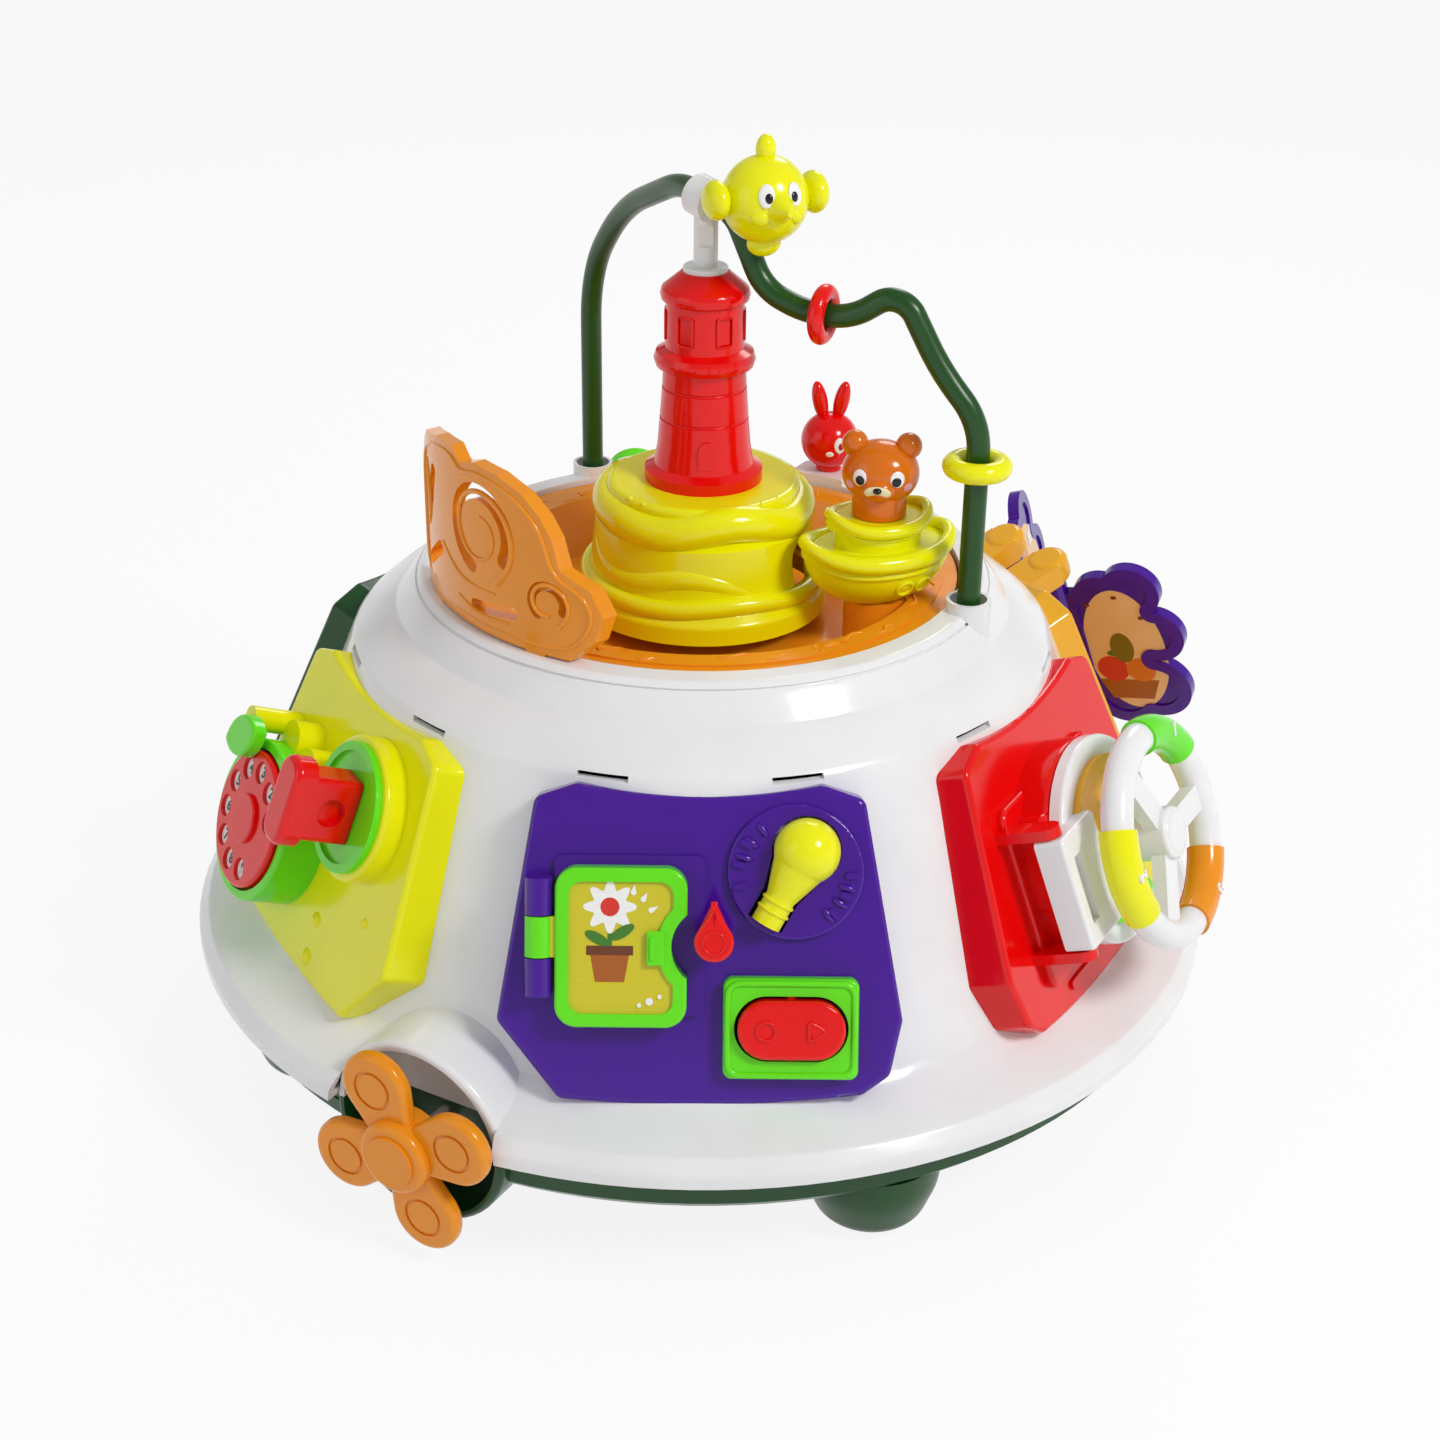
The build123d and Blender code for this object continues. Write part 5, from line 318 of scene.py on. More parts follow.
def turned_steel(name, colour, roughness):
    # Zinc-plated mild steel, cold-headed and turned: fine rings that stretch the highlight
    material, tree = empty_material(name)
    place = add_node(tree, "ShaderNodeTexCoord").outputs["Object"]
    lay = add_node(tree, "ShaderNodeMapping", {"Vector": place, "Scale": (0.15, 0.15, 1.0)})
    rings = add_node(
        tree,
        "ShaderNodeTexNoise",
        {"Vector": lay.outputs["Vector"], "Scale": per_metre(0.5), "Detail": 4.0},
    )
    gloss = add_node(
        tree,
        "ShaderNodeMapRange",
        {"Value": rings.outputs["Fac"], "To Min": roughness, "To Max": roughness + 0.18},
    )
    base = linear(colour)
    tone = add_node(
        tree, "ShaderNodeMix", {0: rings.outputs["Fac"], 6: shade(base, 0.85), 7: base}, data_type="RGBA"
    )
    cut = add_node(
        tree, "ShaderNodeBump", {"Height": rings.outputs["Fac"], "Strength": 0.4, "Distance": 0.02 * MM}
    )
    shader = add_node(
        tree,
        "ShaderNodeBsdfPrincipled",
        {
            "Base Color": tone.outputs[2],
            "Roughness": gloss.outputs["Result"],
            "Metallic": 1.0,
            "Normal": cut.outputs["Normal"],
        },
    )
    close_material(tree, shader)
    return material


def solder_mask(name):
    # Glass-epoxy board under green solder mask: copper tracks show as paler lines on a 2.5 mm grid
    material, tree = empty_material(name)
    place = add_node(tree, "ShaderNodeTexCoord").outputs["Object"]
    grid = add_node(
        tree, "ShaderNodeTexBrick", {
            "Vector": place, "Scale": per_metre(5.0), "Mortar Size": 0.06, "Brick Width": 0.5
        }
    )
    tone = add_node(
        tree,
        "ShaderNodeMix",
        {0: grid.outputs["Fac"], 6: linear("#0F4A26"), 7: linear("#2E7A46")},
        data_type="RGBA",
    )
    track = add_node(
        tree, "ShaderNodeBump", {"Height": grid.outputs["Fac"], "Strength": 0.5, "Distance": 0.04 * MM}
    )
    shader = add_node(
        tree,
        "ShaderNodeBsdfPrincipled",
        {"Base Color": tone.outputs[2], "Roughness": 0.3, "Normal": track.outputs["Normal"], "IOR": 1.52},
    )
    close_material(tree, shader)
    return material


def pressed_paper(name):
    # Black pressed-paper speaker cone and its coated basket: matt, with felted fibres about 0.8 mm long
    material, tree = empty_material(name)
    place = add_node(tree, "ShaderNodeTexCoord").outputs["Object"]
    fibre = add_node(tree, "ShaderNodeTexNoise", {"Vector": place, "Scale": per_metre(0.8), "Detail": 6.0})
    tone = add_node(
        tree, "ShaderNodeMix", {
            0: fibre.outputs["Fac"], 6: linear("#0E0E10"), 7: linear("#2C2C30")
        }, data_type="RGBA"
    )
    felt = add_node(
        tree, "ShaderNodeBump", {"Height": fibre.outputs["Fac"], "Strength": 0.6, "Distance": 0.05 * MM}
    )
    shader = add_node(
        tree,
        "ShaderNodeBsdfPrincipled",
        {"Base Color": tone.outputs[2], "Roughness": 0.72, "Normal": felt.outputs["Normal"], "IOR": 1.45},
    )
    close_material(tree, shader)
    return material


def sector_print(name, centre):
    # The printed disc under the steering wheel: three coloured fields meeting at the hub, as ink on card
    material, tree = empty_material(name)
    place = add_node(tree, "ShaderNodeTexCoord").outputs["Object"]
    unturned = centre.inverted()
    lay = add_node(
        tree,
        "ShaderNodeMapping",
        {"Vector": place, "Location": unturned.to_translation(), "Rotation": unturned.to_euler()},
        vector_type="POINT",
    )
    turn = add_node(
        tree, "ShaderNodeTexGradient", {"Vector": lay.outputs["Vector"]}, gradient_type="RADIAL"
    )
    fields = add_node(tree, "ShaderNodeValToRGB", {"Fac": turn.outputs["Fac"]})
    ramp = fields.color_ramp
    ramp.interpolation = "CONSTANT"
    ramp.elements[0].color = linear("#58D818")
    ramp.elements[1].position = 0.333
    ramp.elements[1].color = linear("#E8D820")
    third = ramp.elements.new(0.667)
    third.color = linear("#F0A018")
    fibre = add_node(tree, "ShaderNodeTexNoise", {"Vector": place, "Scale": per_metre(4.0), "Detail": 4.0})
    tone = add_node(
        tree,
        "ShaderNodeMix",
        {0: fibre.outputs["Fac"], 6: fields.outputs["Color"], 7: linear("#FFFFFF")},
        data_type="RGBA",
        blend_type="SOFT_LIGHT",
    )
    press = add_node(
        tree, "ShaderNodeBump", {"Height": fibre.outputs["Fac"], "Strength": 0.3, "Distance": 0.02 * MM}
    )
    shader = add_node(
        tree,
        "ShaderNodeBsdfPrincipled",
        {"Base Color": tone.outputs[2], "Roughness": 0.3, "Normal": press.outputs["Normal"], "IOR": 1.5},
    )
    close_material(tree, shader)
    return material


def panel_frame(azimuth):
    # x to the right across a panel, y up its slope, z out of its face
    out = Matrix.Translation((0, -PANEL_RADIUS * MM, PANEL_HEIGHT * MM))
    lean = Matrix.Rotation(math.radians(90 - PANEL_SLOPE), 4, "X")
    return Matrix.Rotation(math.radians(azimuth), 4, "Z") @ out @ lean


def on_face(panel, x, y, height, turn=0.0):
    return panel @ Matrix.Translation(
        (x * MM, y * MM, height * MM)
    ) @ Matrix.Rotation(math.radians(turn), 4, "Z")


def standing(radius, azimuth, height, facing=0.0):
    angle = math.radians(azimuth)
    spot = (radius * math.sin(angle) * MM, -radius * math.cos(angle) * MM, height * MM)
    return Matrix.Translation(spot) @ Matrix.Rotation(math.radians(facing), 4, "Z")


FRONT = panel_frame(0)
FRONT_RIGHT = panel_frame(60)
BACK_RIGHT = panel_frame(120)
BACK = panel_frame(180)
BACK_LEFT = panel_frame(240)
FRONT_LEFT = panel_frame(300)
WHEEL_CENTRE = on_face(FRONT_RIGHT, -4, 1, 0)

WHITE = polished_abs("white_polished_abs", "#EDEDEE")
YELLOW = polished_abs("yellow_polished_abs", "#F0EE04")
PURPLE = polished_abs("purple_polished_abs", "#460C94")
RED = polished_abs("red_polished_abs", "#EA0404")
LIGHT_GREEN = polished_abs("light_green_polished_abs", "#66E614")
ORANGE = polished_abs("orange_polished_abs", "#F09418")
AMBER = polished_abs("amber_polished_abs", "#F0B024")
HONEY = polished_abs("honey_polished_abs", "#DC700C")
DARK_GREEN = satin_abs("dark_green_satin_abs", "#14481C")
TUBE_GREEN = satin_abs("tube_green_satin_abs", "#174A14")
FOOT_GREEN = polypropylene("foot_green_polypropylene", "#14481C")
STEEL = turned_steel("zinc_plated_steel", "#C8CACC", 0.28)
SPRING_STEEL = turned_steel("music_wire_steel", "#8E9094", 0.32)
BOARD = solder_mask("green_solder_mask")
SPEAKER_PAPER = pressed_paper("black_pressed_paper")
CELL_FILM = satin_abs("shrink_film_blue_grey", "#4A6B7A")
EYE_WHITE = painted_eye("white_pad_ink", "#F4F4F4")
EYE_BLACK = painted_eye("black_pad_ink", "#0C0A16")
EYE_RED = painted_eye("red_pad_ink", "#B80A10")
CHEEK_PINK = painted_eye("pink_pad_ink", "#E8A0B0")
MUZZLE_CREAM = painted_eye("cream_pad_ink", "#EFE6B8")
LABEL_OLIVE = printed_paper("olive_printed_label", "#D2C41E")
LABEL_TAN = printed_paper("tan_printed_label", "#F0C484")
INK_WHITE = printed_paper("white_printed_ink", "#F2F2F0")
INK_BROWN = printed_paper("brown_printed_ink", "#A85A10")
INK_DARK_BROWN = printed_paper("dark_brown_printed_ink", "#6A3208")
INK_GREEN = printed_paper("green_printed_ink", "#3C7A1C")
INK_MOSS = printed_paper("moss_printed_ink", "#7A6A10")
INK_RED = printed_paper("red_printed_ink", "#D83020")
INK_ORANGE = printed_paper("orange_printed_ink", "#E07818")
SECTOR_PRINT = sector_print("sector_printed_card", WHEEL_CENTRE)

SLOT_FINISH = {
    "white_plastic": WHITE,
    "yellow_plastic": YELLOW,
    "purple_plastic": PURPLE,
    "red_plastic": RED,
    "orange_plastic": ORANGE,
    "light_green_plastic": LIGHT_GREEN,
    "dark_green_plastic": DARK_GREEN,
    "brown_orange_plastic": HONEY,
    "steel": STEEL,
    "spring_steel": SPRING_STEEL,
    "board_green": BOARD,
    "speaker_black": SPEAKER_PAPER,
    "cell_jacket": CELL_FILM,
}
NODE_FINISH = {
    "loop_tube": TUBE_GREEN,
    "panel_back_right": AMBER,
    "sector_disc": SECTOR_PRINT,
    "wheel_grips": YELLOW,
    "feet": FOOT_GREEN,
}
HIDDEN_NODES = (
    "circuit_board", "speaker", "batteries", "button_springs", "base_screws", "panel_screws", "key_pin"
)


def clear_selection():
    if bpy.context.object and bpy.context.object.mode != "OBJECT":
        bpy.ops.object.mode_set(mode="OBJECT")
    bpy.ops.object.select_all(action="DESELECT")


def take_up(piece):
    clear_selection()
    piece.select_set(True)
    bpy.context.view_layer.objects.active = piece


def lay_in_place(piece, place, name, body, finish):
    # The piece's place goes into its mesh, and its object stays at the origin
    piece.name = name
    piece.data.name = name
    piece.data.transform(place @ piece.matrix_world)
    piece.matrix_world = Matrix.Identity(4)
    piece.data.materials.clear()
    piece.data.materials.append(finish)
    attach(piece, body)
    return piece


def lay_on_frame(piece, name, finish):
    # For a piece whose points are already the table's own
    return lay_in_place(piece, Matrix.Identity(4), name, "frame", finish)


def smooth(piece, angle=35.0):
    take_up(piece)
    bpy.ops.object.shade_smooth_by_angle(angle=math.radians(angle))
    weighted = piece.modifiers.new("even_faces", "WEIGHTED_NORMAL")
    weighted.keep_sharp = True
    bpy.ops.object.modifier_apply(modifier=weighted.name)


def moulding(node, body, finish):
    # A merged copy of a CAD solid, so that its rounded faces shade as one surface
    piece = bpy.data.objects.new(node + "_moulding", nodes[node].data.copy())
    bpy.context.scene.collection.objects.link(piece)
    take_up(piece)
    bpy.ops.mesh.customdata_custom_splitnormals_clear()
    bpy.ops.object.mode_set(mode="EDIT")
    bpy.ops.mesh.select_all(action="SELECT")
    bpy.ops.mesh.remove_doubles(threshold=0.001 * MM)
    bpy.ops.object.mode_set(mode="OBJECT")
    smooth(piece)
    lay_in_place(piece, Matrix.Identity(4), node + "_moulding", body, finish)
    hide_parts(node)
    return piece


def finish_faces(piece, finish, chosen):
    # Gives the faces that chosen picks, by centre and normal, a second finish
    piece.data.materials.append(finish)
    for face in piece.data.polygons:
        if chosen(face.center, face.normal):
            face.material_index = len(piece.data.materials) - 1


def button(half_x, half_y, rise, sink=0.2):
    # A low dome with an oval foot: a ball cut below its middle
    bpy.ops.mesh.primitive_uv_sphere_add(segments=28, ring_count=16, radius=1.0)
    piece = bpy.context.object
    piece.scale = (half_x * MM, half_y * MM, rise * MM)
    bpy.ops.object.transform_apply(location=False, rotation=False, scale=True)
    bpy.ops.object.mode_set(mode="EDIT")
    bpy.ops.mesh.select_all(action="SELECT")
    bpy.ops.mesh.bisect(
        plane_co=(0, 0, -sink * rise * MM), plane_no=(0, 0, 1), clear_inner=True, use_fill=True
    )
    bpy.ops.object.mode_set(mode="OBJECT")
    bpy.ops.object.shade_smooth_by_angle(angle=math.radians(50))
    return piece


def rounded_block(width, depth, height, edge):
    bpy.ops.mesh.primitive_cube_add(size=1.0, location=(0, 0, height * MM / 2))
    piece = bpy.context.object
    piece.scale = (width * MM, depth * MM, height * MM)
    bpy.ops.object.transform_apply(location=True, rotation=False, scale=True)
    bpy.ops.object.mode_set(mode="EDIT")
    bpy.ops.mesh.select_all(action="SELECT")
    bpy.ops.mesh.bevel(offset=edge * MM, segments=4, affect="EDGES")
    bpy.ops.object.mode_set(mode="OBJECT")
    smooth(piece)
    return piece


def cut_shape(outline, thickness, edge=0.0):
    # A flat shape cut from an outline in millimetres, its top edge softened where an edge is given
    curve = bpy.data.curves.new("outline", "CURVE")
    curve.dimensions = "2D"
    curve.fill_mode = "BOTH"
    curve.extrude = thickness * MM / 2
    curve.bevel_depth = edge * MM
    curve.bevel_resolution = 2
    curve.offset = -edge * MM
    line = curve.splines.new("POLY")
    line.points.add(len(outline) - 1)
    for point, (x, y) in zip(line.points, outline):
        point.co = (x * MM, y * MM, 0, 1)
    line.use_cyclic_u = True
    piece = bpy.data.objects.new("shape", curve)
    bpy.context.scene.collection.objects.link(piece)
    take_up(piece)
    bpy.ops.object.convert(target="MESH")
    piece = bpy.context.object
    piece.data.transform(Matrix.Translation((0, 0, (thickness / 2 + edge) * MM)))
    smooth(piece)
    return piece


def ellipse_line(half_x, half_y, points=40, x=0.0, y=0.0):
    turns = [2 * math.pi * number / points for number in range(points)]
    return [(x + half_x * math.cos(turn), y + half_y * math.sin(turn)) for turn in turns]


def drop_line(radius, tip, points=32):
    # A round foot drawn up to a point
    line = []
    for number in range(points):
        turn = 2 * math.pi * number / points
        pull = max(0.0, math.sin(turn)) ** 4
        line.append((radius * math.cos(turn) * (1 - pull), radius * math.sin(turn) + (tip - radius) * pull))
    return line


def petal_line(radius, petals, depth, points=80):
    turns = [2 * math.pi * number / points for number in range(points)]
    reach = [radius * (1 + depth * math.cos(petals * turn)) for turn in turns]
    return [(r * math.cos(turn), r * math.sin(turn)) for r, turn in zip(reach, turns)]


def digit(words, size, thickness):
    bpy.ops.object.text_add()
    piece = bpy.context.object
    piece.data.body = words
    piece.data.size = size * MM
    piece.data.extrude = thickness * MM / 2
    piece.data.align_x = "CENTER"
    piece.data.align_y = "CENTER"
    piece.data.offset = 0.03 * size * MM
    take_up(piece)
    bpy.ops.object.convert(target="MESH")
    piece = bpy.context.object
    piece.data.transform(Matrix.Translation((0, 0, thickness * MM / 2)))
    return piece


def ridge(points, widths, closed=False):
    # A half-sunk rounded ridge along a smooth line, each point with its own half width in millimetres
    curve = bpy.data.curves.new("ridge", "CURVE")
    curve.dimensions = "3D"
    curve.bevel_depth = MM
    curve.bevel_resolution = 4
    curve.resolution_u = 6
    curve.use_fill_caps = True
    line = curve.splines.new("NURBS")
    line.points.add(len(points) - 1)
    for point, spot, width in zip(line.points, points, widths):
        point.co = tuple(Vector(spot) * MM) + (1,)
        point.radius = width
    line.order_u = 3
    line.use_endpoint_u = not closed
    line.use_cyclic_u = closed
    piece = bpy.data.objects.new("ridge", curve)
    bpy.context.scene.collection.objects.link(piece)
    take_up(piece)
    bpy.ops.object.convert(target="MESH")
    piece = bpy.context.object
    bpy.ops.object.shade_smooth_by_angle(angle=math.radians(60))
    return piece


def on_ball(centre, radii, azimuth, elevation, lift=0.0):
    # A frame on an oval head, z out of its skin; azimuth 0 is straight ahead and positive to the right
    side, up = math.radians(azimuth), math.radians(elevation)
    way = Vector((math.sin(side) * math.cos(up), -math.cos(side) * math.cos(up), math.sin(up)))
    spot = Vector([radius * part for radius, part in zip(radii, way)])
    out = Vector([part / radius for radius, part in zip(radii, way)]).normalized()
    across = Vector((0, 0, 1)).cross(out).normalized()
    turned = Matrix((across, out.cross(across), out)).transposed().to_4x4()
    return centre @ Matrix.Translation((spot + out * lift) * MM) @ turned


def carried_nodes():
    # Every CAD solid that shows gets a merged moulding, and the ones inside keep their mesh
    slots = {entry["node"]: entry["material_slot"] for entry in frame["record"]["subparts"]}
    made = {}
    for body, members in frame["record"]["behaviour"]["bodies"].items():
        for node in members:
            slot = slots[node]
            finish = NODE_FINISH.get(node, SLOT_FINISH[slot])
            if node in HIDDEN_NODES:
                nodes[node].data.materials.clear()
                nodes[node].data.materials.append(finish)
            else:
                made[node] = moulding(node, body, finish)
    return made


def face_marks(animal, centre, marks):
    # A mark is a name, a button's sizes, the head's radii, azimuth, elevation, lift, slot and ink
    for name, sizes, radii, azimuth, elevation, lift, slot, ink in marks:
        place = on_ball(centre, radii, azimuth, elevation, lift)
        lay_in_place(button(*sizes), place, "%s_%s" % (animal, name), animal, ink)


def bird_face_and_wings():
    # Eyes and cheeks, and a rounded wing on each side
    centre = Matrix.Translation(Vector(BIRD_CENTRE) * MM) @ Matrix.Rotation(
        math.radians(BIRD_FACING), 4, "Z"
    )
    radii = (BIRD_RADIUS,) * 3
    for side, name in SIDES:
        marks = (
            ("eye_" + name, (2.7, 3.9, 0.7), radii, side * 21, 17, -0.1, "white_plastic", EYE_WHITE),
            ("pupil_" + name, (1.3, 1.7, 0.5), radii, side * 18, 14, 0.45, "white_plastic", EYE_BLACK),
            ("cheek_" + name, (3.4, 2.8, 1.6), radii, side * 30, -14, -0.6, "yellow_plastic", YELLOW),
        )
        face_marks("bird", centre, marks)
        wing = button(BIRD_WING[2], BIRD_WING[1], BIRD_WING[0], 0.9)
        sideways = Matrix.Rotation(math.radians(side * 90), 4, "Y")
        place = centre @ Matrix.Translation((side * BIRD_WING_OUT * MM, 0, MM)) @ sideways
        lay_in_place(wing, place, "bird_wing_" + name, "bird", YELLOW)


def bear_face():
    centre = standing(BOAT_RADIUS, BOAT_AZIMUTH, BEAR_HEIGHT, BEAR_FACING)
    for side, name in SIDES:
        marks = (
            ("eye_" + name, (2.6, 2.9, 0.7), BEAR_RADII, side * 29, 6, -0.1, "white_plastic", EYE_WHITE),
            ("pupil_" + name, (1.7, 1.7, 0.6), BEAR_RADII, side * 27, 2, 0.4, "white_plastic", EYE_BLACK),
            (
                "cheek_" + name,
                (1.9, 1.6, 0.5),
                BEAR_RADII,
                side * 50,
                -12,
                -0.1,
                "brown_orange_plastic",
                CHEEK_PINK,
            ),
        )
        face_marks("bear", centre, marks)
    snout = (
        ("muzzle", (4.6, 2.6, 1.2), MUZZLE_RADII, 0, -17, -1.0, "white_plastic", MUZZLE_CREAM),
        ("nose", (1.5, 1.1, 1.2), MUZZLE_RADII, 0, -9, 0.1, "white_plastic", EYE_BLACK),
    )
    face_marks("bear", centre, snout)


def bunny_face():
    centre = standing(BUNNY_PLACE, BUNNY_AZIMUTH, BUNNY_HEIGHT, BUNNY_FACING)
    radii = (BUNNY_RADIUS,) * 3
    for side, name in SIDES:
        marks = (
            ("eye_" + name, (2.2, 3.1, 0.6), radii, side * 24, 6, -0.1, "white_plastic", EYE_WHITE),
            ("pupil_" + name, (1.1, 1.5, 0.5), radii, side * 22, 4, 0.35, "red_plastic", EYE_RED),
            ("cheek_" + name, (1.6, 1.2, 0.5), radii, side * 44, -12, -0.1, "white_plastic", EYE_WHITE),
        )
        face_marks("bunny", centre, marks)


def door_label(door):
    # The printed label in the door's sunk field, and a potted daisy on it
    face = FRONT.inverted()

    def in_field(centre, normal):
        height = (face @ centre).z / MM
        return abs(height - DOOR_FIELD_HEIGHT) < 0.15 and (face.to_3x3() @ normal).z > 0.98

    finish_faces(door, LABEL_OLIVE, in_field)
    shapes = (
        ("pot", [(-6.2, -9), (-4.6, -18), (4.6, -18), (6.2, -9)], (-28, 9.5), 0, INK_BROWN),
        ("pot_rim", [(-7.4, -9.4), (-7.4, -6.4), (7.4, -6.4), (7.4, -9.4)], (-28, 9.5), 0, INK_DARK_BROWN),
        ("stem", [(-0.7, -6.4), (-0.7, 3), (0.7, 3), (0.7, -6.4)], (-28, 9.5), 0, INK_GREEN),
        ("petals", petal_line(7.0, 8, 0.22), (-28, 15.5), 0, INK_WHITE),
        ("flower_eye", ellipse_line(3.0, 3.0), (-28, 15.5), 0, INK_RED),
        ("leaf_left", ellipse_line(4.2, 1.7), (-32, 5.5), -28, INK_GREEN),
        ("leaf_right", ellipse_line(4.2, 1.7), (-24, 7.5), 32, INK_GREEN),
        ("spark_upper", drop_line(0.9, 3.0), (-17.5, 18.0), -30, INK_WHITE),
        ("spark_middle", drop_line(0.9, 3.0), (-15.0, 14.6), -62, INK_WHITE),
        ("spark_left", drop_line(0.9, 3.0), (-20.6, 20.2), -5, INK_WHITE),
        ("dot_large", ellipse_line(1.2, 1.2, 20), (-15.4, -14.6), 0, INK_WHITE),
        ("dot_small", ellipse_line(0.7, 0.7, 16), (-12.2, -13.0), 0, INK_WHITE),
        ("dot_low", ellipse_line(0.7, 0.7, 16), (-18.6, -15.8), 0, INK_WHITE),
    )
    for number, (name, outline, (x, y), turn, ink) in enumerate(shapes):
        layer = 0.05 + 0.04 * number
        print_piece = cut_shape(outline, layer)
        place = on_face(FRONT, x, y, DOOR_FIELD_HEIGHT, turn)
        lay_in_place(print_piece, place, "door_print_" + name, "door", ink)


def door_pull():
    block = rounded_block(5.6, 11.0, 1.6, 0.7)
    lay_in_place(
        block,
        on_face(FRONT, -13.6, 2.6, DOOR_FACE_HEIGHT),
        "door_pull_block",
        "door",
        LIGHT_GREEN,
    )
    bar = rounded_block(1.6, 7.6, 0.7, 0.3)
    lay_in_place(
        bar, on_face(FRONT, -14.6, 2.6, 10.4), "door_pull_bar", "door", LIGHT_GREEN
    )


def dial_numbers():
    for number in range(9):
        turn = math.radians(20 + 34 * number)
        x = DIAL_PLACE[0] + DIAL_WINDOW_RADIUS * math.cos(turn)
        y = DIAL_PLACE[1] + DIAL_WINDOW_RADIUS * math.sin(turn)
        disc = cut_shape(ellipse_line(3.8, 3.8, 32), 0.5, 0.1)
        place = on_face(FRONT_LEFT, x, y, 15.9)
        lay_in_place(disc, place, "dial_disc_%d" % number, "dial", INK_WHITE)
        figure = digit(str(number + 1), 5.6, 0.2)
        place = on_face(FRONT_LEFT, x, y, 16.55)
        lay_in_place(figure, place, "dial_figure_%d" % number, "dial", EYE_BLACK)


def grip_colours(grips):
    # One moulding in each of the three fields' colours, told apart by their turn round the rim
    back = WHEEL_CENTRE.inverted()

    def turned(low, high):
        def chosen(centre, normal):
            spot = back @ centre
            return low < math.degrees(math.atan2(spot.y, spot.x)) < high

        return chosen

    finish_faces(grips, LIGHT_GREEN, turned(10, 110))
    finish_faces(grips, ORANGE, turned(-110, -10))


def wheel_numbers():
    top = local_top("wheel_grips", WHEEL_CENTRE)
    for number, turn in enumerate((60, 180, 300)):
        figure = digit(str(number + 1), 6.4, 0.9)
        angle = math.radians(turn)
        x, y = WHEEL_RIM_RADIUS * math.cos(angle), WHEEL_RIM_RADIUS * math.sin(angle)
        place = on_face(WHEEL_CENTRE, x, y, top - 0.6, turn - 90)
        lay_in_place(figure, place, "wheel_figure_%d" % number, "wheel", EYE_WHITE)
    for name, turn, words in (("left", 150, "1"), ("upper", 30, "2"), ("lower", 270, "3")):
        angle = math.radians(turn)
        figure = digit(words, 11.0, 0.3)
        x, y = DISC_FIGURE_RADIUS * math.cos(angle), DISC_FIGURE_RADIUS * math.sin(angle)
        place = on_face(WHEEL_CENTRE, x, y, 20.7, turn - 90)
        lay_in_place(figure, place, "disc_figure_" + name, "wheel_cover", EYE_WHITE)


def hub_cap():
    cap = button(7.6, 7.6, 1.6)
    lay_in_place(cap, on_face(WHEEL_CENTRE, 0, 0, 41.7), "wheel_hub_cap", "wheel", WHITE)


def page_frame(side, opening):
    # A page's own frame: x away from its hinge, y along it, z out of its printed face
    hinge = on_face(BACK_RIGHT, side * PAGE_HINGE_OUT, 0, PAGE_HINGE_HEIGHT)
    if side < 0:
        turned = Matrix.Rotation(math.radians(opening), 4, "Y") @ Matrix.Rotation(math.pi, 4, "Z")
    else:
        turned = Matrix.Rotation(math.radians(-opening), 4, "Y")
    return hinge @ turned


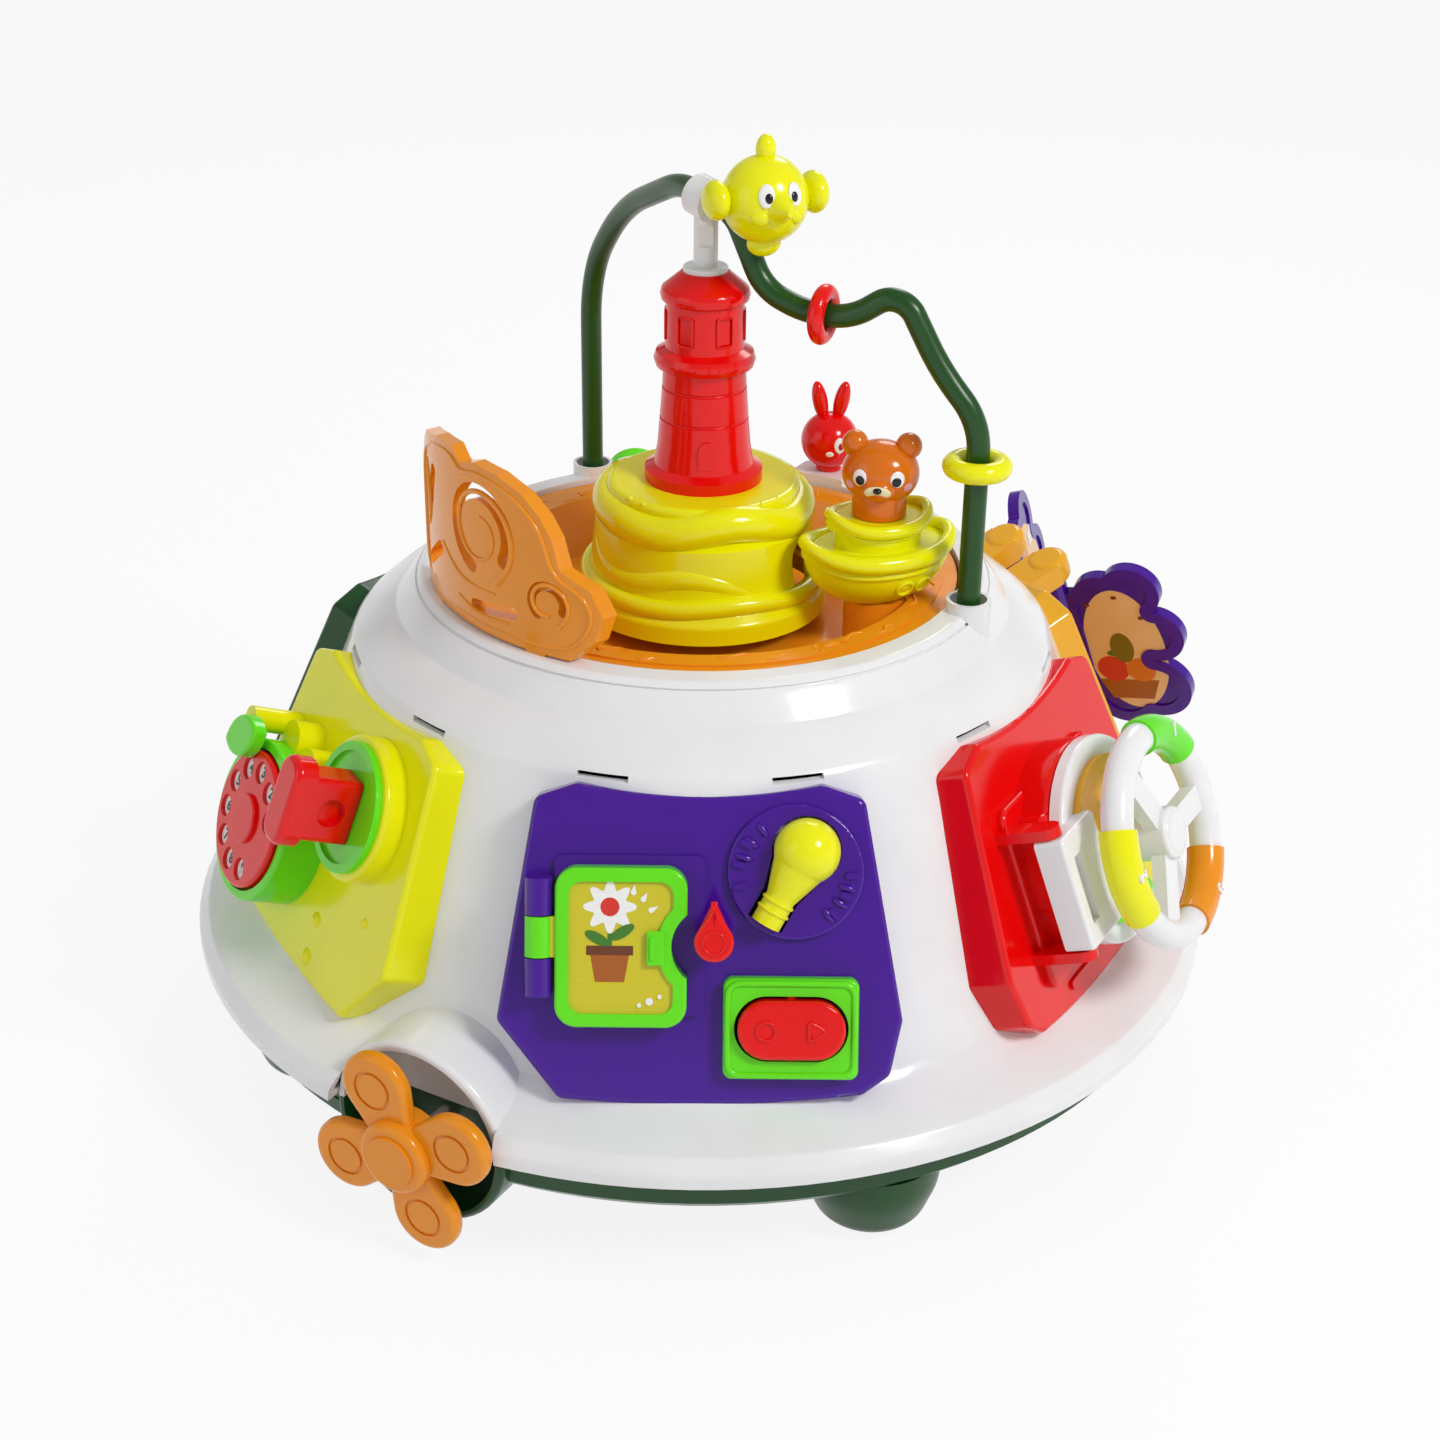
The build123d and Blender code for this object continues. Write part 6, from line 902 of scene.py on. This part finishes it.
def page_prints():
    # Generic pictures on both faces of each page: a hill with mushrooms, and fruit on the other side
    scenes = {
        "woods": (
            (
                "meadow",
                [(8, -27), (12, -16), (24, -12), (38, -16), (42, -24), (34, -31), (20, -34)],
                INK_MOSS,
            ),
            ("stalk_large", [(24.5, -14), (24, -2), (29, -2), (28.5, -14)], INK_WHITE),
            ("cap_large", [(17, -2), (20, 6), (27, 9.5), (33, 6), (36, -2)], INK_RED),
            ("stalk_small", [(14, -18), (13.6, -10), (17, -10), (16.8, -18)], INK_WHITE),
            ("cap_small", [(9.5, -10), (12, -4.5), (15.4, -3), (19, -4.5), (21.4, -10)], INK_ORANGE),
            ("spot_one", ellipse_line(1.6, 1.6, 18, 23.5, 3), INK_WHITE),
            ("spot_two", ellipse_line(1.3, 1.3, 18, 29.5, 3.6), INK_WHITE),
            ("sun", ellipse_line(5, 5, 30, 17, 24), INK_ORANGE),
            ("cloud", petal_line(5.0, 5, 0.16), INK_WHITE),
            ("bush", ellipse_line(4.5, 3.2, 24, 36, -12), INK_GREEN),
        ),
        "fruit": (
            ("bowl", [(9, -14), (13, -24), (30, -24), (34, -14)], INK_BROWN),
            ("apple", ellipse_line(6.5, 6.5, 30, 16, -8.5), INK_RED),
            ("orange", ellipse_line(6, 6, 30, 27.5, -8.8), INK_ORANGE),
            ("leaf", ellipse_line(3.4, 1.5, 20, 18.5, -0.4), INK_GREEN),
            ("pear", ellipse_line(4.8, 7.5, 30, 22, 2.5), INK_MOSS),
            ("crumb_one", ellipse_line(1.2, 0.8, 14, 12, 24), INK_DARK_BROWN),
            ("crumb_two", ellipse_line(1.2, 0.8, 14, 24, 28), INK_DARK_BROWN),
            ("crumb_three", ellipse_line(1.2, 0.8, 14, 33, 18), INK_DARK_BROWN),
        ),
    }
    field_depth = PAGE_THICKNESS / 2 - PAGE_BORDER_STEP
    for page, side, opening in (("page_front", -1, 33.0), ("page_rear", 1, 44.0)):
        for face, picture in ((1, "woods"), (-1, "fruit")):
            turned = page_frame(side, opening) @ Matrix.Rotation(0 if face > 0 else math.pi, 4, "X")
            mirror_y = -1 if (face > 0) == (side < 0) else 1
            field = cut_shape([(x, mirror_y * y) for x, y in page_field()], 0.1)
            place = on_face(turned, 0, 0, field_depth)
            lay_in_place(field, place, page + "_field_" + picture, page, LABEL_TAN)
            for number, (name, outline, ink) in enumerate(scenes[picture]):
                if name == "cloud":
                    outline = [(x + 32, y * 0.7 + 22) for x, y in outline]
                shape = cut_shape([(x, mirror_y * y) for x, y in outline], 0.14 + 0.03 * number)
                lay_in_place(shape, place, "%s_%s" % (page, name), page, ink)


def page_field():
    # The rounded picture field inside a page's lobed border
    return ellipse_line(16.5, 30.0, 60, 23.5, 1.5)


def hill_ridges():
    # The drooping sand cap, the rounded foot, and the broad wind-blown crest between them
    for name, (radius, height, swell, width) in (("cap", HILL_CAP), ("foot", HILL_FOOT)):
        spots = []
        for number in range(36):
            turn = 10 * number
            wave = math.sin(math.radians(3 * turn + 40)) + 0.5 * math.sin(math.radians(5 * turn))
            spots.append(standing(radius - 0.4 * wave, turn, height + swell * wave).to_translation() / MM)
        piece = ridge(spots, [width] * 36, True)
        lay_on_frame(piece, "hill_edge_" + name, YELLOW)
    lines = (
        ("crest", ((-92, 35.4, 198), (-76, 36.0, 191), (-60, 36.4, 186), (-44, 36.6, 184), (-28, 36.6, 186),
                   (-12, 36.4, 189), (4, 36.4, 188), (20, 36.8, 184), (36, 37.4, 180)), 5.2),
        ("rear", ((120, 35.4, 198), (140, 36.2, 191), (160, 36.6, 186), (182, 37.2, 181)), 5.0),
    )
    for name, stops, width in lines:
        spots = [
            standing(radius, azimuth, height).to_translation() / MM for azimuth, radius, height in stops
        ]
        widths = [
            width * (0.6 + 0.4 * math.sin(math.pi * (n + 0.5) / len(stops))) for n in range(len(stops))
        ]
        piece = ridge(spots, widths)
        lay_on_frame(piece, "hill_" + name, YELLOW)


def hill_pebbles():
    for number, (azimuth, radius, height, size) in enumerate(
        ((-50, 33.0, 212.4, 1.3), (-43, 31.5, 212.6, 0.9), (-38, 33.4, 212.2, 1.0), (38, 33.0, 212.4, 1.2),
         (52, 32.6, 212.5, 0.9), (-120, 32.5, 212.5, 1.2), (150, 32.8, 212.4, 1.1), (100, 33.0, 212.4, 1.0))
    ):
        pebble = button(size, size, 0.8)
        place = standing(radius, azimuth, height)
        lay_in_place(pebble, place, "hill_pebble_%d" % number, "frame", YELLOW)


def boat_rails():
    # Thick rails that sweep up to the bow and the stern, on the hull and again on the upper deck
    centre = standing(BOAT_RADIUS, BOAT_AZIMUTH, 0, BOAT_HEADING)
    rails = (
        ("hull", 26.6, 16.6, 196.6, 3.3, 2.2, 4.2),
        ("strake", 25.8, 16.0, 191.8, 1.4, 0.7, 3.4),
        ("deck", 17.6, 13.2, 207.0, 2.5, 1.8, 3.6),
        ("deck_line", 15.4, 12.4, 203.6, 0.9, 0.5, 2.0),
    )
    for name, half_x, half_y, height, thick, thin, lift in rails:
        spots, widths = [], []
        for number in range(20):
            turn = 2 * math.pi * number / 20
            end = abs(math.cos(turn)) ** 4
            spots.append(
                (half_x * 1.02 * math.cos(turn), half_y * 1.02 * math.sin(turn), height + lift * end)
            )
            widths.append(thick + (thin - thick) * end)
        piece = ridge(spots, widths, closed=True)
        lay_in_place(piece, centre, "boat_rail_" + name, "turntable", YELLOW)


def boat_portholes():
    centre = standing(BOAT_RADIUS, BOAT_AZIMUTH, 196.0, BOAT_HEADING)
    radii = (27.0, 17.0, 20.0)
    for number, azimuth in enumerate((10, 30, 150, 170, -150)):
        ring = ridge([(x, y, 0.2) for x, y, _ in ring_line(3.0)], [0.7] * 12, closed=True)
        place = on_ball(centre, radii, azimuth, -30)
        lay_in_place(ring, place, "boat_porthole_%d" % number, "turntable", YELLOW)
        glass = button(2.3, 2.3, 0.6)
        lay_in_place(glass, place, "boat_port_glass_%d" % number, "turntable", YELLOW)


def sea_reliefs():
    # Wave crests, a fish and bubbles raised on the turning sea
    for number in range(12):
        azimuth = 30 * number + 8
        for row, (radius, span) in enumerate(((80.2, 9.0), (83.8, 6.0))):
            turns = [azimuth + row * 10 - span / 2 + span * n / 6 for n in range(7)]
            spots = []
            for n, turn in enumerate(turns):
                swell = 1.3 * math.sin(math.pi * n / 3)
                spots.append(standing(radius + swell, turn, DECK_HEIGHT - 0.1).to_translation() / MM)
            widths = [0.7 * (0.3 + 0.7 * math.sin(math.pi * (n + 0.5) / 7)) for n in range(7)]
            crest = ridge(spots, widths)
            name = "sea_crest_%d_%d" % (row, number)
            lay_in_place(crest, Matrix.Identity(4), name, "turntable", ORANGE)
    for number in range(6):
        azimuth = 60 * number + 32
        body = button(3.6, 1.7, 0.9)
        lay_in_place(
            body,
            standing(FISH_RADIUS, azimuth, DECK_HEIGHT, azimuth),
            "sea_fish_%d" % number,
            "turntable",
            ORANGE,
        )
        tail = cut_shape([(0, 0), (2.6, 1.7), (2.0, 0), (2.6, -1.7)], 0.4, 0.1)
        place = standing(FISH_RADIUS, azimuth, DECK_HEIGHT, azimuth) @ Matrix.Translation((3.0 * MM, 0, 0))
        lay_in_place(tail, place, "sea_fish_tail_%d" % number, "turntable", ORANGE)
        for bubble, (radius, step, size) in enumerate(
            ((84.6, -3.6, 0.8), (82.4, -4.6, 0.6), (80.0, -3.8, 0.9))
        ):
            place = standing(radius, azimuth + step, DECK_HEIGHT)
            name = "sea_bubble_%d_%d" % (number, bubble)
            lay_in_place(button(size, size, 0.6), place, name, "turntable", ORANGE)


def wave_spot(x, height, proud=0.0):
    # A point on the outer face of the curved wave plate
    radius = WAVE_RADIUS + proud
    y = -math.sqrt(radius**2 - x**2)
    turn = math.radians(WAVE_AZIMUTH)
    return (x * math.cos(turn) - y * math.sin(turn), x * math.sin(turn) + y * math.cos(turn), height)


def wave_lines():
    # The raised border of the wave plate, its scroll, its curl and the foam lines
    border = ((-46, 184.5), (-46.5, 208), (-46, 228), (-38, 235.5), (-26, 238.5), (-14.5, 239.5), (-8.5, 235),
              (0, 237.4), (11, 236.6), (21, 233), (
                  27.4, 227.4
              ), (31, 221.6), (34, 210), (44.6, 205), (47.6, 198.4),
              (45, 190.6), (38.5, 184.4), (20, 184.2), (0, 184.2), (-20, 184.2))
    spots = [wave_spot(x, z) for x, z in border]
    lay_on_frame(ridge(spots, [0.8] * len(spots), True), "wave_border", ORANGE)
    scroll = []
    for number in range(22):
        share = number / 21
        turn = math.radians(-60 + 500 * share)
        radius = 18.2 - 12.5 * share
        scroll.append(wave_spot(2 + radius * math.cos(turn) * 0.98, 217 + radius * math.sin(turn)))
    widths = [1.1 - 0.6 * number / 21 for number in range(22)]
    lay_on_frame(ridge(scroll, widths), "wave_scroll", ORANGE)
    curl = []
    for number in range(12):
        share = number / 11
        turn = math.radians(-60 + 340 * share)
        curl.append(
            wave_spot(32 + (8.6 - 4 * share) * math.cos(turn), 200 + (8.6 - 4 * share) * math.sin(turn))
        )
    lay_on_frame(ridge(curl, [0.8] * 12), "wave_curl", ORANGE)
    foam = (
        ((-12, 190), (-4, 187.6), (6, 187), (16, 188.4)),
        ((-40, 205), (-36, 212), (-38, 222), (-41, 229)),
        ((-24, 205), (-14, 198), (-2, 196), (10, 197)),
    )
    for number, stops in enumerate(foam):
        piece = ridge([wave_spot(x, z) for x, z in stops], [0.4, 0.9, 0.9, 0.4])
        lay_on_frame(piece, "wave_foam_%d" % number, ORANGE)


def fruit_marks():
    # Seeds on the fruit button and the veins of its leaf
    for number in range(14):
        ring = 0 if number < 5 else 1
        turn = math.radians(number * (72 if ring == 0 else 40) + 20 * ring)
        x, y = (16 + 15 * ring) * math.cos(turn), 17 + (11 + 11 * ring) * math.sin(turn)
        height = 13 + 8 * math.sqrt(max(0.0, 1 - (x / 45) ** 2 - ((y - 17) / 33) ** 2)) - 0.3
        seed = cut_shape(drop_line(1.4, 3.2), 0.6, 0.15)
        lay_in_place(
            seed,
            on_face(BACK, x, y, height, 0),
            "fruit_seed_%d" % number,
            "fruit",
            YELLOW,
        )
    vein = ridge([(-10, 0, 0), (-4, 0.8, 0), (4, 0.8, 0), (10, 0, 0)], [0.3, 0.8, 0.8, 0.3])
    lay_in_place(
        vein,
        on_face(BACK, 28, 50, 19.0, 20),
        "fruit_leaf_vein",
        "fruit",
        LIGHT_GREEN,
    )


def key_signs():
    # A plain raised note on each key
    for number, x in enumerate((-26, 0, 26)):
        head = button(3.2, 2.5, 1.0)
        body = ("key_left", "key_middle", "key_right")[number]
        lay_in_place(
            head,
            on_face(BACK_LEFT, x - 1.5, -12, 8.9, 20),
            "note_head_%d" % number,
            body,
            WHITE,
        )
        stem = rounded_block(1.3, 13.0, 1.2, 0.4)
        lay_in_place(
            stem,
            on_face(BACK_LEFT, x + 1.2, -5.4, 8.8),
            "note_stem_%d" % number,
            body,
            WHITE,
        )


def latch_cap():
    # The drop-shaped latch's domed face over its pivot, with the raised ring
    top = local_top("door_latch", FRONT)
    drop = cut_shape(drop_line(6.3, 13.4), 0.6, 1.2)
    lay_in_place(drop, on_face(FRONT, *LATCH_PLACE, top - 0.6), "latch_cap", "latch", RED)
    ring = ridge(ring_line(3.6), [0.5] * 12, True)
    lay_in_place(ring, on_face(FRONT, *LATCH_PLACE, top + 2.4), "latch_ring", "latch", RED)


def ring_line(radius):
    return [(radius * math.cos(t), radius * math.sin(t), 0) for t in [math.pi * n / 6 for n in range(12)]]


def rocker_marks():
    # The raised ring and triangle on the rocker, and the rounded lip of its frame
    top = local_top("rocker", FRONT)
    ring = ridge(ring_line(3.0), [0.55] * 12, True)
    lay_in_place(
        ring, on_face(FRONT, 21.7, ROCKER_Y, top - 0.15), "rocker_ring", "rocker", RED
    )
    corners = ((-2.6, 3.4), (-2.6, 0), (-2.6, -3.4), (0.2, -1.7), (3.2, 0), (0.2, 1.7))
    mark = ridge([(x, y, 0) for x, y in corners], [0.55] * 6, True)
    lay_in_place(
        mark, on_face(FRONT, 37.7, ROCKER_Y, top - 0.15), "rocker_triangle", "rocker", RED
    )
    lip = ridge(rounded_line(20.2, 14.8, 4.0), [1.1] * 24, True)
    place = on_face(FRONT, *ROCKER_FRAME_PLACE)
    lay_in_place(lip, place, "rocker_frame_lip", "frame", LIGHT_GREEN)


def rounded_line(half_x, half_y, corner):
    # A rounded rectangle, six points to a corner
    line = []
    for quarter in range(4):
        middle_x = (half_x - corner) * (1 if quarter in (0, 3) else -1)
        middle_y = (half_y - corner) * (1 if quarter in (0, 1) else -1)
        for step in range(6):
            turn = math.pi / 2 * (quarter + step / 5)
            line.append((middle_x + corner * math.cos(turn), middle_y + corner * math.sin(turn), 0))
    return line


def bulb_rays():
    # Three raised drops on each side of the bulb
    for number, turn in enumerate((128, 146, 164, -16, -34, -52)):
        angle = math.radians(turn)
        x = BULB_PLACE[0] + BULB_RAY_RADIUS * math.cos(angle)
        y = BULB_PLACE[1] + BULB_RAY_RADIUS * math.sin(angle)
        ray = button(3.0, 1.25, 1.3)
        lay_in_place(
            ray, on_face(FRONT, x, y, 2.3, turn), "bulb_ray_%d" % number, "frame", PURPLE
        )


def local_top(node, panel):
    back = panel.inverted()
    return max((back @ vertex.co).z for vertex in nodes[node].data.vertices) / MM


def lighthouse_details():
    # Window frames around the lantern, an arched door on the tower, and a rim on the mast's collar
    for number in range(6):
        azimuth = 60 * number + 30
        frame_line = ridge([(x, 0, y) for x, y, _ in rounded_line(3.0, 5.0, 0.8)], [0.4] * 24, True)
        place = standing(LANTERN_RADIUS, azimuth, LANTERN_HEIGHT, azimuth)
        lay_in_place(frame_line, place, "lantern_frame_%d" % number, "frame", RED)
    arch = [(3.2 * math.cos(t), 7 + 3.2 * math.sin(t)) for t in [math.pi * (1 - n / 10) for n in range(11)]]
    door = cut_shape([(-3.2, 0), (-3.2, 7)] + arch + [(3.2, 0)], 0.8, 0.2)
    radius, azimuth, height = TOWER_DOOR_PLACE
    place = standing(radius, azimuth, height, azimuth) @ Matrix.Rotation(math.radians(86), 4, "X")
    lay_in_place(door, place, "tower_door", "frame", RED)
    collar = cut_shape(ellipse_line(7.8, 7.8, 48), 1.3, 0.6)
    lay_in_place(
        collar,
        Matrix.Translation((0, 0, TOWER_TOP * MM)),
        "mast_collar_rim",
        "frame",
        WHITE,
    )


def background_rays(tree):
    # 1 for what the camera, a reflection or a clear piece sees of the backdrop, and 0 for its light
    seen = add_node(tree, "ShaderNodeLightPath").outputs
    mirrored = add_node(
        tree, "ShaderNodeMath", {
            0: seen["Is Glossy Ray"], 1: seen["Is Transmission Ray"]
        }, operation="MAXIMUM"
    )
    watched = add_node(
        tree, "ShaderNodeMath", {
            0: mirrored.outputs["Value"], 1: seen["Is Camera Ray"]
        }, operation="MAXIMUM"
    )
    return watched.outputs["Value"]


def studio():
    bpy.ops.mesh.primitive_plane_add(size=FLOOR_WIDTH, location=(0, 0, -0.0002))
    floor = bpy.context.object
    floor.name = "studio_floor"
    material, tree = empty_material("pale_painted_floor")
    shader = add_node(tree, "ShaderNodeBsdfPrincipled", {"Base Color": linear("#F4F4F4"), "Roughness": 0.6})
    glow = add_node(tree, "ShaderNodeEmission", {"Color": (1, 1, 1, 1), "Strength": 1.0})
    share = add_node(
        tree, "ShaderNodeMath", {0: background_rays(tree), 1: FLOOR_GLOW}, operation="MULTIPLY"
    )
    mix = add_node(
        tree,
        "ShaderNodeMixShader",
        {0: share.outputs["Value"], 1: shader.outputs["BSDF"], 2: glow.outputs["Emission"]},
    )
    add_node(tree, "ShaderNodeOutputMaterial", {"Surface": mix.outputs["Shader"]})
    floor.data.materials.append(material)

    world = bpy.data.worlds.new("white_studio")
    bpy.context.scene.world = world
    world.use_nodes = True
    tree = world.node_tree
    tree.nodes.clear()
    # White at the horizon as the floor is, and a dimmer ceiling above it
    way = add_node(tree, "ShaderNodeTexCoord").outputs["Generated"]
    height = add_node(tree, "ShaderNodeSeparateXYZ", {"Vector": way}).outputs["Z"]
    sweep = add_node(
        tree, "ShaderNodeMapRange", {
            "Value": height, "From Min": 0.02, "From Max": 0.24, "To Min": 1.0, "To Max": CEILING_WHITE
        }
    )
    strength = add_node(
        tree, "ShaderNodeMapRange", {
            "Value": background_rays(tree), "To Min": WORLD_FILL, "To Max": sweep.outputs["Result"]
        }
    )
    background = add_node(
        tree, "ShaderNodeBackground", {"Color": (1, 1, 1, 1), "Strength": strength.outputs["Result"]}
    )
    add_node(tree, "ShaderNodeOutputWorld", {"Surface": background.outputs["Background"]})

    for name, place, size, power in STUDIO_LAMPS:
        lamp = bpy.data.lights.new(name, "AREA")
        lamp.shape = "DISK"
        lamp.size = size
        lamp.energy = power
        light = bpy.data.objects.new(name, lamp)
        bpy.context.scene.collection.objects.link(light)
        light.location = place
        light.rotation_euler = (Vector(LAMP_AIM) - Vector(place)).to_track_quat("-Z", "Y").to_euler()
    bpy.context.scene.view_settings.view_transform = "Standard"


def camera():
    data = bpy.data.cameras.new("photograph_camera")
    data.lens = CAMERA_LENS
    data.sensor_width = CAMERA_SENSOR
    data.shift_x = (FRAME_PIXELS / 2 - AXIS_PIXEL) / FRAME_PIXELS
    eye = bpy.data.objects.new("photograph_camera", data)
    bpy.context.scene.collection.objects.link(eye)
    look = (Vector((0, 0, AIM_HEIGHT)) - Vector(CAMERA_PLACE)).to_track_quat("-Z", "Y").to_matrix().to_4x4()
    eye.matrix_world = Matrix.Translation(CAMERA_PLACE) @ look @ Matrix.Rotation(CAMERA_ROLL, 4, "Z")
    bpy.context.scene.camera = eye


clear_selection()
mouldings = carried_nodes()
bird_face_and_wings()
bear_face()
bunny_face()
door_label(mouldings["door"])
door_pull()
grip_colours(mouldings["wheel_grips"])
dial_numbers()
wheel_numbers()
hub_cap()
page_prints()
hill_ridges()
hill_pebbles()
boat_rails()
boat_portholes()
sea_reliefs()
wave_lines()
fruit_marks()
key_signs()
latch_cap()
rocker_marks()
bulb_rays()
lighthouse_details()
clear_selection()
studio()
camera()
